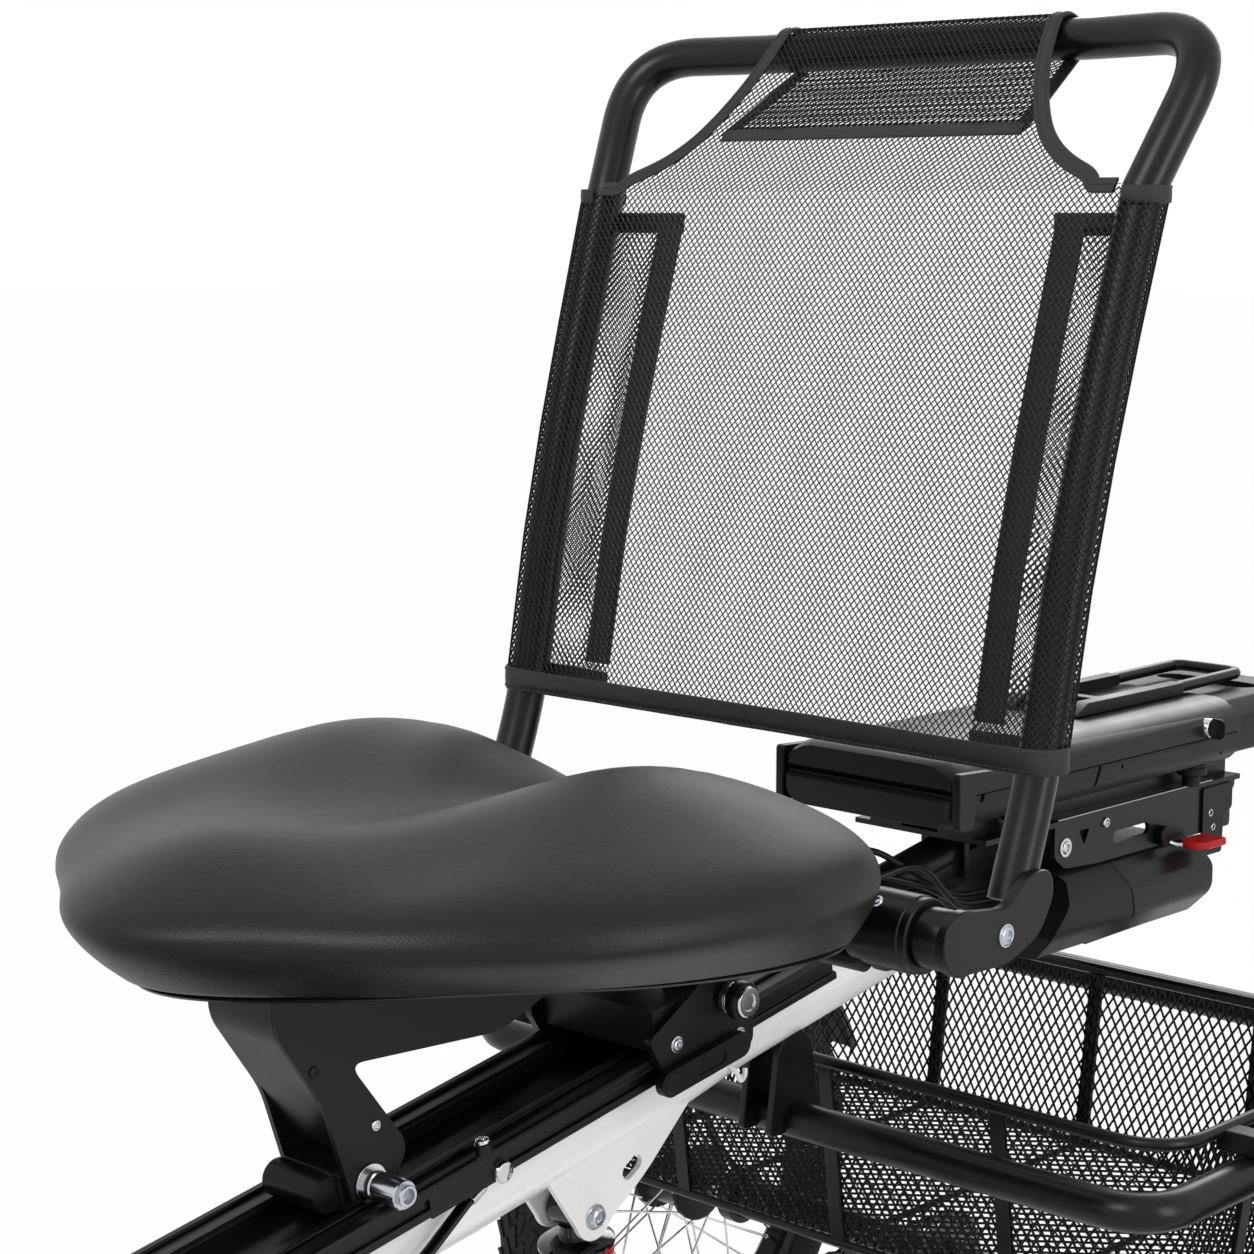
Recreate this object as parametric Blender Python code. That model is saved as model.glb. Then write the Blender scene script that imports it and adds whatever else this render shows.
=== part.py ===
"""A three-wheel electric scooter with a sliding saddle, a reclining mesh backrest and a rear basket.

The front wheel points towards -Y, the rider's left hand towards +X, and the ground is Z = 0.
"""
import math

import bmesh
import bpy
from mathutils import Matrix, Vector

# Driving dimensions, in metres.

# Running clearances.
SEAT_GAP = 0.0003
SLIDE_GAP = 0.0008
SPIN_GAP = 0.0012
RUN_GAP = 0.0004

# Wheels.
FRONT_AXLE = Vector((0.0, -0.675, 0.250))
FRONT_RADIUS = 0.250
FRONT_TYRE = 0.052
REAR_AXLE = Vector((0.0, 0.635, 0.203))
REAR_RADIUS = 0.203
REAR_TYRE = 0.054
REAR_TRACK = 0.360
TYRE_STEPS = 24
TYRE_DEPTH = 0.036
GUARD_GAP = 0.019
GUARD_WALL = 0.003

# Steering.
HEAD_TILT = math.radians(15.0)
FORK_OFFSET = 0.040
HEAD_LOW = 0.366
FORK_TRAVEL = 0.040
LEG_SPREAD = 0.056
STANCHION_RADIUS = 0.014
LOWER_RADIUS = 0.018
STEERER_RADIUS = 0.014
HEAD_RADIUS = 0.023
HEAD_LENGTH = 0.145
RISER_RADIUS = 0.017
POST_RADIUS = 0.0125
BAR_RADIUS = 0.011
GRIP_RADIUS = 0.016
GRIP_LENGTH = 0.108

# Frame and seat rail. U runs rearwards along the rail and V square to it.
RAIL_TILT = math.radians(10.6)
RAIL_POINT = Vector((0.0, 0.166, 0.503))
RAIL_HEIGHT = 0.020
RAIL_WIDTH = 0.026
RAIL_HALF = 0.050
RAIL_FRONT = -0.475
RAIL_REAR = 0.180
TUBE_RADIUS = 0.026
TUBE_REAR_RADIUS = 0.0225
TUBE_DROP = RAIL_HEIGHT + 0.0265
TUBE_REAR = 0.340
CRANK_AXIS = Vector((0.0, -0.330, 0.320))
CRANK_LENGTH = 0.145
CRANK_OUT = 0.078
SHELL_RADIUS = 0.021
SLEEVE_RADIUS = 0.018
SPINDLE_RADIUS = 0.010

# Seat.
PIVOT = Vector((0.0, 0.225, 0.600))
SADDLE_BASE = 0.6053
SADDLE_REAR = 0.203
SADDLE_FRONT = -0.227
SADDLE_HALF = 0.236
BRACKET_HALF = 0.030
SHEET = 0.004
CROSSBAR_RADIUS = 0.0155
DRUM_RADIUS = 0.0245
DRUM_INNER = 0.170
DRUM_OUTER = 0.220
LUG_INNER = 0.2415
LUG_OUTER = 0.2475
BACK_TUBE = 0.014

# Rear frame, basket and suspension.
CROSS_TUBE = Vector((0.0, 0.345, 0.410))
ARM_SPREAD = REAR_TRACK - 0.055
ARM_RADIUS = 0.013
BASKET_FRONT = 0.395
BASKET_REAR = 0.735
BASKET_HALF = ARM_SPREAD - 0.020
BASKET_RIM = 0.437
BASKET_FLOOR = 0.298
BASKET_WIRE = 0.0045
SWING_LEG = 0.050
SWING_RADIUS = 0.0125
BEAM_RADIUS = 0.017
BEAM_HALF = REAR_TRACK - 0.060
SHOCK_TOP = Vector((0.0, 0.140, 0.395))
SHOCK_FOOT = Vector((0.0, 0.160, 0.272))
SHOCK_EYE_HALF = 0.0130
SPRING_RADIUS = 0.0215
SPRING_WIRE = 0.0038
SPRING_TURNS = 6

# Battery and its dock.
BATTERY_HALF = 0.080
BATTERY_FRONT = 0.435
BATTERY_SEAM = 0.805
BATTERY_REAR = BATTERY_SEAM + 0.1195
BATTERY_LOW = 0.607
LID_LINE = BATTERY_LOW + 0.0245
BATTERY_HIGH = LID_LINE + 0.0245
KEY_PLACE = Vector((0.074, BATTERY_SEAM - 0.045, LID_LINE + 0.0075))
DOCK_HALF = 0.060

# Chain drive.
CHAIN_X = -0.070
CHAINRING_RADIUS = 0.055
SPROCKET_RADIUS = 0.034
CHAIN_HALF = 0.0035
CHAIN_WIDTH = 0.007
LINK_ANGLE = 0.36


def clear_scene():
    """Remove whatever the file opened with."""
    for old in list(bpy.data.objects):
        bpy.data.objects.remove(old)


def material(name, colour, roughness, metallic=0.0):
    """Make a Principled material."""
    made = bpy.data.materials.new(name)
    made.use_nodes = True
    shader = made.node_tree.nodes["Principled BSDF"]
    shader.inputs["Base Color"].default_value = (*colour, 1.0)
    shader.inputs["Roughness"].default_value = roughness
    shader.inputs["Metallic"].default_value = metallic
    return made


def rail_point(u, v, x=0.0):
    """Return the point that lies u along the seat rail and v above its top face."""
    along = Vector((0.0, math.cos(RAIL_TILT), math.sin(RAIL_TILT)))
    above = Vector((0.0, -math.sin(RAIL_TILT), math.cos(RAIL_TILT)))
    return RAIL_POINT + along * u + above * v + Vector((x, 0.0, 0.0))


def head_point(s, ahead=0.0, x=0.0):
    """Return the point s up the steering axis from the front axle's height, and so far ahead."""
    up = Vector((0.0, math.sin(HEAD_TILT), math.cos(HEAD_TILT)))
    front = Vector((0.0, -math.cos(HEAD_TILT), math.sin(HEAD_TILT)))
    return FRONT_AXLE + up * s + front * (ahead - FORK_OFFSET) + Vector((x, 0.0, 0.0))


def mesh_object(bm, name="form"):
    """Turn a bmesh into a linked object."""
    mesh = bpy.data.meshes.new(name)
    bm.to_mesh(mesh)
    bm.free()
    made = bpy.data.objects.new(name, mesh)
    bpy.context.scene.collection.objects.link(made)
    return made


def close(bm):
    """Merge doubled points and turn the faces of a closed mesh outwards."""
    bmesh.ops.remove_doubles(bm, verts=bm.verts, dist=0.00001)
    bmesh.ops.recalc_face_normals(bm, faces=bm.faces)


def basis(origin, z_axis, x_hint=(1.0, 0.0, 0.0)):
    """Return a matrix that takes local Z to z_axis and local X near x_hint, at origin."""
    z_way = Vector(z_axis).normalized()
    y_way = z_way.cross(Vector(x_hint)).normalized()
    x_way = y_way.cross(z_way)
    turn = Matrix((x_way, y_way, z_way)).transposed().to_4x4()
    return Matrix.Translation(Vector(origin)) @ turn


def rod(start, end, radius, sides=12, end_radius=None):
    """Make a straight round bar, tapered if end_radius is given."""
    start = Vector(start)
    end = Vector(end)
    way = end - start
    hint = (1.0, 0.0, 0.0) if abs(way.normalized().x) < 0.9 else (0.0, 1.0, 0.0)
    bm = bmesh.new()
    top = radius if end_radius is None else end_radius
    half_step = Matrix.Rotation(math.pi / sides, 4, "Z")
    place = basis((start + end) / 2.0, way, hint) @ half_step
    bmesh.ops.create_cone(bm, cap_ends=True, segments=sides, radius1=radius, radius2=top,
                          depth=way.length, matrix=place)
    return mesh_object(bm)


def flats(radius, sides):
    """Return the corner radius of a many-sided bore whose flats touch a circle."""
    return radius / math.cos(math.pi / sides)


def ring(start, end, outer, inner, sides=16):
    """Make a straight hollow bar, open at both ends. The inner radius is the one its flats touch."""
    way = Vector(end) - Vector(start)
    inner = flats(inner, sides)
    profile = [(inner, 0.0), (outer, 0.0), (outer, way.length), (inner, way.length)]
    return turned(profile, start, way, sides)


def turned(profile, origin, axis, steps=24, closed=True):
    """Spin a closed outline of (radius, height) points around an axis that starts at origin."""
    way = Vector(axis)
    hint = (1.0, 0.0, 0.0) if abs(way.normalized().x) < 0.9 else (0.0, 1.0, 0.0)
    bm = bmesh.new()
    points = [bm.verts.new((radius, 0.0, height)) for radius, height in profile]
    pairs = list(zip(points, points[1:]))
    if closed:
        pairs.append((points[-1], points[0]))
    edges = [bm.edges.new(pair) for pair in pairs]
    bmesh.ops.spin(bm, geom=points + edges, cent=(0, 0, 0), axis=(0, 0, 1),
                   angle=math.tau, steps=steps, use_duplicate=False)
    close(bm)
    half_step = Matrix.Rotation(math.pi / steps, 4, "Z")
    bmesh.ops.transform(bm, matrix=basis(origin, way, hint) @ half_step, verts=bm.verts)
    return mesh_object(bm)


def plate(outline, low, high, along="X", bevel=0.0):
    """Extrude an outline along X, Y or Z. Its points hold the other two coordinates in order."""
    bm = bmesh.new()
    order = {"X": lambda a, b, c: (c, a, b), "Y": lambda a, b, c: (a, c, b), "Z": lambda a, b, c: (a, b, c)}
    points = [bm.verts.new(order[along](a, b, low)) for a, b in outline]
    face = bm.faces.new(points)
    grown = bmesh.ops.extrude_face_region(bm, geom=[face])
    moved = [item for item in grown["geom"] if isinstance(item, bmesh.types.BMVert)]
    shift = Vector(order[along](0.0, 0.0, high - low))
    bmesh.ops.translate(bm, vec=shift, verts=moved)
    close(bm)
    if bevel:
        bmesh.ops.bevel(bm, geom=list(bm.edges), offset=bevel, segments=1, affect="EDGES")
    return mesh_object(bm)


def box(low, high, bevel=0.0, frame=None):
    """Make a box between two corners, in the space of frame if one is given."""
    bm = bmesh.new()
    middle = (Vector(low) + Vector(high)) / 2.0
    size = Vector(high) - Vector(low)
    bmesh.ops.create_cube(bm, size=1.0)
    bmesh.ops.scale(bm, vec=size, verts=bm.verts)
    bmesh.ops.translate(bm, vec=middle, verts=bm.verts)
    if bevel:
        bmesh.ops.bevel(bm, geom=list(bm.edges), offset=bevel, segments=2, affect="EDGES",
                        clamp_overlap=True)
    if frame is not None:
        bmesh.ops.transform(bm, matrix=frame, verts=bm.verts)
    return mesh_object(bm)


def tube(points, radius, resolution=3, radii=None, cyclic=False):
    """Sweep a round section along points, with closed ends."""
    curve = bpy.data.curves.new("path", "CURVE")
    curve.dimensions = "3D"
    curve.bevel_depth = radius
    curve.bevel_resolution = resolution
    curve.use_fill_caps = True
    spline = curve.splines.new("POLY")
    spline.points.add(len(points) - 1)
    for index, point in enumerate(points):
        spline.points[index].co = (*point, 1.0)
        spline.points[index].radius = radii[index] if radii else 1.0
    spline.use_cyclic_u = cyclic
    guide = bpy.data.objects.new("path", curve)
    bpy.context.scene.collection.objects.link(guide)
    bpy.context.view_layer.update()
    mesh = bpy.data.meshes.new_from_object(guide.evaluated_get(bpy.context.evaluated_depsgraph_get()))
    bpy.data.objects.remove(guide)
    bm = bmesh.new()
    bm.from_mesh(mesh)
    close(bm)
    return mesh_object(bm)


def rounded(corners, bend, steps=4, cyclic=False):
    """Round each inner corner of a path with an arc of the given bend radius."""
    corners = [Vector(corner) for corner in corners]
    count = len(corners)
    path = []
    for index, corner in enumerate(corners):
        if not cyclic and index in (0, count - 1):
            path.append(corner)
            continue
        back = (corners[index - 1] - corner).normalized()
        ahead = (corners[(index + 1) % count] - corner).normalized()
        half = back.angle(ahead) / 2.0
        reach = bend / math.tan(half)
        centre = corner + (back + ahead).normalized() * (bend / math.sin(half))
        first = corner + back * reach - centre
        last = corner + ahead * reach - centre
        for step in range(steps + 1):
            share = step / steps
            spoke = first * (1.0 - share) + last * share
            path.append(centre + spoke.normalized() * bend)
    return path


def arc(centre, radius, start, end, steps):
    """Return points on an arc in a plane, with angles in degrees."""
    points = []
    for step in range(steps + 1):
        angle = math.radians(start + (end - start) * step / steps)
        points.append((centre[0] + radius * math.cos(angle), centre[1] + radius * math.sin(angle)))
    return points


def boolean(base, others, operation):
    """Join or cut a solid with others, which are used up."""
    group = bpy.data.collections.new("operands")
    bpy.context.scene.collection.children.link(group)
    for other in others:
        bpy.context.scene.collection.objects.unlink(other)
        group.objects.link(other)
    step = base.modifiers.new("boolean", "BOOLEAN")
    step.operation = operation
    step.solver = "EXACT"
    step.use_self = True
    step.operand_type = "COLLECTION"
    step.collection = group
    bpy.context.view_layer.update()
    mesh = bpy.data.meshes.new_from_object(base.evaluated_get(bpy.context.evaluated_depsgraph_get()))
    base.modifiers.clear()
    base.data = mesh
    for other in others:
        bpy.data.objects.remove(other)
    bpy.data.collections.remove(group)
    return base


def fuse(base, *others):
    """Join solids into one."""
    return boolean(base, others, "UNION")


def cut(base, *others):
    """Cut solids out of one."""
    return boolean(base, others, "DIFFERENCE")


def carry(made, carrier):
    """Let an object ride on a body's empty without moving it."""
    made.parent = carrier
    made.matrix_parent_inverse = carrier_place(carrier).inverted()


def carrier_place(carrier):
    """Return where an empty stands, through the empties that carry it."""
    place = Matrix.Translation(carrier.location)
    if carrier.parent is None:
        return place
    return carrier_place(carrier.parent) @ carrier.matrix_parent_inverse @ place


def pivot(name, place, carrier=None):
    """Make the empty that a moving body turns or slides on, carried by another if one is given."""
    made = bpy.data.objects.new(name, None)
    made.location = place
    made.empty_display_size = 0.03
    bpy.context.scene.collection.objects.link(made)
    if carrier is not None:
        carry(made, carrier)
    return made


def piece(name, made, finish, carrier=None):
    """Name a solid, give it its material and carry it on its body's empty."""
    made.name = name
    made.data.name = name
    made.data.materials.clear()
    made.data.materials.append(finish)
    made.data.shade_smooth()
    made.data.set_sharp_from_angle(angle=math.radians(35.0))
    if carrier is not None:
        carry(made, carrier)
    return made


clear_scene()

WHITE = material("gloss white enamel", (0.80, 0.80, 0.80), 0.30)
BLACK = material("satin black powder coat", (0.012, 0.012, 0.013), 0.42)
MATTE = material("matt black plastic", (0.015, 0.015, 0.016), 0.60)
HIDE = material("black imitation leather", (0.018, 0.018, 0.019), 0.50)
NET = material("black netting", (0.010, 0.010, 0.010), 0.80)
RUBBER = material("tyre rubber", (0.020, 0.020, 0.020), 0.85)
BRIGHT = material("bright zinc", (0.62, 0.62, 0.63), 0.25, 1.0)
STEEL = material("brushed steel", (0.45, 0.45, 0.46), 0.38, 1.0)
RED = material("red plastic", (0.55, 0.01, 0.01), 0.40)
LENS = material("clear lens", (0.80, 0.82, 0.85), 0.08)

# Empties on the joints' axes.
STEERING = pivot("steering_pivot", head_point(0.0))
FORK = pivot("fork_pivot", FRONT_AXLE, STEERING)
FRONT_SPIN = pivot("front_wheel_pivot", FRONT_AXLE, FORK)
POST = pivot("handlebar_height_pivot", head_point(0.60), STEERING)
SWING = pivot("swingarm_pivot", CRANK_AXIS)
SHOCK = pivot("shock_pivot", SHOCK_TOP)
ROD = pivot("shock_rod_pivot", SHOCK_FOOT, SHOCK)
SPROCKET_SPIN = pivot("sprocket_pivot", REAR_AXLE, SWING)
CRANK_SPIN = pivot("crank_pivot", CRANK_AXIS)
REAR_SPINS = {}
PEDAL_SPINS = {}
for name, sign in (("left", 1.0), ("right", -1.0)):
    wheel_place = REAR_AXLE + Vector((sign * REAR_TRACK, 0.0, 0.0))
    pedal_place = CRANK_AXIS + Vector((sign * CRANK_OUT, 0.0, -sign * CRANK_LENGTH))
    REAR_SPINS[name] = pivot(f"rear_wheel_{name}_pivot", wheel_place, SWING)
    PEDAL_SPINS[name] = pivot(f"pedal_{name}_pivot", pedal_place, CRANK_SPIN)
SEAT = pivot("seat_pivot", rail_point(0.0, 0.0))
RECLINE = pivot("backrest_pivot", PIVOT, SEAT)
PACK = pivot("battery_pivot", Vector((0.0, BATTERY_FRONT, BATTERY_LOW)))


def tube_centre(u):
    """Return the centre of the main tube under the rail."""
    return rail_point(u, -TUBE_DROP)


def under_tube(y):
    """Return the height of the main tube's underside at a place along the machine."""
    centre = tube_centre(0.0)
    return centre.z + (y - centre.y) * math.tan(RAIL_TILT) - TUBE_RADIUS / math.cos(RAIL_TILT)


def main_frame():
    """White frame: main tube, down tube, head tube, crank shell, rail saddles and shock plates."""
    taper_front, taper_rear = 0.035, 0.130
    low_corner = Vector((0.0, -0.350, tube_centre(-0.535).z))
    high_corner = Vector((0.0, -0.430, 0.530))
    head_joint = head_point(HEAD_LOW + HEAD_LENGTH * 0.55)
    front_path = rounded([tube_centre(taper_front), low_corner, high_corner, head_joint], 0.070)
    path = [tube_centre(TUBE_REAR), tube_centre(taper_rear)] + front_path
    thin = TUBE_REAR_RADIUS / TUBE_RADIUS
    body = tube(path, TUBE_RADIUS, 3, radii=[thin, thin] + [1.0] * len(front_path))
    head = rod(head_point(HEAD_LOW), head_point(HEAD_LOW + HEAD_LENGTH), HEAD_RADIUS, 16)
    half_shell, half_sleeve = 0.040, 0.060
    shell = rod(CRANK_AXIS - Vector((half_shell, 0, 0)), CRANK_AXIS + Vector((half_shell, 0, 0)),
                SHELL_RADIUS, 16)
    sleeve = rod(CRANK_AXIS - Vector((half_sleeve, 0, 0)), CRANK_AXIS + Vector((half_sleeve, 0, 0)),
                 SLEEVE_RADIUS, 16)
    neck = rod(CRANK_AXIS, CRANK_AXIS + Vector((0.0, 0.012, 0.046)), 0.018, 12)
    added = [head, shell, sleeve, neck]
    for u in (-0.430, -0.150, 0.110):
        frame = basis(rail_point(u, -RAIL_HEIGHT - SEAT_GAP), rail_point(0, 1) - RAIL_POINT)
        deep = TUBE_DROP - RAIL_HEIGHT
        added.append(box((-0.044, -0.012, -deep), (0.044, 0.012, 0.0), 0.0, frame))
    bolt = SHOCK_TOP
    lobe = arc((bolt.y, bolt.z), 0.016, -150.0, -20.0, 4)
    outline = [(0.098, under_tube(0.098) + 0.017)] + lobe + [(0.186, 0.412), (0.232, under_tube(0.232) + 0.016)]
    for side in (-1.0, 1.0):
        inner, outer = sorted((side * 0.0155, side * 0.0205))
        added.append(plate(outline, inner, outer, "X"))
    added.append(rod(bolt - Vector((0.024, 0, 0)), bolt + Vector((0.024, 0, 0)), 0.005, 8))
    body = fuse(body, *added)
    bore = flats(STEERER_RADIUS + RUN_GAP, 16)
    steer_bore = rod(head_point(HEAD_LOW - 0.01), head_point(HEAD_LOW + HEAD_LENGTH + 0.01), bore, 16)
    far = Vector((half_sleeve + 0.01, 0, 0))
    spindle_bore = rod(CRANK_AXIS - far, CRANK_AXIS + far, flats(SPINDLE_RADIUS + RUN_GAP, 12), 12)
    window = rod(Vector((-0.03, 0.176, 0.420)), Vector((0.03, 0.176, 0.420)), 0.0065, 8)
    cut(body, steer_bore, spindle_bore, window)
    return piece("main_frame", body, WHITE)


def seat_rails():
    """Twin extruded seat rail with grooved outer faces and a web between its halves."""
    inner = RAIL_HALF - RAIL_WIDTH
    top, low = 0.0, -RAIL_HEIGHT
    groove = 0.003
    half = [(inner, low), (RAIL_HALF, low), (RAIL_HALF, low + 0.0055), (RAIL_HALF - groove, low + 0.0065),
            (RAIL_HALF - groove, low + 0.0120), (RAIL_HALF, low + 0.0130), (RAIL_HALF, top), (inner + 0.018, top),
            (inner + 0.018, -0.004), (inner + 0.008, -0.004), (inner + 0.008, top), (inner, top)]
    frame = basis(rail_point(0.0, 0.0), rail_point(1.0, 0.0) - RAIL_POINT)
    solids = []
    for side in (-1.0, 1.0):
        outline = [(side * x, -v) for x, v in half]
        bar = plate(outline, RAIL_FRONT, RAIL_REAR, "Z")
        bar.data.transform(frame)
        bar.data.update()
        solids.append(bar)
    web = box((-inner - 0.002, 0.0115, RAIL_FRONT), (inner + 0.002, 0.0145, RAIL_REAR), 0.0, frame)
    for solid in solids:
        turn_out(solid)
    body = fuse(solids[0], solids[1], web)
    return piece("seat_rails", body, BLACK)


def turn_out(made):
    """Turn a closed solid's faces outwards."""
    bm = bmesh.new()
    bm.from_mesh(made.data)
    bmesh.ops.recalc_face_normals(bm, faces=bm.faces)
    bm.to_mesh(made.data)
    bm.free()


main_frame()
seat_rails()


def rail_frame(u, v=0.0):
    """Return a space at a point of the rail: X across, Y upwards from the rail and Z forwards."""
    return basis(rail_point(u, v), RAIL_POINT - rail_point(1.0, 0.0))


def rail_plate(outline, low, high):
    """Extrude an outline of rail (u, v) points along X."""
    flat = [rail_point(u, v) for u, v in outline]
    return plate([(point.y, point.z) for point in flat], low, high, "X")


def rail_box(low, high, bevel=0.0):
    """Make a box between two corners given as (x, u, v)."""
    frame = rail_frame(0.0)
    return box((low[0], low[2], -high[1]), (high[0], high[2], -low[1]), bevel, frame)


SLIDER_TOP = 0.030
FOOT_PIN = (-0.226, 0.0100)
CLAMP_PIN = (0.062, 0.0170)
LEVER_PIN = (0.064, -0.0165)
CHEEK_INNER = RAIL_HALF + 0.0012
CHEEK_OUTER = 0.0572


def seat_slider_front():
    """Front foot: a block that rides between the bracket's plates, with a tongue in the rail."""
    u_pin, v_pin = FOOT_PIN
    block = rail_box((-0.0254, u_pin - 0.020, SEAT_GAP), (0.0254, u_pin + 0.022, 0.022))
    tongue = rail_box((-0.0228, u_pin - 0.018, -0.0100), (0.0228, u_pin + 0.020, 0.004))
    nose = rod(rail_point(u_pin - 0.026, 0.0125, -0.024), rail_point(u_pin - 0.026, 0.0125, 0.024), 0.0115,
               12)
    body = fuse(block, tongue, nose)
    bore = rod(rail_point(u_pin, v_pin, -0.04), rail_point(u_pin, v_pin, 0.04), 0.0072 + SEAT_GAP, 12)
    cut(body, bore)
    return piece("seat_slider_front", body, BLACK, SEAT)


def seat_pin():
    """Bright pin that joins the seat bracket to its front foot, with its barrel outside."""
    u_pin, v_pin = FOOT_PIN
    shank = rod(rail_point(u_pin, v_pin, -0.034), rail_point(u_pin, v_pin, 0.040), 0.0072, 12)
    barrel = rod(rail_point(u_pin, v_pin, BRACKET_HALF + SEAT_GAP), rail_point(u_pin, v_pin, 0.064),
                 0.0092, 16)
    far_head = rod(rail_point(u_pin, v_pin, -BRACKET_HALF - SEAT_GAP), rail_point(u_pin, v_pin, -0.036),
                   0.0092, 12)
    socket = rod(rail_point(u_pin, v_pin, 0.058), rail_point(u_pin, v_pin, 0.070), 0.004, 6)
    body = fuse(shank, barrel, far_head)
    cut(body, socket)
    return piece("seat_pin", body, BRIGHT, SEAT)


def over_rail(y, share):
    """Return the (y, z) that lies at a share of the height from the rail's top to the saddle."""
    rail_z = RAIL_POINT.z + (y - RAIL_POINT.y) * math.tan(RAIL_TILT)
    return y, rail_z + share * (SADDLE_BASE - SEAT_GAP - rail_z)


def seat_bracket():
    """Folded sheet arm under the saddle, from the front foot back to the pivot bar."""
    u_pin = FOOT_PIN[0]
    foot_front = rail_point(u_pin - 0.014, 0.0012)
    foot_rear = rail_point(u_pin + 0.016, 0.0012)
    top = SADDLE_BASE - SEAT_GAP
    rear_end = 0.2035
    front_edge = [(-0.126, top), over_rail(-0.128, 0.8153), over_rail(-0.091, 0.4537),
                  (foot_front.y, foot_front.z)]
    rear_edge = [(foot_rear.y, foot_rear.z), over_rail(-0.027, 0.1457), over_rail(-0.072, 0.5974),
                 over_rail(0.048, 0.4762), over_rail(0.090, 0.5784), over_rail(0.180, 0.6478),
                 over_rail(rear_end, 0.7368), (rear_end, top)]
    solids = []
    for side in (-1.0, 1.0):
        low, high = sorted((side * (BRACKET_HALF - SHEET), side * BRACKET_HALF))
        solids.append(plate(front_edge + rear_edge, low, high, "X"))
    half = BRACKET_HALF - SHEET / 2.0
    roof = box((-half, -0.126, top - SHEET), (half, rear_end, top))
    web_top = [(-0.1265, top), over_rail(-0.1285, 0.8154), over_rail(-0.0915, 0.4540),
               over_rail(-0.068, 0.2112)]
    web_low = [over_rail(-0.0645, 0.2214), over_rail(-0.088, 0.4717), over_rail(-0.1245, 0.8209),
               (-0.1225, top)]
    web = plate(web_top + web_low, -half, half, "X")
    body = fuse(solids[0], solids[1], roof, web)
    v_pin = FOOT_PIN[1]
    cut(body, rod(rail_point(u_pin, v_pin, -0.05), rail_point(u_pin, v_pin, 0.05), 0.0072 + SEAT_GAP, 12))
    return piece("seat_bracket", body, BLACK, SEAT)


def seat_slider_rear():
    """Rear clamp that grips the rail from both sides and carries the pivot bar."""
    cheek = [(-0.0124, 0.0155), (0.0388, 0.0334), (0.0500, 0.0440), (0.0750, 0.0310),
             (0.0870, 0.0050), (0.0827, -0.0250), (0.0038, -0.0231)]
    solids = []
    for side in (-1.0, 1.0):
        low, high = sorted((side * CHEEK_INNER, side * CHEEK_OUTER))
        solids.append(rail_plate(cheek, low, high))
    saddle_block = rail_box((-0.0515, 0.0, SLIDE_GAP), (0.0515, 0.078, SLIDER_TOP))
    ear = [(0.028, 0.024), (0.088, 0.024), (0.0945, 0.0790)]
    pivot_u, pivot_v = rail_place(PIVOT)
    ear += [(pivot_u + 0.0193 * math.cos(math.radians(a)), pivot_v + 0.0193 * math.sin(math.radians(a)))
            for a in (0, 45, 90, 135, 180)]
    for side in (-1.0, 1.0):
        low, high = sorted((side * (BRACKET_HALF + SEAT_GAP), side * 0.0363))
        solids.append(rail_plate(ear, low, high))
    body = fuse(saddle_block, *solids)
    tunnel = rod(PIVOT - Vector((0.06, 0, 0)), PIVOT + Vector((0.06, 0, 0)), CROSSBAR_RADIUS + SEAT_GAP, 16)
    under = rod(PIVOT + Vector((-0.06, -0.003, -0.021)), PIVOT + Vector((0.06, -0.003, -0.021)), 0.0093, 12)
    bolt_bore = rod(rail_point(*CLAMP_PIN, 0.045), rail_point(*CLAMP_PIN, 0.07), 0.0052, 12)
    cut(body, tunnel, under, bolt_bore)
    return piece("seat_slider_rear", body, BLACK, SEAT)


def rail_place(point):
    """Return the rail's (u, v) of a point."""
    offset = Vector(point) - RAIL_POINT
    along = offset.y * math.cos(RAIL_TILT) + offset.z * math.sin(RAIL_TILT)
    above = -offset.y * math.sin(RAIL_TILT) + offset.z * math.cos(RAIL_TILT)
    return along, above


def clamp_bolt():
    """Bright barrel nut on the outer side of the rear clamp."""
    shank = rod(rail_point(*CLAMP_PIN, 0.0525), rail_point(*CLAMP_PIN, 0.060), 0.0049, 12)
    head = rod(rail_point(*CLAMP_PIN, CHEEK_OUTER + SEAT_GAP), rail_point(*CLAMP_PIN, 0.0790), 0.0105, 16)
    socket = rod(rail_point(*CLAMP_PIN, 0.074), rail_point(*CLAMP_PIN, 0.090), 0.0042, 6)
    body = fuse(shank, head)
    cut(body, socket)
    return piece("clamp_bolt", body, BRIGHT, SEAT)


def seat_release_lever():
    """Rounded bar lever on the clamp's outer side, which frees the seat on its rail."""
    u_pin, v_pin = LEVER_PIN
    u_tip, v_tip = -0.004, -0.0155
    half = 0.0085
    outline = [(u_tip + half * math.cos(math.radians(a)), v_tip + half * math.sin(math.radians(a)))
               for a in range(90, 271, 36)]
    outline += [(u_pin + half * math.cos(math.radians(a)), v_pin + half * math.sin(math.radians(a)))
                for a in range(-90, 91, 36)]
    bar = rail_plate(outline, CHEEK_OUTER + 0.0006, 0.0650)
    return piece("seat_release_lever", bar, BLACK, LEVER)


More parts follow.
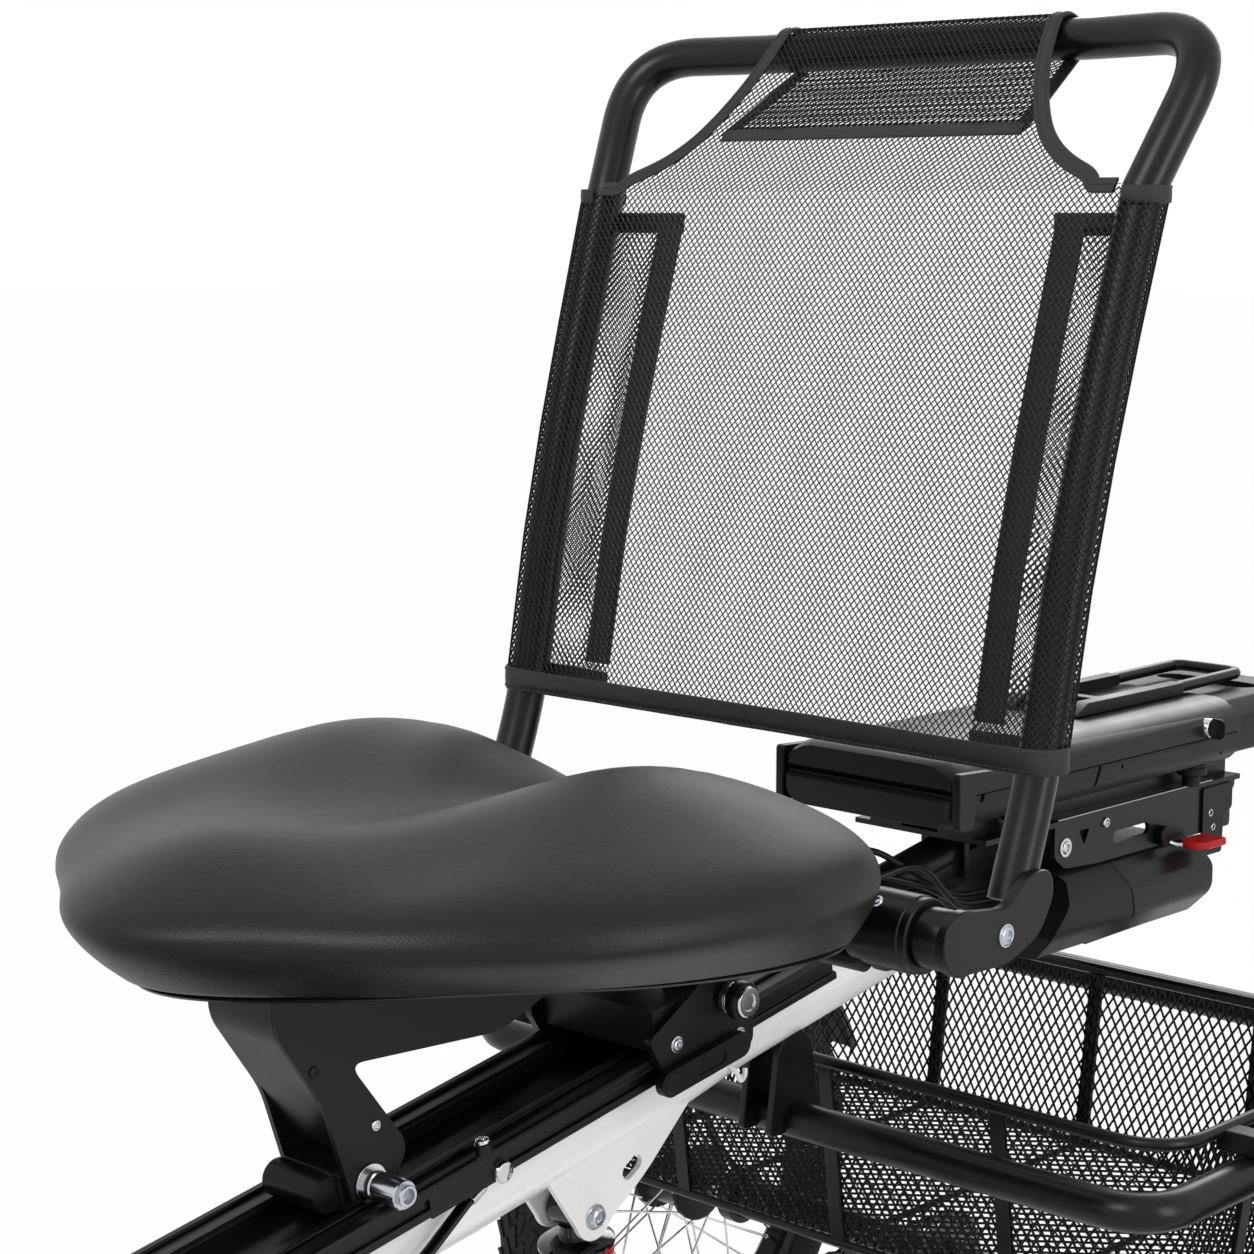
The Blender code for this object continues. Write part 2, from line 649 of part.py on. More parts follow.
def backrest_crossbar():
    """Pivot bar across the seat's rear, with a drum at each end."""
    reach = Vector((DRUM_INNER + 0.004, 0, 0))
    bar = rod(PIVOT - reach, PIVOT + reach, CROSSBAR_RADIUS, 16)
    low = Vector((0.0, -0.003, -0.021))
    second = rod(PIVOT + low - reach, PIVOT + low + reach, 0.009, 12)
    added = [second]
    for side in (-1.0, 1.0):
        inner, outer = Vector((side * DRUM_INNER, 0, 0)), Vector((side * DRUM_OUTER, 0, 0))
        added.append(rod(PIVOT + inner, PIVOT + outer, DRUM_RADIUS, 20))
        fin_low, fin_high = sorted((side * (DRUM_INNER + 0.012), side * (DRUM_OUTER - 0.0005)))
        fin = [(PIVOT.y - 0.020, PIVOT.z - 0.012), (PIVOT.y - 0.014, PIVOT.z - 0.030),
               (PIVOT.y + 0.020, PIVOT.z - 0.031), (PIVOT.y + 0.040, PIVOT.z - 0.026),
               (PIVOT.y + 0.020, PIVOT.z)]
        added.append(plate(fin, fin_low, fin_high, "X"))
    body = fuse(bar, *added)
    return piece("backrest_crossbar", body, BLACK, SEAT)


LEVER = pivot("seat_lever_pivot", rail_point(*LEVER_PIN, 0.061), SEAT)
LEG_PATH = [(0.2275, 0.2965, 0.610), (0.2275, 0.325, 0.689), (0.2290, 0.346, 0.800), (0.2305, 0.3655, 0.880),
            (0.2320, 0.3865, 0.955), (0.2345, 0.414, 1.047)]
TOP_BAR = Vector((0.0, 0.490, 1.148))
TOP_CORNER = Vector((0.2550, 0.467, TOP_BAR.z))


def leg_centre(z):
    """Return the backrest leg's centre at a height, on the left side."""
    spans = list(zip(LEG_PATH, LEG_PATH[1:]))
    for low, high in spans:
        if z <= high[2] or (low, high) == spans[-1]:
            share = (z - low[2]) / (high[2] - low[2])
            return low[0] + (high[0] - low[0]) * share, low[1] + (high[1] - low[1]) * share
    return LEG_PATH[-1][:2]


def backrest_frame():
    """Bent backrest tube with a lug plate and an inner drum at each foot."""
    half = [Vector(point) for point in LEG_PATH] + [TOP_CORNER, Vector((0.145, TOP_BAR.y, TOP_BAR.z))]
    bend = rounded([half[-3], half[-2], half[-1]], 0.080, 6)[1:]
    left = half[:-2] + bend
    right = [Vector((-p.x, p.y, p.z)) for p in reversed(left)]
    loop = tube(left + right, BACK_TUBE, 3)
    added = []
    y, z = PIVOT.y, PIVOT.z
    lug = arc((y, z), 0.0205, 65.0, 285.0, 8)
    lug += [(y + 0.045, z - 0.021), (y + 0.080, z - 0.004), (y + 0.096, z + 0.030), (y + 0.0940, z + 0.060),
            (y + 0.073, z + 0.062), (y + 0.063, z + 0.034), (y + 0.043, z + 0.014)]
    for side in (-1.0, 1.0):
        low, high = sorted((side * (LUG_INNER - 0.0015), side * LUG_OUTER))
        added.append(plate(lug, low, high, "X"))
        inner = Vector((side * (DRUM_OUTER + 0.0005), 0, 0))
        outer = Vector((side * (LUG_INNER + 0.001), 0, 0))
        added.append(rod(PIVOT + inner, PIVOT + outer, 0.0190, 16))
        bolt = Vector((0.0, 0.041, -0.002))
        reach_in, reach_out = Vector((side * 0.245, 0, 0)), Vector((side * (LUG_OUTER + 0.0025), 0, 0))
        added.append(rod(PIVOT + bolt + reach_in, PIVOT + bolt + reach_out, 0.0070, 12))
    body = fuse(loop, *added)
    return piece("backrest_frame", body, BLACK, RECLINE)


seat_slider_front()
seat_pin()
seat_bracket()
seat_slider_rear()
clamp_bolt()
seat_release_lever()
backrest_crossbar()
backrest_frame()


SADDLE_CENTRE_Y = 0.025
SADDLE_STEPS = 32
# Angle round the saddle's centre from +X towards the rear, reach at mid height, and the underside's share.
SADDLE_PLAN = [(-90.0, 0.252, 0.84), (-63.0, 0.226, 0.79), (-40.0, 0.232, 0.70), (-20.0, 0.243, 0.70),
               (0.0, 0.252, 0.79), (15.0, 0.263, 0.86), (30.0, 0.270, 0.92), (45.0, 0.254, 0.95),
               (62.0, 0.200, 0.96), (90.0, 0.166, 0.95)]


def smooth_between(table, at, column):
    """Read a table of angles with a smooth curve through its rows."""
    rows = [(-180.0 - table[1][0], *table[1][1:])] + table + [(180.0 - table[-2][0], *table[-2][1:])]
    for before, low, high, after in zip(rows, rows[1:], rows[2:], rows[3:]):
        if at <= high[0] or high is table[-1]:
            share = (at - low[0]) / (high[0] - low[0])
            slope_low = (high[column] - before[column]) / (high[0] - before[0]) * (high[0] - low[0])
            slope_high = (after[column] - low[column]) / (after[0] - low[0]) * (high[0] - low[0])
            square, cube = share ** 2, share ** 3
            return (low[column] * (2 * cube - 3 * square + 1) + slope_low * (cube - 2 * square + share)
                    + high[column] * (3 * square - 2 * cube) + slope_high * (cube - square))
    return table[-1][column]


def saddle_top(x, y):
    """Return the height of the saddle's top surface over its base, with two lobes and a valley."""
    lobes = 0.021 * math.exp(-((abs(x) - 0.125) / 0.075) ** 2 - ((y - 0.070) / 0.110) ** 2)
    valley = 0.016 * math.exp(-(x / 0.060) ** 2) * (1.0 / (1.0 + math.exp(-(y + 0.070) / 0.035)))
    nose_drop = 0.020 * max(0.0, -(y + 0.080) / 0.150) ** 2
    return 0.088 + lobes - valley - nose_drop


def saddle():
    """Wide cushion saddle with a crown, drawn-in skirts, two rear lobes and a broad nose."""
    centre = Vector((0.0, SADDLE_CENTRE_Y, 0.0))
    mid_height = 0.040
    levels = [(None, 0.0), (0.35, 0.012)]
    crowns = [1.0, 0.985, 0.93, 0.82, 0.66, 0.46, 0.24]
    bm = bmesh.new()
    rings = []

    def loop(reach_of, height_of):
        points = []
        for step in range(SADDLE_STEPS):
            angle = -90.0 + 360.0 * step / SADDLE_STEPS
            folded = angle if angle <= 90.0 else 180.0 - angle
            reach = smooth_between(SADDLE_PLAN, folded, 1)
            share = smooth_between(SADDLE_PLAN, folded, 2)
            far = reach * reach_of(share)
            x = far * math.cos(math.radians(angle))
            y = centre.y + far * math.sin(math.radians(angle))
            points.append(bm.verts.new((x, y, SADDLE_BASE + height_of(x, y))))
        rings.append(points)

    for blend, height in levels:
        grown = 0.0 if blend is None else blend
        loop(lambda share, grown=grown: share + (1.0 - share) * grown, lambda x, y, height=height: height)
    for crown in crowns:
        rise = (1.0 - crown ** 3.0) ** 0.42
        loop(lambda share, crown=crown: crown,
             lambda x, y, rise=rise: mid_height + (saddle_top(x, y) - mid_height) * rise)
    for low, high in zip(rings, rings[1:]):
        for index in range(SADDLE_STEPS):
            after = (index + 1) % SADDLE_STEPS
            bm.faces.new((low[index], low[after], high[after], high[index]))
    bm.faces.new(rings[0])
    peak = bm.verts.new((0.0, centre.y, SADDLE_BASE + saddle_top(0.0, centre.y)))
    for index in range(SADDLE_STEPS):
        bm.faces.new((rings[-1][index], rings[-1][(index + 1) % SADDLE_STEPS], peak))
    close(bm)
    return piece("saddle", mesh_object(bm), HIDE, SEAT)


NET_THICK = 0.0012
NET_OFFSET = BACK_TUBE + 0.0032
NET_COLUMNS = 12
NET_ROWS = 8
NET_LOW = 0.690
NET_HIGH = 1.040
NET_STRAND = 0.0032
FLAP_EDGE = 0.163
TONGUE_COLUMNS = (3, 9)


def lattice(bm, grid, strand):
    """Fill a grid of points with a diamond net, whose edges keep solid triangles."""
    rows, columns = len(grid) - 1, len(grid[0]) - 1
    used = {}

    def vertex(i, j):
        if (i, j) not in used:
            used[(i, j)] = bm.verts.new(grid[j][i])
        return used[(i, j)]

    for j in range(rows + 1):
        for i in range(columns + 1):
            if (i + j) % 2 == 0:
                continue
            around = [(i - 1, j), (i, j - 1), (i + 1, j), (i, j + 1)]
            outside = [spot for spot in around if not (0 <= spot[0] <= columns and 0 <= spot[1] <= rows)]
            corners = [vertex(*(spot if spot not in outside else (i, j))) for spot in around]
            if outside:
                bm.faces.new(corners)
                continue
            middle = sum((corner.co for corner in corners), Vector()) / 4.0
            wide = (corners[0].co - corners[2].co).length / 2.0
            tall = (corners[1].co - corners[3].co).length / 2.0
            share = 1.0 - strand / 2.0 * math.hypot(wide, tall) / (wide * tall)
            inner = [bm.verts.new(middle + (corner.co - middle) * share) for corner in corners]
            for index in range(4):
                after = (index + 1) % 4
                bm.faces.new((corners[index], corners[after], inner[after], inner[index]))


def thick_sheet(bm, thickness):
    """Give an open sheet its wall."""
    bmesh.ops.remove_doubles(bm, verts=bm.verts, dist=0.00005)
    bmesh.ops.recalc_face_normals(bm, faces=bm.faces)
    sheet = mesh_object(bm)
    wall = sheet.modifiers.new("wall", "SOLIDIFY")
    wall.thickness = thickness
    wall.offset = 0.0
    bpy.context.view_layer.update()
    mesh = bpy.data.meshes.new_from_object(sheet.evaluated_get(bpy.context.evaluated_depsgraph_get()))
    sheet.modifiers.clear()
    sheet.data = mesh
    turn_out(sheet)
    return sheet


def net_section(z):
    """Return the net's points across the front at one height, from right to left."""
    x_leg, y_leg = leg_centre(z)
    x_leg -= 0.001
    points = []
    for column in range(NET_COLUMNS + 1):
        share = column / NET_COLUMNS * 2.0 - 1.0
        points.append(Vector((x_leg * share, y_leg - NET_OFFSET, z)))
    return points


def sleeve_section(z, side):
    """Return the sleeve's points round one leg, from the front to the flap's inner edge behind."""
    x_leg, y_leg = leg_centre(z)
    x_in = x_leg - 0.001
    points = [Vector((side * x_in, y_leg - NET_OFFSET, z))]
    for angle in (-45.0, 0.0, 45.0, 90.0):
        points.append(Vector((side * (x_leg + NET_OFFSET * math.cos(math.radians(angle))),
                              y_leg + NET_OFFSET * math.sin(math.radians(angle)), z)))
    points.append(Vector((side * FLAP_EDGE, y_leg + NET_OFFSET, z)))
    return points


def backrest_net():
    """Net cover: an open-mesh front panel, a sleeve and flap round each leg, a tongue over the top bar."""
    heights = [NET_LOW + (NET_HIGH - NET_LOW) * row / NET_ROWS for row in range(NET_ROWS + 1)]
    bm = bmesh.new()
    lattice(bm, [net_section(z) for z in heights], NET_STRAND)
    for side in (-1.0, 1.0):
        strips = [[bm.verts.new(point) for point in sleeve_section(z, side)] for z in heights]
        for low, high in zip(strips, strips[1:]):
            for index in range(len(low) - 1):
                bm.faces.new((low[index], low[index + 1], high[index + 1], high[index]))
    first, last = TONGUE_COLUMNS
    base = net_section(NET_HIGH)[first:last + 1]
    rows = [base]
    for angle in (180.0, 135.0, 90.0, 45.0, 0.0, -37.0):
        y = TOP_BAR.y + NET_OFFSET * math.cos(math.radians(angle))
        z = TOP_BAR.z + NET_OFFSET * math.sin(math.radians(angle))
        rows.append([Vector((point.x, y, z)) for point in base])
    rows.append([Vector((point.x, TOP_BAR.y - 0.023, TOP_BAR.z - 0.052)) for point in base])
    strips = [[bm.verts.new(point) for point in row] for row in rows]
    for low, high in zip(strips, strips[1:]):
        for index in range(len(low) - 1):
            bm.faces.new((low[index], low[index + 1], high[index + 1], high[index]))
    return piece("backrest_net", thick_sheet(bm, NET_THICK), NET, RECLINE)


saddle()
backrest_net()


TAIL_INSET = 0.006
DOCK_TOP = BATTERY_LOW - SEAT_GAP
DOCK_FRONT, DOCK_REAR = 0.500, 0.845
DOCK_LOW = 0.549
LATCH_Y, LATCH_Z = DOCK_REAR - 0.121, DOCK_LOW + 0.0085
CARRIER_HIGH = BATTERY_HIGH + 0.010


def battery_case():
    """Lower half of the battery housing, with a foot rail that runs in the dock's channel."""
    shell = box((-BATTERY_HALF, BATTERY_FRONT, BATTERY_LOW), (BATTERY_HALF, BATTERY_SEAM, LID_LINE), 0.004)
    shoe = box((-0.0150, BATTERY_FRONT + 0.080, BATTERY_LOW - 0.010),
               (0.0150, BATTERY_SEAM - 0.02, BATTERY_LOW + 0.006))
    return piece("battery_case", fuse(shell, shoe), MATTE, PACK)


def battery_lid():
    """Upper half of the battery housing, with sloped upper edges."""
    low, slope = LID_LINE + SEAT_GAP, 0.010
    outline = [(-BATTERY_HALF, low), (BATTERY_HALF, low), (BATTERY_HALF, BATTERY_HIGH - slope),
               (BATTERY_HALF - slope, BATTERY_HIGH), (-BATTERY_HALF + slope, BATTERY_HIGH),
               (-BATTERY_HALF, BATTERY_HIGH - slope)]
    lid = plate(outline, BATTERY_FRONT + 0.003, BATTERY_SEAM, "Y")
    corner = Matrix.Translation((0.0, BATTERY_FRONT, BATTERY_HIGH))
    corner_wedge = box((-0.1, -0.012, -0.012), (0.1, 0.012, 0.012), 0.0,
                       corner @ Matrix.Rotation(math.radians(45.0), 4, "X"))
    keyhole = rod((0.06, *KEY_PLACE.yz), (0.09, *KEY_PLACE.yz), 0.0082, 16)
    cut(lid, corner_wedge, keyhole)
    return piece("battery_lid", lid, MATTE, PACK)


def battery_tail():
    """End section of the battery, with a hand grip slot."""
    wide = BATTERY_HALF - TAIL_INSET
    tail = box((-wide, BATTERY_SEAM + SEAT_GAP, BATTERY_LOW + 0.004), (wide, BATTERY_REAR, BATTERY_LOW + 0.046),
               0.006)
    slot = box((-0.045, BATTERY_REAR - 0.055, BATTERY_LOW - 0.008),
               (0.045, BATTERY_REAR - 0.030, BATTERY_LOW + 0.062))
    lamp_seat = box((-0.0303, BATTERY_REAR - 0.006, BATTERY_LOW + 0.0147),
                    (0.0303, BATTERY_REAR + 0.01, BATTERY_LOW + 0.0353))
    cut(tail, slot, lamp_seat)
    return piece("battery_tail", tail, MATTE, PACK)


def tail_light():
    """Red rear light in the battery's end."""
    lamp = box((-0.030, BATTERY_REAR - 0.0057, BATTERY_LOW + 0.015),
               (0.030, BATTERY_REAR + 0.0005, BATTERY_LOW + 0.035))
    return piece("tail_light", lamp, RED, PACK)


def carrier_rails():
    """Flat twin bars with a cross link and a rear hoop on the battery's lid."""
    low = BATTERY_HIGH + SEAT_GAP
    bar_front, bar_rear = BATTERY_SEAM - 0.160, BATTERY_SEAM - 0.013
    hoop_y, hoop_z = BATTERY_SEAM + 0.079, low + 0.0062
    solids = []
    for side in (-1.0, 1.0):
        near, far = sorted((side * 0.024, side * 0.036))
        solids.append(box((near, bar_front, low), (far, bar_rear, CARRIER_HIGH)))
        solids.append(rod((side * 0.030, bar_rear - 0.022, hoop_z), (side * 0.030, hoop_y + 0.002, hoop_z),
                          0.0048, 8))
    links = [box((-0.0255, bar_front + 0.045, low), (0.0255, bar_front + 0.055, CARRIER_HIGH - 0.002)),
             rod((-0.030, hoop_y, hoop_z), (0.030, hoop_y, hoop_z), 0.0048, 8)]
    body = fuse(solids[0], *solids[1:], *links)
    return piece("carrier_rails", body, BLACK, PACK)


def battery_key():
    """Key in the battery's lock on the left side."""
    y, z = KEY_PLACE.yz
    barrel = rod((KEY_PLACE.x - 0.009, y, z), (KEY_PLACE.x + 0.009, y, z), 0.0075, 16)
    bow = box((KEY_PLACE.x + 0.008, y - 0.0015, z - 0.008), (KEY_PLACE.x + 0.021, y + 0.0015, z + 0.008))
    return piece("battery_key", fuse(barrel, bow), STEEL, KEY)


def battery_dock():
    """Sheet channel that carries the battery, with two side plates and a middle groove."""
    solids = [box((-DOCK_HALF, DOCK_FRONT, DOCK_TOP - 0.022), (DOCK_HALF, DOCK_REAR, DOCK_TOP), 0.0)]
    outline = [(0.591, DOCK_TOP - 0.018), (0.591, DOCK_LOW + 0.012), (0.602, DOCK_LOW), (DOCK_REAR, DOCK_LOW),
               (DOCK_REAR, DOCK_TOP - 0.018)]
    for side in (-1.0, 1.0):
        low, high = sorted((side * (DOCK_HALF - SHEET), side * DOCK_HALF))
        solids.append(plate(outline, low, high, "X"))
    body = fuse(solids[0], *solids[1:])
    groove = box((-0.0158, DOCK_FRONT - 0.01, DOCK_TOP - 0.0108), (0.0158, DOCK_REAR + 0.01, DOCK_TOP + 0.01))
    window = box((-0.08, 0.660, DOCK_LOW + 0.012), (0.08, 0.712, DOCK_LOW + 0.021))
    drop = rod((-0.08, 0.622, DOCK_LOW + 0.020), (0.08, 0.622, DOCK_LOW + 0.020), 0.0065, 8)
    cut(body, groove, window, drop)
    return piece("battery_dock", body, BLACK)


def dock_lever():
    """Red lever on the dock's left side plate, which locks the battery."""
    hub = rod((DOCK_HALF + SEAT_GAP, LATCH_Y, LATCH_Z), (DOCK_HALF + 0.008, LATCH_Y, LATCH_Z), 0.008, 12)
    blade = box((DOCK_HALF + 0.002, LATCH_Y - 0.002, LATCH_Z - 0.0110),
                (DOCK_HALF + 0.030, LATCH_Y + 0.052, LATCH_Z - 0.0050), 0.0015)
    return piece("dock_lever", fuse(hub, blade), RED, DOCK_LATCH)


def controller_box():
    """Motor controller under the dock: a long box with sloped sides and chamfered ends."""
    half, low, high = 0.076, DOCK_LOW - 0.060, DOCK_LOW - SEAT_GAP
    outline = [(-half + 0.016, low), (half - 0.016, low), (half, low + 0.018), (half, high - 0.020),
               (half - 0.020, high), (-half + 0.020, high), (-half, high - 0.020), (-half, low + 0.018)]
    front = 0.562
    body = plate(outline, front, 0.779, "Y")
    nose = box((-0.1, -0.018, -0.018), (0.1, 0.018, 0.018), 0.0,
               Matrix.Translation((0.0, front, low)) @ Matrix.Rotation(math.radians(45.0), 4, "X"))
    cut(body, nose)
    return piece("controller_box", body, MATTE)


def rack_frame():
    """Black rack arm bolted on the main tube's rear end, up to the dock and round the controller."""
    seat_v = -TUBE_DROP + TUBE_REAR_RADIUS + SEAT_GAP
    beam = rail_box((-0.014, 0.290, seat_v - 0.004), (0.014, 0.462, seat_v + 0.018))
    upper = rod(rail_point(0.275, -0.0035), rail_point(0.373, -0.0035), 0.015, 12)
    knee = rail_box((-0.012, 0.290, seat_v + 0.010), (0.012, 0.330, 0.004))
    under = DOCK_TOP - 0.022 - SEAT_GAP
    post = box((-0.020, 0.5285, 0.550), (0.020, 0.5345, under))
    rear_post = box((-0.014, 0.600, 0.560), (0.014, 0.618, under))
    cradle = [box((-0.052, 0.596, under - 0.006), (0.052, 0.622, under)),
              box((-0.050, 0.530, under - 0.006), (0.050, 0.544, under))]
    body = fuse(beam, upper, knee, post, rear_post, *cradle)
    cut(body, rod(tube_centre(0.260), tube_centre(TUBE_REAR + SEAT_GAP),
                  flats(TUBE_REAR_RADIUS + SEAT_GAP, 16), 16))
    return piece("rack_frame", body, BLACK)


KEY = pivot("battery_key_pivot", KEY_PLACE, PACK)
DOCK_LATCH = pivot("dock_lever_pivot", Vector((DOCK_HALF, LATCH_Y, LATCH_Z)))
battery_case()
battery_lid()
battery_tail()
tail_light()
carrier_rails()
battery_key()
battery_dock()
dock_lever()
controller_box()
rack_frame()


def rear_frame():
    """Black sprung rear frame: cross tube, two side arms, a rear bar and lugs on the main tube."""
    rear_y = 0.800
    corners = [Vector((0.0, CROSS_TUBE.y, CROSS_TUBE.z)), Vector((ARM_SPREAD, CROSS_TUBE.y, CROSS_TUBE.z)),
               Vector((ARM_SPREAD, rear_y, CROSS_TUBE.z)), Vector((0.0, rear_y, CROSS_TUBE.z))]
    half = rounded(corners, 0.040, 4)
    hoop = half + [Vector((-p.x, p.y, p.z)) for p in reversed(half[1:-1])]
    body = tube(hoop, ARM_RADIUS, 2, cyclic=True)
    y = CROSS_TUBE.y
    bolt_z = under_tube(y) + TUBE_RADIUS - 0.0075
    low, high = CROSS_TUBE.z - 0.008, bolt_z + 0.016
    lug = [(y - 0.027, low), (y + 0.027, low), (y + 0.017, high - 0.008), (y + 0.007, high), (y - 0.007, high),
           (y - 0.017, high - 0.008)]
    solids = []
    for side in (-1.0, 1.0):
        low, high = sorted((side * (TUBE_REAR_RADIUS + SEAT_GAP), side * (TUBE_REAR_RADIUS + 0.0053)))
        solids.append(plate(lug, low, high, "X"))
        bolt_in, bolt_out = side * (TUBE_REAR_RADIUS + 0.004), side * (TUBE_REAR_RADIUS + 0.0110)
        solids.append(rod((bolt_in, y, bolt_z), (bolt_out, y, bolt_z), 0.0075, 6))
    return piece("rear_frame", fuse(body, *solids), BLACK)


def basket_corner(share):
    """Return how far the basket's walls have drawn in at a share of its depth, from rim to floor."""
    return 0.018 * share


def basket_outline(z, bend=0.045, steps=4, inset=0.0):
    """Return the basket's rounded rectangle at a height."""
    share = (BASKET_RIM - z) / (BASKET_RIM - BASKET_FLOOR)
    draw = basket_corner(share) + inset
    wide, front, rear = BASKET_HALF - draw, BASKET_FRONT + draw, BASKET_REAR - draw
    corners = [Vector((-wide, front, z)), Vector((wide, front, z)), Vector((wide, rear, z)),
               Vector((-wide, rear, z))]
    return rounded(corners, bend, steps, cyclic=True)


def basket_frame():
    """Basket's wire frame: rim, floor ring, upright bands, cross wires and hooks over the side arms."""
    body = tube(basket_outline(BASKET_RIM, steps=3), BASKET_WIRE, 1, cyclic=True)
    ring_low = tube(basket_outline(BASKET_FLOOR, steps=3), BASKET_WIRE - 0.001, 1, cyclic=True)
    solids = [ring_low]
    draw = basket_corner(1.0)
    band = 0.006
    for y_rim, y_floor in ((BASKET_FRONT, BASKET_FRONT + draw), (BASKET_REAR, BASKET_REAR - draw)):
        for x in (-0.150, 0.0, 0.150):
            way = Vector((0.0, y_floor - y_rim, BASKET_FLOOR - BASKET_RIM))
            frame = basis(Vector((x, y_rim, BASKET_RIM)), way)
            solids.append(box((-band, -0.0022, 0.0), (band, 0.0022, way.length), 0.0, frame))
    for side in (-1.0, 1.0):
        for y in (0.505, 0.625):
            way = Vector((-side * draw, 0.0, BASKET_FLOOR - BASKET_RIM))
            frame = basis(Vector((side * BASKET_HALF, y, BASKET_RIM)), way)
            solids.append(box((-0.0022, -band, 0.0), (0.0022, band, way.length), 0.0, frame))
    for x in (-0.150, 0.0, 0.150):
        solids.append(rod((x, BASKET_FRONT + draw, BASKET_FLOOR), (x, BASKET_REAR - draw, BASKET_FLOOR),
                          0.0025, 6))
    arm_top = CROSS_TUBE.z + ARM_RADIUS + SEAT_GAP
    for side in (-1.0, 1.0):
        for y in (0.465, 0.665):
            low, high = sorted((side * (BASKET_HALF - 0.003), side * (ARM_SPREAD + 0.010)))
            solids.append(box((low, y - 0.009, arm_top), (high, y + 0.009, BASKET_RIM + 0.0015)))
    return piece("basket_frame", fuse(body, *solids), BLACK)


BASKET_STRAND = 0.0045
BASKET_SHEET = 0.0014
WIRE_GAP = 0.0032


def basket_wall(name, start, end, columns, rows, inward):
    """Make one net wall of the basket between two upright edges, just inside its frame."""
    low, high = BASKET_FLOOR + 0.0068, BASKET_RIM - 0.0048
    grid = []
    for row in range(rows + 1):
        z = low + (high - low) * row / rows
        shift = basket_corner((BASKET_RIM - z) / (BASKET_RIM - BASKET_FLOOR)) + WIRE_GAP
        line = []
        for column in range(columns + 1):
            place = Vector(start).lerp(Vector(end), column / columns) + Vector(inward) * shift
            line.append(Vector((place.x, place.y, z)))
        grid.append(line)
    bm = bmesh.new()
    lattice(bm, grid, BASKET_STRAND)
    return piece(name, thick_sheet(bm, BASKET_SHEET), BLACK)


def basket_nets():
    """Five net panels inside the basket's frame."""
    corner = 0.050
    wide, front, rear = BASKET_HALF, BASKET_FRONT, BASKET_REAR
    basket_wall("basket_net_front", (-wide + corner, front, 0), (wide - corner, front, 0), 8, 4, (0, 1, 0))
    basket_wall("basket_net_rear", (-wide + corner, rear, 0), (wide - corner, rear, 0), 8, 4, (0, -1, 0))
    basket_wall("basket_net_left", (wide, front + corner, 0), (wide, rear - corner, 0), 4, 4, (-1, 0, 0))
    basket_wall("basket_net_right", (-wide, front + corner, 0), (-wide, rear - corner, 0), 4, 4, (1, 0, 0))
    draw = basket_corner(1.0) + 0.012
    z = BASKET_FLOOR + 0.0046
    columns, rows = 6, 4
    grid = [[Vector((-wide + draw + (wide - draw) * 2.0 * column / columns,
                     front + draw + (rear - front - 2.0 * draw) * row / rows, z))
             for column in range(columns + 1)] for row in range(rows + 1)]
    bm = bmesh.new()
    lattice(bm, grid, BASKET_STRAND)
    piece("basket_net_floor", thick_sheet(bm, BASKET_SHEET), BLACK)


rear_frame()
basket_frame()
basket_nets()


def tyre_profile(radius, width):
    """Return a tyre's cross-section, from the rim bead over the tread, as (radius, height)."""
    half = width / 2.0
    inner = radius - TYRE_DEPTH
    grow = 1.0 / math.cos(math.pi / TYRE_STEPS)
    outline = [(inner, -half * 0.50), (inner + 0.010, -half * 0.86), (radius - 0.016, -half),
               (radius, -half * 0.42), (radius, half * 0.42), (radius - 0.016, half),
               (inner + 0.010, half * 0.86), (inner, half * 0.50)]
    return [(r * grow, h) for r, h in outline]


def wheel(centre, tyre_radius, width, hub_radius, hub_half, bore, spokes=8):
    """Make a spoked wheel without its tyre: hub, flanges, spokes and rim."""
    rim_top = tyre_radius - TYRE_DEPTH - 0.0006
    rim_low = rim_top - 0.014
    half = width * 0.25
    grow = 1.0 / math.cos(math.pi / TYRE_STEPS)
    rim = turned([(rim_low * grow, -half), (rim_top * grow, -half), (rim_top * grow, half),
                  (rim_low * grow, half)],
                 centre, (1, 0, 0), TYRE_STEPS)
    flange = hub_radius + 0.007
    bore = flats(bore, 12)
    hub = turned([(bore, -hub_half), (flange, -hub_half), (flange, -hub_half + 0.008),
                  (hub_radius, -hub_half + 0.010),
                  (hub_radius, hub_half - 0.010), (flange, hub_half - 0.008), (flange, hub_half),
                  (bore, hub_half)],
                 centre, (1, 0, 0), 12)
    solids = [hub]
    for index in range(spokes):
        angle = math.tau * index / spokes
        lean = 0.16 if index % 4 < 2 else -0.16
        side = 1.0 if index % 2 else -1.0
        out = Vector((0.0, math.cos(angle), math.sin(angle)))
        start_way = Vector((0.0, math.cos(angle + lean), math.sin(angle + lean)))
        start = Vector(centre) + start_way * (flange - 0.004) + Vector((side * (hub_half - 0.006), 0, 0))
        end = Vector(centre) + out * (rim_low + 0.006)
        solids.append(rod(start, end, 0.0014, 4))
    return fuse(rim, *solids)


def tyre(centre, radius, width):
    """Make a tyre."""
    return turned(tyre_profile(radius, width), centre, (1, 0, 0), TYRE_STEPS)


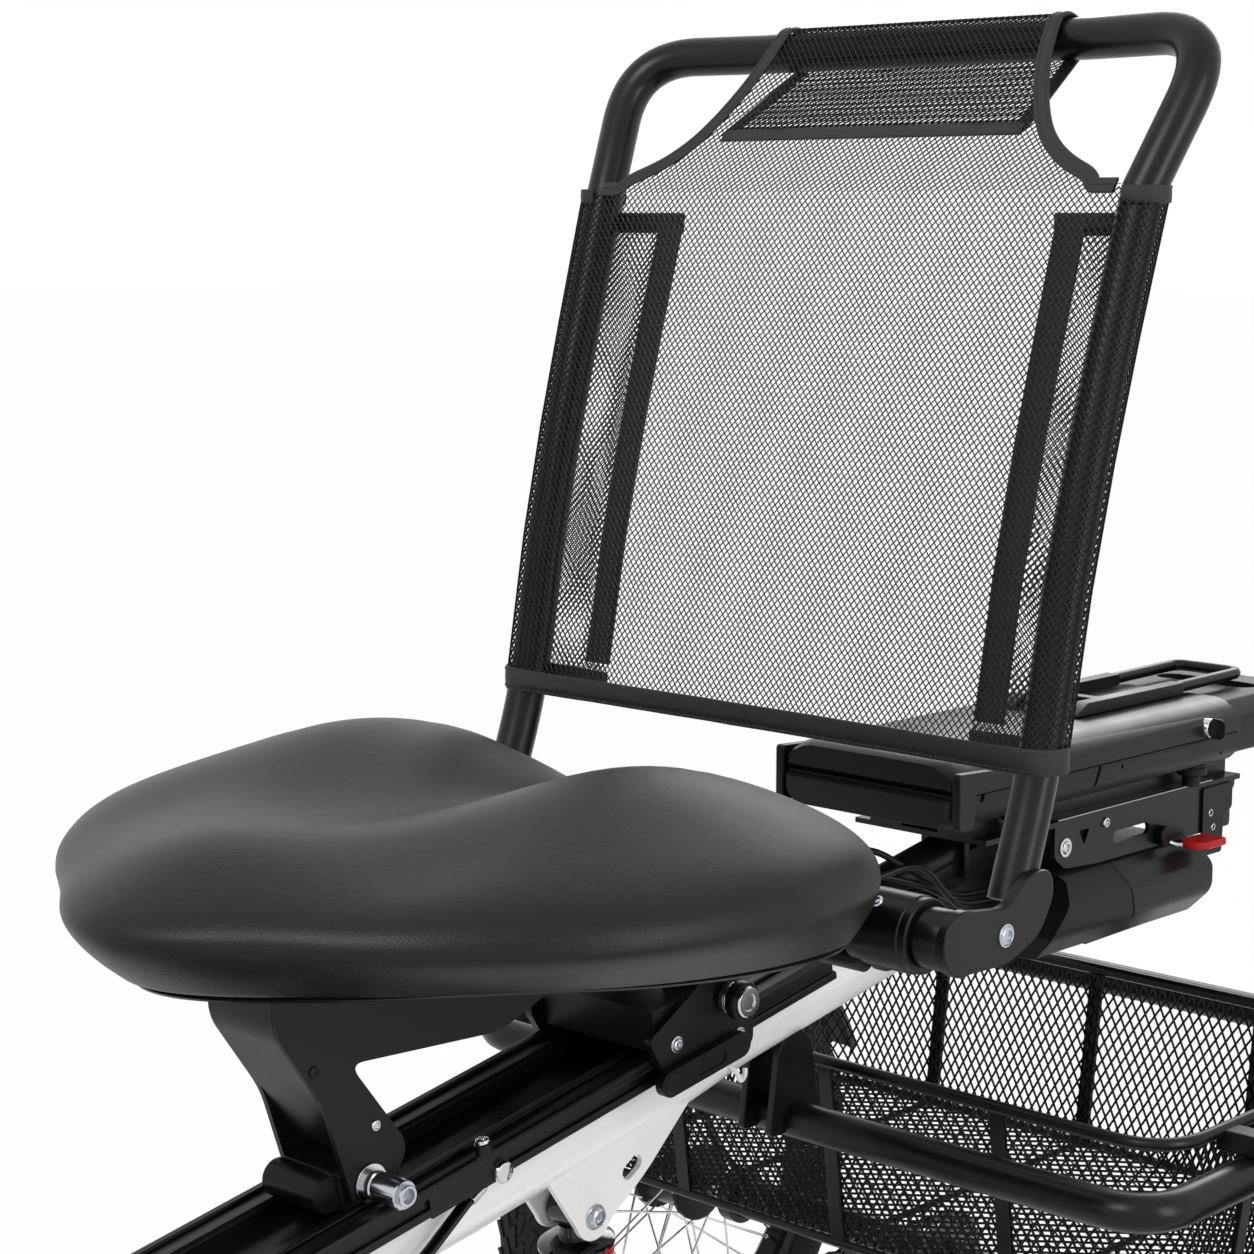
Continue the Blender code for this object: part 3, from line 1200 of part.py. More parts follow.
def guard(centre, radius, half, start, end, steps):
    """Make a mudguard: an arched strip with turned-down edges, between two angles from +Y up."""
    outer = radius + GUARD_WALL
    section = [(radius - 0.010, -half), (outer - 0.003, -half), (outer, -half * 0.55), (outer, half * 0.55),
               (outer - 0.003, half), (radius - 0.010, half), (radius - 0.010, half - 0.0025),
               (radius, half * 0.50), (radius, -half * 0.50), (radius - 0.010, -half + 0.0025)]
    bm = bmesh.new()
    rings = []
    for step in range(steps + 1):
        angle = math.radians(start + (end - start) * step / steps)
        rings.append([bm.verts.new((centre[0] + h, centre[1] + r * math.cos(angle),
                                    centre[2] + r * math.sin(angle)))
                      for r, h in section])
    for low, high in zip(rings, rings[1:]):
        for index in range(len(section)):
            after = (index + 1) % len(section)
            bm.faces.new((low[index], low[after], high[after], high[index]))
    bm.faces.new(rings[0])
    bm.faces.new(rings[-1])
    close(bm)
    return mesh_object(bm)


FRONT_HUB_HALF = 0.034
REAR_HUB_HALF = 0.026
FRONT_BORE = 0.0060
REAR_BORE = 0.0090
CROWN_LOW, CROWN_HIGH = 0.335, HEAD_LOW - 0.0015
STANCHION_LOW = 0.120
LEG_TOP = 0.282
ARCH_LOW = 0.2725


def fork_crown():
    """Fork crown with its two stanchions and the steerer tube."""
    steerer = rod(head_point(CROWN_LOW + 0.002), head_point(HEAD_LOW + HEAD_LENGTH + 0.0010),
                  STEERER_RADIUS, 16)
    frame = basis(head_point(0.0), head_point(1.0) - head_point(0.0))
    middle = FORK_OFFSET / 2.0
    crown = box((-LEG_SPREAD - 0.019, -middle - 0.042, CROWN_LOW), (LEG_SPREAD + 0.019, 0.020, CROWN_HIGH),
                0.004, frame)
    solids = [crown]
    for side in (-1.0, 1.0):
        x = side * LEG_SPREAD
        solids.append(rod(head_point(STANCHION_LOW, FORK_OFFSET, x),
                          head_point(CROWN_HIGH - 0.004, FORK_OFFSET, x),
                          STANCHION_RADIUS, 12))
    return piece("fork_crown", fuse(steerer, *solids), STEEL, STEERING)


def fork_lowers():
    """Fork's sliding legs, joined by an arch over the tyre, with the front axle between their feet."""
    solids = []
    bores = []
    for side in (-1.0, 1.0):
        x = side * LEG_SPREAD
        solids.append(rod(head_point(-0.020, FORK_OFFSET, x), head_point(LEG_TOP, FORK_OFFSET, x),
                          LOWER_RADIUS, 16))
        bores.append(rod(head_point(STANCHION_LOW - FORK_TRAVEL - 0.003, FORK_OFFSET, x),
                         head_point(LEG_TOP + 0.01, FORK_OFFSET, x), STANCHION_RADIUS + SLIDE_GAP, 16))
    frame = basis(head_point(0.0, FORK_OFFSET), head_point(1.0) - head_point(0.0))
    arch = box((-LEG_SPREAD, -0.012, ARCH_LOW), (LEG_SPREAD, 0.012, LEG_TOP), 0.0, frame)
    axle = rod(FRONT_AXLE - Vector((0.078, 0, 0)), FRONT_AXLE + Vector((0.078, 0, 0)),
               FRONT_BORE - RUN_GAP, 12)
    body = fuse(solids[0], solids[1], arch, axle)
    cut(body, *bores)
    return piece("fork_lowers", body, BLACK, FORK)


def front_mudguard():
    """Front mudguard under the fork's arch, with a stay on each side down to the axle ends."""
    radius = ARCH_LOW - SEAT_GAP - GUARD_WALL
    half = 0.033
    body = guard(FRONT_AXLE, radius, half, 18.0, 140.0, 9)
    solids = []
    end = math.radians(26.0)
    for side in (-1.0, 1.0):
        low = FRONT_AXLE + Vector((side * (half - 0.0015), (radius - 0.003) * math.cos(end),
                                   (radius - 0.003) * math.sin(end)))
        knee = FRONT_AXLE + Vector((side * 0.0765, 0.085, 0.030))
        foot = FRONT_AXLE + Vector((side * 0.0765, 0.0080, 0.0030))
        solids.append(tube([low, knee, foot], 0.0022, 1))
        eye_in = FRONT_AXLE + Vector((side * (LEG_SPREAD + LOWER_RADIUS + SEAT_GAP), 0, 0))
        eye_out = FRONT_AXLE + Vector((side * (LEG_SPREAD + LOWER_RADIUS + 0.004), 0, 0))
        solids.append(ring(eye_in, eye_out, 0.011, FRONT_BORE + SEAT_GAP, 12))
    return piece("front_mudguard", fuse(body, *solids), MATTE, FORK)


fork_crown()
fork_lowers()
front_mudguard()
piece("front_wheel", wheel(FRONT_AXLE, FRONT_RADIUS, FRONT_TYRE, 0.020, FRONT_HUB_HALF, FRONT_BORE), STEEL,
      FRONT_SPIN)
piece("front_tyre", tyre(FRONT_AXLE, FRONT_RADIUS, FRONT_TYRE), RUBBER, FRONT_SPIN)


RISER_LOW = HEAD_LOW + HEAD_LENGTH + 0.0015
RISER_HIGH = 0.760
POST_LOW = 0.600
BAR_CENTRE = 0.885
POST_TRAVEL_DOWN, POST_TRAVEL_UP = 0.030, 0.050


def stem_riser():
    """Steering column above the head tube, hollow for the height post, with a clamp collar."""
    tube_body = rod(head_point(RISER_LOW), head_point(RISER_HIGH), RISER_RADIUS, 12)
    collar = rod(head_point(RISER_HIGH - 0.034), head_point(RISER_HIGH), RISER_RADIUS + 0.005, 12)
    frame = basis(head_point(0.0), head_point(1.0) - head_point(0.0))
    ears = box((-0.009, 0.010, RISER_HIGH - 0.030), (0.009, 0.034, RISER_HIGH - 0.004), 0.0, frame)
    foot = rod(head_point(RISER_LOW), head_point(RISER_LOW + 0.012), 0.0215, 12)
    body = fuse(tube_body, collar, ears, foot)
    bore = rod(head_point(RISER_LOW + 0.035), head_point(RISER_HIGH + 0.01), POST_RADIUS + SLIDE_GAP, 16)
    cut(body, bore)
    return piece("stem_riser", body, BLACK, STEERING)


def bar_path():
    """Return the handlebar's path from the right end to the left end."""
    centre = head_point(BAR_CENTRE)
    half = [centre + Vector((0.045, 0, 0)), centre + Vector((0.100, -0.004, 0.020)),
            centre + Vector((0.185, -0.010, 0.064)), centre + Vector((0.250, 0.012, 0.068)),
            centre + Vector((0.360, 0.124, 0.062))]
    bent = [centre] + rounded(half, 0.050, 2)
    mirror = [Vector((-p.x, p.y, p.z)) for p in reversed(bent[1:])]
    return mirror + bent


def stem_post():
    """Sliding height post with the handlebar clamp."""
    post = rod(head_point(POST_LOW), head_point(BAR_CENTRE - 0.008), POST_RADIUS, 16)
    centre = head_point(BAR_CENTRE)
    clamp = rod(centre - Vector((0.020, 0, 0)), centre + Vector((0.020, 0, 0)), 0.0165, 16)
    body = fuse(post, clamp)
    cut(body, rod(centre - Vector((0.03, 0, 0)), centre + Vector((0.03, 0, 0)), BAR_RADIUS + SEAT_GAP, 16))
    return piece("stem_post", body, STEEL, POST)


def bar_end(side):
    """Return the bar's end point and its outward direction on one side."""
    path = bar_path()
    end, before = (path[-1], path[-2]) if side > 0 else (path[0], path[1])
    return end, (end - before).normalized()


def grips():
    """Left grip and the shorter right throttle grip, each a ribbed sleeve over the bar's end."""
    for name, side, carrier in (("grip_left", 1.0, POST), ("throttle_grip", -1.0, THROTTLE)):
        end, way = bar_end(side)
        length = GRIP_LENGTH if side > 0 else GRIP_LENGTH - 0.040
        inner = flats(BAR_RADIUS + (SEAT_GAP if side > 0 else SLIDE_GAP), 12)
        start = end - way * length
        profile = [(inner, 0.0), (GRIP_RADIUS + 0.002, 0.0), (GRIP_RADIUS + 0.002, 0.004)]
        ribs = 3
        pitch = (length - 0.010) / ribs
        for rib in range(ribs):
            low = 0.005 + rib * pitch
            profile += [(GRIP_RADIUS - 0.0015, low), (GRIP_RADIUS, low + pitch * 0.5)]
        profile += [(GRIP_RADIUS, length), (inner, length)]
        piece(name, turned(profile, start, way, 12), RUBBER, carrier)


def lever_mount(side):
    """Return the bar point that a brake lever's clamp goes round, and the outward direction there."""
    end, way = bar_end(side)
    return end - way * (GRIP_LENGTH + 0.017), way


def handlebar():
    """Bent handlebar tube with a brake lever clamp and pivot ears on each side."""
    solids = []
    for side in (1.0, -1.0):
        hinge, way, ahead = brake_hinge(side)
        place = hinge - ahead * 0.030
        solids.append(rod(place - way * 0.008, place + way * 0.008, GRIP_RADIUS, 12))
        for level in (-0.0065, 0.0065):
            low, high = Vector((0, 0, level - 0.002)), Vector((0, 0, level + 0.002))
            solids.append(rod(hinge + low, hinge + high, 0.0085, 8))
            arm = basis(place + ahead * 0.020 + Vector((0, 0, level)), ahead, (0, 0, 1))
            solids.append(box((-0.002, -0.0075, -0.010), (0.002, 0.0075, 0.010), 0.0, arm))
        solids.append(rod(hinge - Vector((0, 0, 0.0085)), hinge + Vector((0, 0, 0.0085)), 0.0028, 6))
    end, way = bar_end(-1.0)
    rest = end - way * (GRIP_LENGTH - 0.040 + SPIN_GAP)
    solids.append(rod(rest - way * 0.038, rest, GRIP_RADIUS, 12))
    return piece("handlebar", fuse(tube(bar_path(), BAR_RADIUS, 2), *solids), BLACK, POST)


def brake_hinge(side):
    """Return a brake lever's hinge point, the outward way and the forward way there."""
    place, way = lever_mount(side)
    ahead = Vector((0.0, 0.0, 1.0)).cross(way)
    ahead = -ahead if ahead.y > 0 else ahead
    return place + ahead * 0.030, way, ahead


def brake_levers():
    """Brake lever blades, which swing to the grips about upright pins."""
    for name, side in (("left", 1.0), ("right", -1.0)):
        hinge, way, ahead = brake_hinge(side)
        eye = ring(hinge - Vector((0, 0, 0.0040)), hinge + Vector((0, 0, 0.0040)), 0.0080, 0.0031, 12)
        points = [hinge + way * 0.0058 + ahead * 0.002, hinge + way * 0.030 + ahead * 0.014,
                  hinge + way * 0.075 + ahead * 0.016, hinge + way * 0.112 + ahead * 0.022]
        blade = tube(points, 0.0038, 2)
        knob = rod(points[-1] - Vector((0, 0, 0.004)), points[-1] + Vector((0, 0, 0.004)), 0.0065, 10)
        piece(f"brake_lever_{name}", fuse(eye, blade, knob), STEEL, BRAKES[name])


def display():
    """Display on the stem clamp with a button, and the headlight on the riser."""
    centre = head_point(BAR_CENTRE)
    body = box((-0.034, -0.030, 0.0180), (0.034, 0.034, 0.0340), 0.004,
               Matrix.Translation(centre) @ Matrix.Rotation(math.radians(22.0), 4, "X"))
    foot = box((-0.012, -0.010, 0.0), (0.012, 0.010, 0.020), 0.0,
               Matrix.Translation(centre) @ Matrix.Rotation(math.radians(22.0), 4, "X"))
    body = fuse(body, foot)
    turn = Matrix.Translation(centre) @ Matrix.Rotation(math.radians(22.0), 4, "X")
    clear = rod(centre - Vector((0.03, 0, 0)), centre + Vector((0.03, 0, 0)), 0.0165 + SEAT_GAP, 16)
    well = rod(turn @ Vector((0.0, 0.024, 0.029)), turn @ Vector((0.0, 0.024, 0.040)), 0.0064, 12)
    cut(body, clear, well)
    piece("display", body, MATTE, POST)
    cap = rod(turn @ Vector((0.0, 0.024, 0.0315)), turn @ Vector((0.0, 0.024, 0.0365)), 0.0056, 12)
    piece("display_button", cap, RUBBER, BUTTON)


def headlight():
    """Round headlight on a bracket at the front of the column."""
    base = head_point(0.560, RISER_RADIUS + 0.001)
    out = Vector((0.0, -1.0, 0.0))
    shell = turned([(0.0, 0.0), (0.022, 0.0), (0.030, 0.018), (0.030, 0.044), (0.0, 0.044)],
                   base + out * 0.012, out, 16, closed=False)
    stalk = rod(base - out * 0.002, base + out * 0.016, 0.008, 10)
    body = fuse(shell, stalk)
    clear = rod(head_point(0.50), head_point(0.62), RISER_RADIUS + SEAT_GAP, 16)
    cut(body, clear)
    piece("headlight", body, LENS, STEERING)


THROTTLE = pivot("throttle_pivot", bar_end(-1.0)[0], POST)
BRAKES = {"left": pivot("brake_left_pivot", brake_hinge(1.0)[0], POST),
          "right": pivot("brake_right_pivot", brake_hinge(-1.0)[0], POST)}
BUTTON = pivot("button_pivot", head_point(BAR_CENTRE), POST)
stem_riser()
stem_post()
handlebar()
grips()
brake_levers()
display()
headlight()


def swing_point(y, lift=0.0, x=0.0):
    """Return the point of the swingarm's legs at a distance along Y, from the crank axis to the rear axle."""
    share = (y - CRANK_AXIS.y) / (REAR_AXLE.y - CRANK_AXIS.y)
    return Vector((x, y, CRANK_AXIS.z + (REAR_AXLE.z - CRANK_AXIS.z) * share + lift))


IDLER = Vector((0.0, 0.300, 0.2755))
IDLER_RADIUS = 0.018
STUB_RADIUS = REAR_BORE - RUN_GAP


def swingarm():
    """Swingarm: two bearing rings, two legs, the rear axle beam with its stub axles, and the shock's fork."""
    solids = []
    ring_in, ring_out = 0.0425, 0.0565
    for side in (-1.0, 1.0):
        x = side * SWING_LEG
        solids.append(rod((side * ring_in, *CRANK_AXIS.yz), (side * ring_out, *CRANK_AXIS.yz), 0.026, 12))
        solids.append(rod(swing_point(CRANK_AXIS.y + 0.020, 0, x), (x, *REAR_AXLE.yz), SWING_RADIUS, 12))
        low, high = sorted((side * (SHOCK_EYE_HALF + 0.0006), side * (SHOCK_EYE_HALF + 0.0056)))
        y, z = SHOCK_FOOT.yz
        lug = [(y - 0.014, z - 0.028), (y + 0.014, z - 0.028), (y + 0.011, z + 0.009), (y - 0.011, z + 0.009)]
        solids.append(plate(lug, low, high, "X"))
        end = REAR_AXLE + Vector((side * (REAR_TRACK + REAR_HUB_HALF + 0.006), 0, 0))
        solids.append(rod(REAR_AXLE + Vector((side * (BEAM_HALF - 0.01), 0, 0)), end, STUB_RADIUS, 12))
    beam = rod(REAR_AXLE - Vector((BEAM_HALF, 0, 0)), REAR_AXLE + Vector((BEAM_HALF, 0, 0)), BEAM_RADIUS, 16)
    bridge_centre = Vector((0.0, SHOCK_FOOT.y, SHOCK_FOOT.z - 0.0245))
    bridge = rod(bridge_centre - Vector((SWING_LEG, 0, 0)), bridge_centre + Vector((SWING_LEG, 0, 0)),
                 0.010, 12)
    chain_side = CHAIN_X + CHAIN_WIDTH / 2.0 + SPIN_GAP
    idler = rod((CHAIN_X - 0.005, *IDLER.yz), (chain_side + 0.006, *IDLER.yz), IDLER_RADIUS, 16)
    stem = box((chain_side, IDLER.y - 0.008, swing_point(IDLER.y).z),
               (-SWING_LEG, IDLER.y + 0.008, IDLER.z + 0.010))
    body = fuse(beam, bridge, idler, stem, *solids)
    bearing = rod(CRANK_AXIS - Vector((0.08, 0, 0)), CRANK_AXIS + Vector((0.08, 0, 0)),
                  SLEEVE_RADIUS + 0.0007, 16)
    shell_room = rod(CRANK_AXIS - Vector((0.0412, 0, 0)), CRANK_AXIS + Vector((0.0412, 0, 0)),
                     SHELL_RADIUS + 0.010, 16)
    cut(body, bearing, shell_room)
    return piece("swingarm", body, BLACK, SWING)


def rear_mudguard(name, side):
    """Rear mudguard with a strut and a clamp on the axle beam."""
    centre = REAR_AXLE + Vector((side * REAR_TRACK, 0, 0))
    half = 0.034
    radius = REAR_RADIUS + GUARD_GAP - GUARD_WALL
    body = guard(centre, radius, half, 20.0, 150.0, 9)
    x_strut = side * (REAR_TRACK - half + 0.0018)
    clamp_in, clamp_out = side * (BEAM_HALF - 0.016), side * (BEAM_HALF - 0.003)
    clamp = ring((clamp_in, *REAR_AXLE.yz), (clamp_out, *REAR_AXLE.yz), BEAM_RADIUS + 0.006,
                 BEAM_RADIUS + SEAT_GAP, 12)
    foot = Vector(((clamp_in + clamp_out) / 2.0, REAR_AXLE.y, REAR_AXLE.z + BEAM_RADIUS + 0.0035))
    strut = tube([foot, Vector((x_strut, REAR_AXLE.y, REAR_AXLE.z + 0.045)),
                  Vector((x_strut, REAR_AXLE.y, REAR_AXLE.z + radius - 0.002))], 0.0026, 1)
    return piece(name, fuse(body, clamp, strut), MATTE, SWING)


def offset_hull(circles, grow):
    """Return the outline of a belt round circles of (y, z, radius), grown outwards."""
    outline = []
    count = len(circles)
    for index in range(count):
        y, z, radius, turn = circles[index]
        y_before, z_before, radius_before, turn_before = circles[index - 1]
        y_after, z_after, radius_after, turn_after = circles[(index + 1) % count]

        def tangent(a, b):
            ya, za, ra, ta = a
            yb, zb, rb, tb = b
            far = math.hypot(yb - ya, zb - za)
            heading = math.atan2(zb - za, yb - ya)
            return heading + math.asin((ta * ra - tb * rb) / far)

        first = tangent((y_before, z_before, radius_before, turn_before), (y, z, radius, turn))
        last = tangent((y, z, radius, turn), (y_after, z_after, radius_after, turn_after))
        reach = (radius + turn * grow) * turn
        start, end = first - math.pi / 2.0, last - math.pi / 2.0
        while (end - start) * turn < 0:
            end += math.tau * turn
        steps = max(1, math.ceil(abs(end - start) / LINK_ANGLE))
        for step in range(steps + 1):
            angle = start + (end - start) * step / steps
            outline.append((y + reach * math.cos(angle), z + reach * math.sin(angle)))
    return outline


def chain():
    """Chain as one slim belt round the chainring and the sprocket, under the idler."""
    lift = CHAIN_HALF + 0.0004
    circles = [(CRANK_AXIS.y, CRANK_AXIS.z, CHAINRING_RADIUS, 1.0),
               (REAR_AXLE.y, REAR_AXLE.z, SPROCKET_RADIUS, 1.0),
               (IDLER.y, IDLER.z, IDLER_RADIUS, -1.0)]
    outer = offset_hull([(y, z, r + lift, t) for y, z, r, t in circles], CHAIN_HALF)
    inner = offset_hull([(y, z, r + lift, t) for y, z, r, t in circles], -CHAIN_HALF)
    bm = bmesh.new()
    low, high = CHAIN_X - CHAIN_WIDTH / 2.0, CHAIN_X + CHAIN_WIDTH / 2.0
    loops = [[bm.verts.new((x, y, z)) for y, z in outline] for x in (low, high) for outline in (outer, inner)]
    count = len(outer)
    for a, b in ((loops[0], loops[1]), (loops[1], loops[3]), (loops[3], loops[2]), (loops[2], loops[0])):
        for index in range(count):
            after = (index + 1) % count
            bm.faces.new((a[index], a[after], b[after], b[index]))
    close(bm)
    return piece("chain", mesh_object(bm), STEEL, SWING)


def sprocket():
    """Rear sprocket that turns round the axle beam."""
    tooth = SPROCKET_RADIUS * math.cos(LINK_ANGLE / 2.0)
    bore = flats(BEAM_RADIUS + RUN_GAP, 24)
    profile = [(bore, -0.0135), (BEAM_RADIUS + 0.008, -0.0135), (BEAM_RADIUS + 0.008, -0.0025),
               (tooth, -0.0025), (tooth, 0.0025), (bore, 0.0025)]
    place = REAR_AXLE + Vector((CHAIN_X, 0, 0))
    return piece("sprocket", turned(profile, place, (1, 0, 0), 24), STEEL, SPROCKET_SPIN)


def crankset():
    """Crank spindle with both arms and the chainring."""
    reach = CRANK_OUT + 0.012
    spindle = rod(CRANK_AXIS - Vector((reach, 0, 0)), CRANK_AXIS + Vector((reach, 0, 0)), SPINDLE_RADIUS, 12)
    solids = []
    for side in (-1.0, 1.0):
        low, high = sorted((side * CRANK_OUT, side * (CRANK_OUT + 0.013)))
        way = -side
        outline = arc((CRANK_AXIS.y, CRANK_AXIS.z), 0.018, 180.0 if way > 0 else 0.0,
                      360.0 if way > 0 else 180.0, 6)
        tip_z = CRANK_AXIS.z + way * CRANK_LENGTH
        outline += arc((CRANK_AXIS.y, tip_z), 0.013, 0.0 if way > 0 else 180.0,
                       180.0 if way > 0 else 360.0, 5)
        solids.append(plate(outline, low, high, "X"))
    ring_low, ring_high = CHAIN_X - 0.0022, CHAIN_X + 0.0022
    disc = rod((ring_low, *CRANK_AXIS.yz), (ring_high, *CRANK_AXIS.yz),
               CHAINRING_RADIUS * math.cos(LINK_ANGLE / 2.0), 24)
    boss = rod((-CRANK_OUT - 0.002, *CRANK_AXIS.yz), (ring_high, *CRANK_AXIS.yz), 0.020, 16)
    body = fuse(spindle, disc, boss, *solids)
    holes = []
    for index in range(5):
        angle = math.tau * index / 5
        y = CRANK_AXIS.y + 0.037 * math.cos(angle)
        z = CRANK_AXIS.z + 0.037 * math.sin(angle)
        holes.append(rod((ring_low - 0.002, y, z), (ring_high + 0.002, y, z), 0.0105, 6))
    for side in (-1.0, 1.0):
        tip = CRANK_AXIS + Vector((side * (CRANK_OUT + 0.0065), 0, -side * CRANK_LENGTH))
        holes.append(rod(tip - Vector((0.01, 0, 0)), tip + Vector((0.01, 0, 0)), 0.0057, 10))
    cut(body, *holes)
    return piece("crankset", body, STEEL, CRANK_SPIN)


def pedal(name, side):
    """Pedal: a block on its spindle, which runs in the crank arm's eye."""
    tip = CRANK_AXIS + Vector((side * CRANK_OUT, 0, -side * CRANK_LENGTH))
    spindle = rod(tip, tip + Vector((side * 0.100, 0, 0)), 0.0050, 10)
    x_low, x_high = sorted((side * (CRANK_OUT + 0.018), side * (CRANK_OUT + 0.108)))
    block = box((x_low, tip.y - 0.042, tip.z - 0.011), (x_high, tip.y + 0.042, tip.z + 0.011), 0.003)
    return piece(name, fuse(block, spindle), MATTE, PEDAL_SPINS[name.split("_")[1]])


SHOCK_WAY = (SHOCK_FOOT - SHOCK_TOP).normalized()


def shock_place(s):
    """Return the point s down the shock from its upper eye."""
    return SHOCK_TOP + SHOCK_WAY * s


def shock():
    """Shock: body with the upper eye and spring cup, rod with the lower eye and cup, coil and red ring."""
    length = (SHOCK_FOOT - SHOCK_TOP).length
    eye_half = SHOCK_EYE_HALF
    eye = ring(SHOCK_TOP - Vector((eye_half, 0, 0)), SHOCK_TOP + Vector((eye_half, 0, 0)), 0.0115, 0.0056, 16)
    neck = rod(shock_place(0.0090), shock_place(0.024), 0.0100, 12)
    cup = rod(shock_place(0.020), shock_place(0.024), SPRING_RADIUS + 0.0045, 16)
    damper = rod(shock_place(0.022), shock_place(0.078), 0.0115, 12)
    body = fuse(eye, neck, cup, damper)
    cut(body, rod(shock_place(0.040), shock_place(0.090), 0.0050 + SLIDE_GAP, 12))
    piece("shock_body", body, BLACK, SHOCK)
    lower_eye = ring(SHOCK_FOOT - Vector((eye_half, 0, 0)), SHOCK_FOOT + Vector((eye_half, 0, 0)), 0.0100,
                     0.0050, 12)
    foot_cup = turned([(0.0040, 0.0), (SPRING_RADIUS + 0.0040, 0.0), (SPRING_RADIUS + 0.0040, 0.004),
                       (0.0040, 0.004)],
                      shock_place(length - 0.0165), SHOCK_WAY, 16)
    foot_neck = rod(shock_place(length - 0.0150), shock_place(length - 0.008), 0.0085, 12)
    stem = rod(shock_place(0.070), shock_place(length - 0.010), 0.0050, 12)
    piece("shock_rod", fuse(stem, foot_cup, foot_neck, lower_eye), STEEL, ROD)
    ring_low = 0.024 + SEAT_GAP
    collar = ring(shock_place(ring_low), shock_place(ring_low + 0.007), SPRING_RADIUS + 0.0030,
                  0.0115 + SEAT_GAP, 16)
    piece("preload_ring", collar, RED, SHOCK)
    start, end = ring_low + 0.007 + SEAT_GAP, length - 0.0165 - SEAT_GAP
    frame = basis(SHOCK_TOP, SHOCK_WAY)
    per_turn, wire = 8, SPRING_WIRE / 2.0
    count = SPRING_TURNS * per_turn
    low, high = start + wire, end - wire
    points = []
    for index in range(count + 1):
        angle = math.tau * index / per_turn
        s = low + (high - low) * index / count
        points.append(frame @ Vector((SPRING_RADIUS * math.cos(angle) * 0.86,
                                      SPRING_RADIUS * math.sin(angle) * 0.86, s)))
    gap = (high - low) / SPRING_TURNS - SPRING_WIRE
    print(f"shock spring: least gap between turns {gap * 1000:.2f} mm")
    piece("shock_spring", tube(points, wire, 1), BLACK, SHOCK)


swingarm()
rear_mudguard("mudguard_left", 1.0)
rear_mudguard("mudguard_right", -1.0)
chain()
sprocket()
crankset()
pedal("pedal_left", 1.0)
pedal("pedal_right", -1.0)
shock()
for wheel_side, wheel_sign in (("left", 1.0), ("right", -1.0)):
    axle_end = REAR_AXLE + Vector((wheel_sign * REAR_TRACK, 0, 0))
    piece(f"rear_wheel_{wheel_side}", wheel(axle_end, REAR_RADIUS, REAR_TYRE, 0.026, REAR_HUB_HALF,
                                            REAR_BORE), STEEL,
          REAR_SPINS[wheel_side])
    piece(f"rear_tyre_{wheel_side}", tyre(axle_end, REAR_RADIUS, REAR_TYRE), RUBBER, REAR_SPINS[wheel_side])
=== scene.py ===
# %% [markdown]
# A three-wheel electric scooter with a wide saddle, a mesh backrest and a wire basket, dressed round
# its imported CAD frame. Every piece is built in metres in the frame's own axes: the front wheel is
# towards -Y, the rider's left is +X and the ground is z = 0. A reader who is learning Blender can
# follow it cell by cell: each text cell says what the real piece is, then why it is made this way.

# %% Load the frame
import math

import bmesh
import bpy
from mathutils import Matrix, Vector


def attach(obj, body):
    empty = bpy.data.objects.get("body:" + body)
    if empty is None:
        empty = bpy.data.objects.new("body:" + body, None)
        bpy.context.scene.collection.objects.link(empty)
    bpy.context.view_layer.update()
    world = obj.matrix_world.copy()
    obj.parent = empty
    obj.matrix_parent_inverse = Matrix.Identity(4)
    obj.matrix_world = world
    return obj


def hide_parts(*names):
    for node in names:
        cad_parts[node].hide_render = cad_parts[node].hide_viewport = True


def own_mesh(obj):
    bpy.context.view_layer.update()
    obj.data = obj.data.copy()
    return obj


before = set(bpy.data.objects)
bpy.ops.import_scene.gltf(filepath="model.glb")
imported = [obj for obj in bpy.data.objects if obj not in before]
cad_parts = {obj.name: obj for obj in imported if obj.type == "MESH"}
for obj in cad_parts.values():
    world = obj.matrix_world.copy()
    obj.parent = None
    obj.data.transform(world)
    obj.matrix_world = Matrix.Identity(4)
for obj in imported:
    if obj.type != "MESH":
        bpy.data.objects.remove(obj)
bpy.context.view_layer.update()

# %% [markdown]
# The photograph is a long-lens view from the front left of the machine, slightly from above. The
# camera is set from an aim point on the backrest's left pivot drum, the pixel it shows at, and a
# focal length in pixels, so each number can be checked against the picture.

# %% Camera
PHOTO_SIDE = 1254.0
PHOTO_FOCUS = 2800.0
PHOTO_TURN = math.radians(43.7)
PHOTO_DIP = math.radians(8.4)
AIM = Vector((0.2475, 0.225, 0.600))
AIM_PIXEL = (965.0, 945.0)
AIM_DEPTH = 1.675
SENSOR = 36.0


def photo_camera():
    """Make the camera that sees the object as the photograph does."""
    ahead = Vector((-math.sin(PHOTO_TURN) * math.cos(PHOTO_DIP),
                    math.cos(PHOTO_TURN) * math.cos(PHOTO_DIP), -math.sin(PHOTO_DIP)))
    right = Vector((math.cos(PHOTO_TURN), math.sin(PHOTO_TURN), 0.0))
    up = right.cross(ahead)
    middle = PHOTO_SIDE / 2.0
    ray = (ahead + right * ((AIM_PIXEL[0] - middle) / PHOTO_FOCUS)
           - up * ((AIM_PIXEL[1] - middle) / PHOTO_FOCUS))
    data = bpy.data.cameras.new("photo_camera")
    data.sensor_width = SENSOR
    data.lens = PHOTO_FOCUS / PHOTO_SIDE * SENSOR
    data.clip_start = 0.05
    camera = bpy.data.objects.new("photo_camera", data)
    place = Matrix((right, up, -ahead)).transposed().to_4x4()
    place.translation = AIM - ray * AIM_DEPTH
    camera.matrix_world = place
    bpy.context.scene.collection.objects.link(camera)
    bpy.context.scene.camera = camera
    return camera


print("camera at", tuple(round(v, 3) for v in photo_camera().matrix_world.translation))

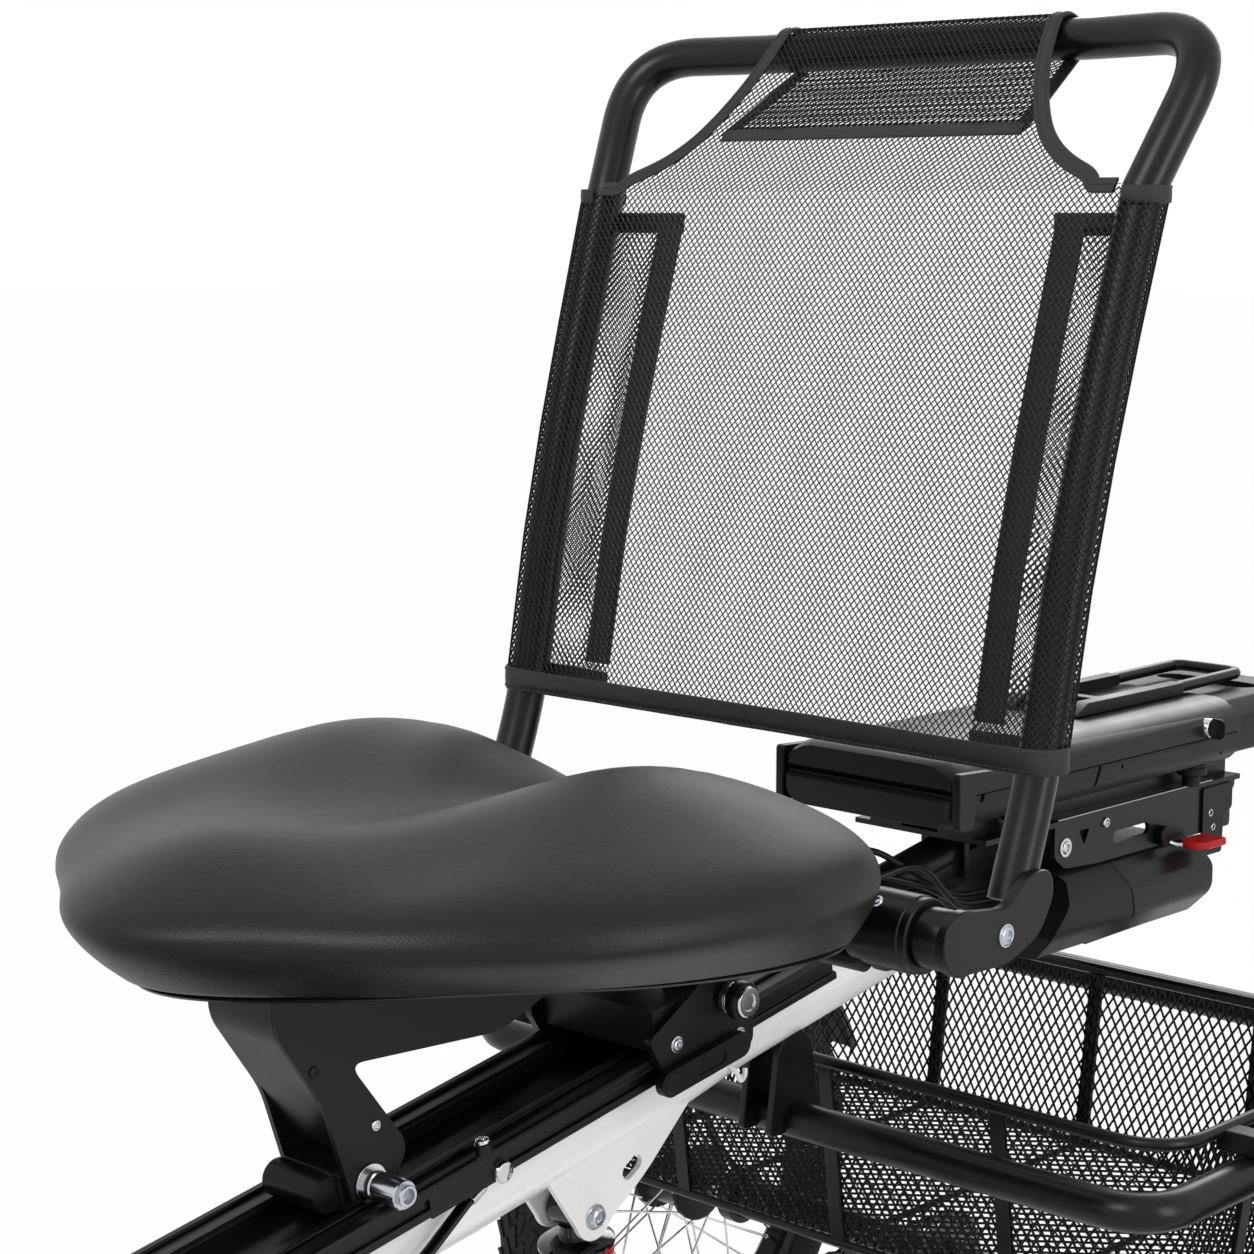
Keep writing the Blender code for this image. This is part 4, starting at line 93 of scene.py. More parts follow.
# %% [markdown]
# Materials are small node trees. One function turns a written sRGB colour to Blender's linear
# values, and one adds a node with its settings and its links, so a tree reads from top to bottom.

# %% Colour and node helpers
MM = 0.001


def linear(code):
    """Turn an sRGB hex colour into the linear colour that Blender's sockets take."""
    parts = [int(code[i:i + 2], 16) / 255.0 for i in (1, 3, 5)]
    return tuple(p / 12.92 if p <= 0.04045 else ((p + 0.055) / 1.055) ** 2.4 for p in parts) + (1.0,)


def add(tree, kind, inputs=None, **settings):
    """Add one node to a tree, give it its settings, and set or link each named input."""
    made = tree.nodes.new(kind)
    for name, value in settings.items():
        setattr(made, name, value)
    for name, value in (inputs or {}).items():
        if isinstance(value, bpy.types.NodeSocket):
            tree.links.new(value, made.inputs[name])
        else:
            made.inputs[name].default_value = value
    return made


def empty_material(name):
    """Start a material whose tree holds nothing yet."""
    made = bpy.data.materials.new(name)
    made.use_nodes = True
    made.node_tree.nodes.clear()
    return made, made.node_tree


def close_finish(tree, mask, shade, worn, rough, height, lift_mm, **extra):
    """End a finish: a mask mixes two colours, and a height lifts the surface by lift_mm at most."""
    colour = add(tree, "ShaderNodeMix", {0: mask, 6: linear(shade), 7: linear(worn)}, data_type="RGBA")
    bump = add(tree, "ShaderNodeBump", {"Height": height, "Distance": lift_mm * MM})
    shader = add(tree, "ShaderNodeBsdfPrincipled",
        {"Base Color": colour.outputs[2], "Roughness": rough, "Normal": bump.outputs[0], **extra})
    add(tree, "ShaderNodeOutputMaterial", {"Surface": shader.outputs[0]})


# %% [markdown]
# Most finishes share one plan: a slow noise moves the colour and the roughness a little from place
# to place, as handling and dust do, and a fine noise lifts the surface by hundredths of a
# millimetre. Sizes are given in millimetres. The finest ones are drawn at about 1 mm, a little
# coarser than the real ones, because a finer grain would not show at this distance.

# %% The shared surface plan
PATCH_SIZE = 0.045


def surface(name, shade, worn, rough, metal=0.0, grain_mm=1.2, lift_mm=0.02, **extra):
    """Make a finish from two colours, a range of roughness and a fine grain with its height."""
    made, tree = empty_material(name)
    at = add(tree, "ShaderNodeTexCoord").outputs["Object"]
    patches = add(tree, "ShaderNodeTexNoise", {"Vector": at, "Scale": 1.0 / PATCH_SIZE, "Detail": 4.0})
    wear = add(tree, "ShaderNodeMapRange", {"Value": patches.outputs[0], "From Min": 0.3, "From Max": 0.7,
                                            "To Min": rough[0], "To Max": rough[1]})
    grain = add(tree, "ShaderNodeTexNoise", {"Vector": at, "Scale": 1.0 / (grain_mm * MM), "Detail": 2.0})
    close_finish(tree, patches.outputs[0], shade, worn, wear.outputs[0], grain.outputs[0], lift_mm,
                 **{"Metallic": metal, "Specular IOR Level": 0.2, **extra})
    return made


# %% [markdown]
# The frame's white tube is stove enamel: a smooth glossy coat with a very faint orange peel. The
# black tubes and sheet parts are satin powder coat, whose orange peel is deeper. Anodised rails are
# dyed aluminium: metal under a thin dark skin, so their highlights stay sharp and grey.

# %% Painted and anodised metal
WHITE_ENAMEL = surface("white stove enamel", "#f3f3f1", "#eff0f0", (0.24, 0.28), grain_mm=2.4,
    lift_mm=0.002, **{"Specular IOR Level": 0.5, "Coat Weight": 0.5, "Coat Roughness": 0.06})
BLACK_COAT = surface("satin black powder coat", "#0c0c0d", "#121214", (0.27, 0.37), grain_mm=1.6,
                     lift_mm=0.010, **{"Specular IOR Level": 0.24})
GLOSS_BLACK = surface("gloss black enamel", "#08080a", "#0d0d0f", (0.10, 0.16), grain_mm=2.2,
                      lift_mm=0.006, **{"Coat Weight": 0.5, "Coat Roughness": 0.05})
BLACK_ANODISED = surface("black anodised aluminium", "#141416", "#1b1b1e", (0.24, 0.34), metal=0.55,
                         grain_mm=0.9, lift_mm=0.004)
CAST_BLACK = surface("painted black casting", "#101012", "#18181b", (0.34, 0.46), grain_mm=1.1,
                     lift_mm=0.028)
print("painted finishes:", len(bpy.data.materials))

# %% [markdown]
# Fasteners are bright zinc plate or polished stainless steel, both true metals with a clear
# highlight. Spun and brushed parts get a noise stretched along one axis, which draws the fine
# parallel scratches of the brush.

# %% Bright metal
BRIGHT_ZINC = surface("bright zinc plate", "#c9ccd1", "#b4b8bf", (0.16, 0.26), metal=1.0, grain_mm=1.4,
                      lift_mm=0.005)
POLISHED_STEEL = surface("polished stainless steel", "#d4d4d2", "#c4c5c6", (0.08, 0.18), metal=1.0,
                         grain_mm=1.8, lift_mm=0.003)
CHAIN_STEEL = surface("oiled chain steel", "#6d6a66", "#4b4947", (0.28, 0.45), metal=1.0, grain_mm=0.8,
                      lift_mm=0.01)


def brushed(name, shade, worn, along, metal=1.0):
    """Make a metal that was brushed along one axis: the scratches are 30 times longer than wide."""
    made, tree = empty_material(name)
    at = add(tree, "ShaderNodeTexCoord").outputs["Object"]
    fine, coarse = 1.0 / (0.5 * MM), 1.0 / (15.0 * MM)
    stretch = [coarse if axis == along else fine for axis in range(3)]
    spread = add(tree, "ShaderNodeMapping", {"Vector": at, "Scale": stretch})
    lines = add(tree, "ShaderNodeTexNoise", {"Vector": spread.outputs[0], "Scale": 1.0, "Detail": 3.0})
    wear = add(tree, "ShaderNodeMapRange", {"Value": lines.outputs[0], "To Min": 0.22, "To Max": 0.46})
    close_finish(tree, lines.outputs[0], shade, worn, wear.outputs[0], lines.outputs[0], 0.006,
        Metallic=metal)
    return made


BRUSHED_ALUMINIUM = brushed("brushed aluminium", "#b9bcc0", "#9ea2a7", along=0)
DRAWN_RAIL = brushed("drawn black anodised rail", "#131315", "#1d1d20", along=1, metal=0.6)
print("metals ready")

# %% [markdown]
# Housings are injection-moulded ABS with a fine spark-eroded texture from the mould, which spreads
# the highlight. Rubber is duller still. The red lever and the lamps are smooth moulded plastic.

# %% Plastic and rubber
ABS_BLACK = surface("textured black ABS", "#161618", "#1b1b1e", (0.42, 0.52), grain_mm=0.9, lift_mm=0.03)
ABS_SMOOTH = surface("smooth black ABS", "#121214", "#19191c", (0.26, 0.36), grain_mm=1.4, lift_mm=0.008)
GUARD_PLASTIC = surface("matt polypropylene", "#151516", "#1c1c1d", (0.45, 0.58), grain_mm=1.0,
                        lift_mm=0.03)
TYRE_RUBBER = surface("tyre rubber", "#1a1a1a", "#262524", (0.62, 0.80), grain_mm=1.3, lift_mm=0.06)
GRIP_RUBBER = surface("soft grip rubber", "#151515", "#1d1d1d", (0.55, 0.70), grain_mm=1.0, lift_mm=0.05)
CABLE_SKIN = surface("black cable sheath", "#0b0b0c", "#111112", (0.30, 0.42), grain_mm=1.5, lift_mm=0.01)
RED_PLASTIC = surface("red acetal", "#c21a17", "#a81512", (0.30, 0.42), grain_mm=1.5, lift_mm=0.012)
RED_LENS = surface("red lamp lens", "#7d0a0c", "#6c080a", (0.08, 0.14), grain_mm=2.0, lift_mm=0.004,
                   **{"Coat Weight": 0.8, "Coat Roughness": 0.04})
CLEAR_LENS = surface("clear lamp lens", "#c9ced4", "#b9bfc6", (0.05, 0.10), grain_mm=2.5, lift_mm=0.006,
                     **{"Coat Weight": 1.0, "Coat Roughness": 0.03})
GLASS_BLACK = surface("display glass", "#060709", "#0a0b0e", (0.05, 0.09), grain_mm=3.0, lift_mm=0.001,
                      **{"Coat Weight": 0.8, "Coat Roughness": 0.03})
print("plastics ready")

# %% [markdown]
# The saddle's skin is imitation leather: a PVC film pressed with a pore pattern about 1 mm wide. Cells
# from a Voronoi texture give the pores, a second noise breaks them up, and the roughness falls a
# little on the cells' tops, where the film is polished by use.

# %% Imitation leather
PORE = 1.15 * MM


def leather():
    made, tree = empty_material("black imitation leather")
    at = add(tree, "ShaderNodeTexCoord").outputs["Object"]
    bend = add(tree, "ShaderNodeTexNoise", {"Vector": at, "Scale": 1.0 / (6.0 * MM), "Detail": 1.0})
    shift = add(tree, "ShaderNodeVectorMath", {0: bend.outputs[1], 1: (0.0012, 0.0012, 0.0012)},
                operation="MULTIPLY")
    moved = add(tree, "ShaderNodeVectorMath", {0: at, 1: shift.outputs[0]}, operation="ADD")
    pores = add(tree, "ShaderNodeTexVoronoi", {"Vector": moved.outputs[0], "Scale": 1.0 / PORE},
                feature="F1")
    folds = add(tree, "ShaderNodeTexNoise", {"Vector": at, "Scale": 1.0 / (0.7 * MM), "Detail": 3.0})
    height = add(tree, "ShaderNodeMath", {0: pores.outputs["Distance"], 1: folds.outputs[0]},
                 operation="ADD")
    patches = add(tree, "ShaderNodeTexNoise", {"Vector": at, "Scale": 1.0 / (50.0 * MM), "Detail": 3.0})
    wear = add(tree, "ShaderNodeMapRange",
        {"Value": pores.outputs["Distance"], "From Max": 0.8, "To Min": 0.44, "To Max": 0.36})
    close_finish(tree, patches.outputs[0], "#111112", "#161618", wear.outputs[0], height.outputs[0], 0.11,
                 **{"Specular IOR Level": 0.24})
    return made


LEATHER = leather()

# %% [markdown]
# The backrest's cover is knitted polyester: thick open mesh in front, dense tape along its edges. The
# yarn gets a twist of fine slanted ridges, and the tape a plain weave of crossed waves at 1 mm.

# %% Yarn and woven tape
def yarn(name, shade, worn, ridge_mm):
    made, tree = empty_material(name)
    at = add(tree, "ShaderNodeTexCoord").outputs["Object"]
    turned = add(tree, "ShaderNodeMapping", {"Vector": at, "Rotation": (0.6, 0.4, 0.7)})
    ridges = add(tree, "ShaderNodeTexWave",
        {"Vector": turned.outputs[0], "Scale": 0.314 / (ridge_mm * MM), "Distortion": 1.5, "Detail": 2.0})
    close_finish(tree, ridges.outputs[1], shade, worn, 0.72, ridges.outputs[1], 0.06,
                 **{"Sheen Weight": 0.12, "Sheen Roughness": 0.4, "Specular IOR Level": 0.35})
    return made


def woven(name, shade, worn, thread_mm):
    made, tree = empty_material(name)
    at = add(tree, "ShaderNodeTexCoord").outputs["Object"]
    spin = 0.314 / (thread_mm * MM)
    warp = add(tree, "ShaderNodeTexWave", {"Vector": at, "Scale": spin}, bands_direction="Z")
    turned = add(tree, "ShaderNodeMapping", {"Vector": at, "Rotation": (0.0, 0.0, 0.785)})
    weft = add(tree, "ShaderNodeTexWave", {"Vector": turned.outputs[0], "Scale": spin},
               bands_direction="X")
    cloth = add(tree, "ShaderNodeMath", {0: warp.outputs[1], 1: weft.outputs[1]}, operation="MAXIMUM")
    fuzz = add(tree, "ShaderNodeTexNoise", {"Vector": at, "Scale": 1.0 / (9.0 * MM), "Detail": 4.0})
    close_finish(tree, fuzz.outputs[0], shade, worn, 0.66, cloth.outputs[0], 0.10,
                 **{"Sheen Weight": 0.10, "Sheen Roughness": 0.35})
    return made


NET_YARN = yarn("black polyester mesh yarn", "#0b0b0c", "#161617", 0.9)
BINDING = woven("black woven binding tape", "#0d0d0f", "#16161a", 0.9)
SEWING = yarn("grey sewing thread", "#2c2c2e", "#3a3a3d", 0.5)
NET_WIRE = surface("coated basket wire", "#0b0b0c", "#121213", (0.36, 0.48), grain_mm=1.0, lift_mm=0.02)
print("cloth ready:", len(bpy.data.materials), "materials")

# %% [markdown]
# The studio is plain: a soft key light above and left of the camera, a weaker one from the right, one
# behind, and a white world. The camera, glossy and transmission rays see the world at strength 1,
# which is white, while the light it casts is lower, so dark parts keep their depth.

# %% Light and floor
WORLD_LIGHT = 0.50
WORLD_SEEN = 1.0
FLOOR_WHITE = 0.97
FLOOR_HALF = 30.0


def seen_rays(tree):
    """Return a socket that is 1 for camera, glossy and transmission rays, and 0 for the rest."""
    path = add(tree, "ShaderNodeLightPath")
    seen = path.outputs["Is Camera Ray"]
    for kind in ("Is Glossy Ray", "Is Transmission Ray"):
        seen = add(tree, "ShaderNodeMath", {0: seen, 1: path.outputs[kind]}, operation="MAXIMUM").outputs[0]
    return seen


def studio_world():
    world = bpy.data.worlds.new("studio")
    bpy.context.scene.world = world
    world.use_nodes = True
    tree = world.node_tree
    tree.nodes.clear()
    strength = add(tree, "ShaderNodeMapRange",
        {"Value": seen_rays(tree), "To Min": WORLD_LIGHT, "To Max": WORLD_SEEN})
    light = add(tree, "ShaderNodeBackground",
        {"Color": (1.0, 1.0, 1.0, 1.0), "Strength": strength.outputs[0]})
    add(tree, "ShaderNodeOutputWorld", {"Surface": light.outputs[0]})


def studio_floor():
    """A matt floor that shows white to the camera and keeps the object's soft shadow."""
    made, tree = empty_material("pale studio floor")
    share = add(tree, "ShaderNodeMath", {0: seen_rays(tree), 1: FLOOR_WHITE}, operation="MULTIPLY")
    matt = add(tree, "ShaderNodeBsdfDiffuse", {"Color": (0.86, 0.86, 0.86, 1.0)})
    glow = add(tree, "ShaderNodeEmission", {"Color": (1.0, 1.0, 1.0, 1.0), "Strength": 1.0})
    both = add(tree, "ShaderNodeMixShader", {0: share.outputs[0], 1: matt.outputs[0], 2: glow.outputs[0]})
    add(tree, "ShaderNodeOutputMaterial", {"Surface": both.outputs[0]})
    corners = [(x * FLOOR_HALF, y * FLOOR_HALF, 0.0) for x, y in ((-1, -1), (1, -1), (1, 1), (-1, 1))]
    mesh = bpy.data.meshes.new("studio_floor")
    mesh.from_pydata(corners, [], [(0, 1, 2, 3)])
    mesh.materials.append(made)
    floor = bpy.data.objects.new("studio_floor", mesh)
    bpy.context.scene.collection.objects.link(floor)


def softbox(name, place, size, power, aim=(0.0, 0.25, 0.65)):
    """A square area light that faces the seat."""
    data = bpy.data.lights.new(name, "AREA")
    data.shape = "RECTANGLE"
    data.size, data.size_y = size
    data.energy = power
    lamp = bpy.data.objects.new(name, data)
    way = Vector(aim) - Vector(place)
    lamp.matrix_world = Matrix.Translation(place) @ way.to_track_quat("-Z", "Y").to_matrix().to_4x4()
    bpy.context.scene.collection.objects.link(lamp)


studio_world()
studio_floor()
softbox("key", (0.2, -2.6, 2.9), (1.6, 1.6), 64.0)
softbox("fill", (3.2, 0.4, 1.4), (0.9, 2.2), 40.0)
softbox("rim", (-1.2, 3.2, 2.2), (1.8, 1.2), 34.0)
bpy.context.scene.view_settings.view_transform = "Standard"
print("studio ready")

# %% [markdown]
# A few shape builders do most of the work. A tube is swept along a path with its frame carried from point to
# point, so it never twists. A turned part is a profile spun round an axis, a plate is an outline given
# thickness, and every finished piece gets its bevel, its smooth shading and the body it rides on in one
# place.

# %% Shape builders
SIDES = ((1, "left"), (-1, "right"))


def rounded(corners, bend, steps=8, cyclic=False):
    """Return a path through corners whose bends are arcs that start bend away from each corner."""
    corners = [Vector(c) for c in corners]
    count = len(corners)
    path = []
    for index, corner in enumerate(corners):
        if not cyclic and index in (0, count - 1):
            path.append(corner)
            continue
        before, after = corners[index - 1], corners[(index + 1) % count]
        reach = min(bend, (before - corner).length * 0.49, (after - corner).length * 0.49)
        start = corner + (before - corner).normalized() * reach
        end = corner + (after - corner).normalized() * reach
        for step in range(steps + 1):
            t = step / steps
            path.append(start * (1 - t) ** 2 + corner * (2 * t * (1 - t)) + end * t ** 2)
    return path


def across(way):
    """Return two unit vectors square to a direction."""
    way = Vector(way).normalized()
    hint = Vector((1, 0, 0)) if abs(way.x) < 0.9 else Vector((0, 1, 0))
    side = way.cross(hint).normalized()
    return side, way.cross(side).normalized()


def bridge(bm, low, high):
    """Join two rings of points with one row of faces."""
    for step in range(len(low)):
        after = (step + 1) % len(low)
        bm.faces.new((low[step], low[after], high[after], high[step]))


def sweep(bm, path, radius, sides=20, cyclic=False, flat=1.0, hint=None):
    """Sweep a round or oval section along a path. The radius may change from point to point."""
    path = [Vector(p) for p in path]
    count = len(path)
    radii = radius if isinstance(radius, (list, tuple)) else [radius] * count
    rings = []
    side = None
    for index, point in enumerate(path):
        before = path[index - 1] if index or cyclic else point
        after = path[(index + 1) % count] if index < count - 1 or cyclic else point
        way = (after - before).normalized()
        if side is None:
            side = Vector(hint) if hint else across(way)[0]
        side = (side - way * side.dot(way)).normalized()
        up = way.cross(side)
        ring = []
        for step in range(sides):
            angle = 2 * math.pi * step / sides
            ring.append(bm.verts.new(point + side * (radii[index] * math.cos(angle))
                                     + up * (radii[index] * flat * math.sin(angle))))
        rings.append(ring)
    for low, high in list(zip(rings, rings[1:])) + ([(rings[-1], rings[0])] if cyclic else []):
        bridge(bm, low, high)
    if not cyclic:
        bm.faces.new(list(reversed(rings[0])))
        bm.faces.new(rings[-1])


def spun_rings(bm, profile, start, way, steps):
    """Make one ring of points per (distance along, radius) round an axis, or one point at radius 0."""
    way = Vector(way).normalized()
    side, up = across(way)
    turns = [side * math.cos(2 * math.pi * s / steps) + up * math.sin(2 * math.pi * s / steps)
             for s in range(steps)]
    rings = []
    for along, radius in profile:
        centre = Vector(start) + way * along
        spots = [centre + turn * radius for turn in turns] if radius > 0.0 else [centre]
        rings.append([bm.verts.new(spot) for spot in spots])
    return rings


def turned(bm, profile, start, way, steps=32):
    """Spin a profile of (distance along, radius) round an axis. Radius 0 closes it at a pole."""
    rings = spun_rings(bm, profile, start, way, steps)
    for low, high in zip(rings, rings[1:]):
        if len(low) > 1 and len(high) > 1:
            bridge(bm, low, high)
            continue
        for step in range(steps):
            after = (step + 1) % steps
            if len(high) > 1:
                bm.faces.new((low[0], high[after], high[step]))
            elif len(low) > 1:
                bm.faces.new((low[step], low[after], high[0]))
    for ring in (rings[0], rings[-1]):
        if len(ring) > 1:
            bm.faces.new(ring)


def hollow(bm, profile, start, way, steps=32):
    """Spin a closed profile, such as a ring's or a tyre's, round an axis."""
    rings = spun_rings(bm, profile, start, way, steps)
    for low, high in zip(rings, rings[1:] + rings[:1]):
        bridge(bm, low, high)


PLANES = {"X": lambda a, b, d: (d, a, b), "Y": lambda a, b, d: (a, d, b), "Z": lambda a, b, d: (a, b, d)}


def plate(bm, outline, low, high, along="X", place=None):
    """Give an outline thickness along one axis."""
    put = PLANES[along]
    sides = []
    for depth in (low, high):
        ring = [Vector(put(a, b, depth)) for a, b in outline]
        sides.append([bm.verts.new(place @ p if place else p) for p in ring])
    bridge(bm, *sides)
    bm.faces.new(list(reversed(sides[0])))
    bm.faces.new(sides[1])


def block(bm, low, high, place=None):
    """A box between two corners, to be bevelled later."""
    plate(bm, [(low[0], low[1]), (high[0], low[1]), (high[0], high[1]), (low[0], high[1])],
          low[2], high[2], "Z", place)


def stadium(first, last, radius, steps=10):
    """Return the outline of two half circles joined by straight edges."""
    first, last = Vector(first).to_2d(), Vector(last).to_2d()
    way = (last - first).normalized()
    base = math.atan2(way.y, way.x)
    ring = []
    for centre, begin in ((last, base - math.pi / 2), (first, base + math.pi / 2)):
        for step in range(steps + 1):
            angle = begin + math.pi * step / steps
            ring.append((centre.x + radius * math.cos(angle), centre.y + radius * math.sin(angle)))
    return ring


def soften(outline, bend, steps=4):
    """Round the corners of an outline."""
    path = rounded([(a, b, 0.0) for a, b in outline], bend, steps, cyclic=True)
    return [(p.x, p.y) for p in path]


MERGE_NEAR = 0.002 * MM
MERGE_CAD = 0.02 * MM


def as_object(bm, name):
    """Turn a bmesh into an object, with its faces pointing outwards."""
    bmesh.ops.remove_doubles(bm, verts=bm.verts, dist=MERGE_NEAR)
    bmesh.ops.recalc_face_normals(bm, faces=bm.faces)
    mesh = bpy.data.meshes.new(name)
    bm.to_mesh(mesh)
    bm.free()
    made = bpy.data.objects.new(name, mesh)
    bpy.context.scene.collection.objects.link(made)
    return made


def settle(made):
    """Apply every modifier of an object to its mesh."""
    bpy.context.view_layer.update()
    mesh = bpy.data.meshes.new_from_object(made.evaluated_get(bpy.context.evaluated_depsgraph_get()))
    made.modifiers.clear()
    made.data = mesh
    return made


def carve(made, *cutters):
    """Cut other objects out of one, then remove them."""
    for cutter in cutters:
        step = made.modifiers.new("cut", "BOOLEAN")
        step.operation = "DIFFERENCE"
        step.solver = "EXACT"
        step.object = cutter
    settle(made)
    for cutter in cutters:
        bpy.data.objects.remove(cutter)
    return made


def done(made, finish, body, slot=None, stands_for=(), bevel=0.0, smooth=38.0, segments=2):
    """Finish a piece: its bevel, smooth shading, material, body and the CAD nodes it replaces. The slot is
    not used.
    """
    mesh = made.data
    mesh.materials.clear()
    for each in finish if isinstance(finish, (list, tuple)) else [finish]:
        mesh.materials.append(each)
    if bevel:
        edge = made.modifiers.new("edges", "BEVEL")
        edge.width = bevel
        edge.segments = segments
        edge.limit_method = "ANGLE"
        edge.angle_limit = math.radians(smooth)
        edge.harden_normals = True
        edge.use_clamp_overlap = True
    mesh.shade_smooth()
    mesh.set_sharp_from_angle(angle=math.radians(smooth))
    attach(made, body)
    if stands_for:
        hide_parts(*([stands_for] if isinstance(stands_for, str) else stands_for))
    return made


def piece(name, draw, *looks, **edges):
    """Draw one piece in a new bmesh and finish it as done() does."""
    bm = bmesh.new()
    draw(bm)
    return done(as_object(bm, name), *looks, **edges)


def dressed(node, finish, body, slot, bevel=0.0008, smooth=32.0):
    """Copy a CAD node's mesh, merge its loose triangles and give it bevelled edges in its place."""
    bm = bmesh.new()
    bm.from_mesh(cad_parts[node].data)
    bmesh.ops.remove_doubles(bm, verts=bm.verts, dist=MERGE_CAD)
    bmesh.ops.dissolve_limit(bm, angle_limit=math.radians(1.0), verts=bm.verts, edges=bm.edges)
    made = as_object(bm, node + "_dressed")
    return done(made, finish, body, slot, node, bevel, smooth)


print("shape builders ready")

# %% [markdown]
# The saddle is one block of moulded foam with a pressed leather-like skin pulled over a plastic pan.
# Moulded foam keeps its shape, so no cloth simulation is needed: its form is a rule. A table gives
# the reach from the middle in each direction, and a height function adds two seat-bone lobes, a
# valley between them, hollows for the thighs and a soft pommel. Rings of points follow both.

# %% Saddle form
SADDLE_BASE = 0.6053
SADDLE_Y = 0.025
SADDLE_MID = 0.040
SKIN_LOW = 0.0042
PLAN = [(-90, 0.252, 0.84), (-63, 0.226, 0.79), (-40, 0.232, 0.70), (-20, 0.243, 0.70), (0, 0.252, 0.79),
        (15, 0.263, 0.86), (30, 0.270, 0.92), (45, 0.254, 0.95), (62, 0.200, 0.96), (90, 0.166, 0.95)]


def plan_at(angle, column):
    """Read the plan's table at an angle, with a smooth curve through its rows."""
    rows = [(-180 - PLAN[1][0], *PLAN[1][1:])] + PLAN + [(180 - PLAN[-2][0], *PLAN[-2][1:])]
    for before, low, high, after in zip(rows, rows[1:], rows[2:], rows[3:]):
        if angle <= high[0] or high is PLAN[-1]:
            t = (angle - low[0]) / (high[0] - low[0])
            rise = (high[column] - before[column]) / (high[0] - before[0]) * (high[0] - low[0])
            fall = (after[column] - low[column]) / (after[0] - low[0]) * (high[0] - low[0])
            return (low[column] * (2 * t ** 3 - 3 * t ** 2 + 1) + rise * (t ** 3 - 2 * t ** 2 + t)
                    + high[column] * (3 * t ** 2 - 2 * t ** 3) + fall * (t ** 3 - t ** 2))
    return PLAN[-1][column]


def bell(x, y, wide, long):
    return math.exp(-(x / wide) ** 2 - (y / long) ** 2)


def saddle_top(x, y):
    """Return how high the top surface stands over the saddle's base."""
    lobes = 0.021 * bell(abs(x) - 0.125, y - 0.070, 0.075, 0.110)
    valley = 0.016 * math.exp(-(x / 0.060) ** 2) / (1.0 + math.exp(-(y + 0.070) / 0.035))
    nose = 0.020 * max(0.0, -(y + 0.080) / 0.150) ** 2
    pommel = 0.009 * bell(x, y + 0.160, 0.055, 0.060)
    thighs = 0.009 * bell(abs(x) - 0.120, y + 0.100, 0.050, 0.060)
    return 0.088 + lobes - valley - nose + pommel - thighs


SADDLE_ROUND = 200


def saddle_ring(bm, reach_of, height_of, grow=0.0):
    ring = []
    for step in range(SADDLE_ROUND):
        angle = -90.0 + 360.0 * step / SADDLE_ROUND
        folded = angle if angle <= 90.0 else 180.0 - angle
        far = plan_at(folded, 1) * reach_of(plan_at(folded, 2)) + grow
        x = far * math.cos(math.radians(angle))
        y = SADDLE_Y + far * math.sin(math.radians(angle))
        ring.append(bm.verts.new((x, y, SADDLE_BASE + height_of(x, y))))
    return ring


def skin_rings(bm, rings):
    for low, high in zip(rings, rings[1:]):
        bridge(bm, low, high)


# %% Saddle skin, edge roll and pan
def skirt_share(height):
    """How far the skirt has swelled from the underside's outline to the full reach."""
    return 1.0 - (1.0 - height / SADDLE_MID) ** 1.5


def saddle_skin():
    bm = bmesh.new()
    rings = [saddle_ring(bm, lambda share: share * 0.90, lambda x, y: SKIN_LOW),
             saddle_ring(bm, lambda share: share, lambda x, y: SKIN_LOW)]
    for step in range(1, 15):
        height = SKIN_LOW + (SADDLE_MID - SKIN_LOW) * step / 15
        blend = skirt_share(height)
        rings.append(saddle_ring(bm, lambda share, b=blend: share + (1 - share) * b,
                                 lambda x, y, h=height: h))
    crowns = [(1.0 - (step / 22 * 0.92) ** (1 / 0.42)) ** (1 / 3) for step in range(23)]
    crowns += [crowns[-1] * (1 - step / 14) for step in range(1, 14)]
    for crown in crowns:
        rise = (1.0 - crown ** 3) ** 0.42
        rings.append(saddle_ring(bm, lambda share, c=crown: c,
                                 lambda x, y, r=rise: SADDLE_MID + (saddle_top(x, y) - SADDLE_MID) * r))
    skin_rings(bm, rings)
    bm.faces.new(list(reversed(rings[0])))
    peak = bm.verts.new((0.0, SADDLE_Y, SADDLE_BASE + saddle_top(0.0, SADDLE_Y)))
    for step in range(SADDLE_ROUND):
        bm.faces.new((rings[-1][step], rings[-1][(step + 1) % SADDLE_ROUND], peak))
    made = as_object(bm, "saddle_skin")
    done(made, LEATHER, "seat", "hide", "saddle", smooth=60.0)
    return made


def saddle_pan():
    bm = bmesh.new()
    rings = [saddle_ring(bm, lambda share: share, lambda x, y, h=h: h, grow=g)
        for g, h in ((-0.020, 0.0), (-0.004, 0.0), (0.0008, 0.0008), (0.0022, 0.0024), (0.0010, 0.0040),
            (-0.004, 0.0046))]
    skin_rings(bm, rings)
    bm.faces.new(list(reversed(rings[0])))
    bm.faces.new(rings[-1])
    return done(as_object(bm, "saddle_pan"), ABS_SMOOTH, "seat", "matt_plastic", smooth=60.0)


skin = saddle_skin()
saddle_pan()
print("saddle:", len(skin.data.polygons), "faces")

# %% [markdown]
# The backrest is one bent tube of 28 mm, powder coated. Its legs lean back in a soft curve and turn
# into the top bar. A sheet lug is welded to each foot and turns on a round drum at the pivot. The
# tube is swept along a smooth path, and the plates are outlines given thickness with a small bevel.

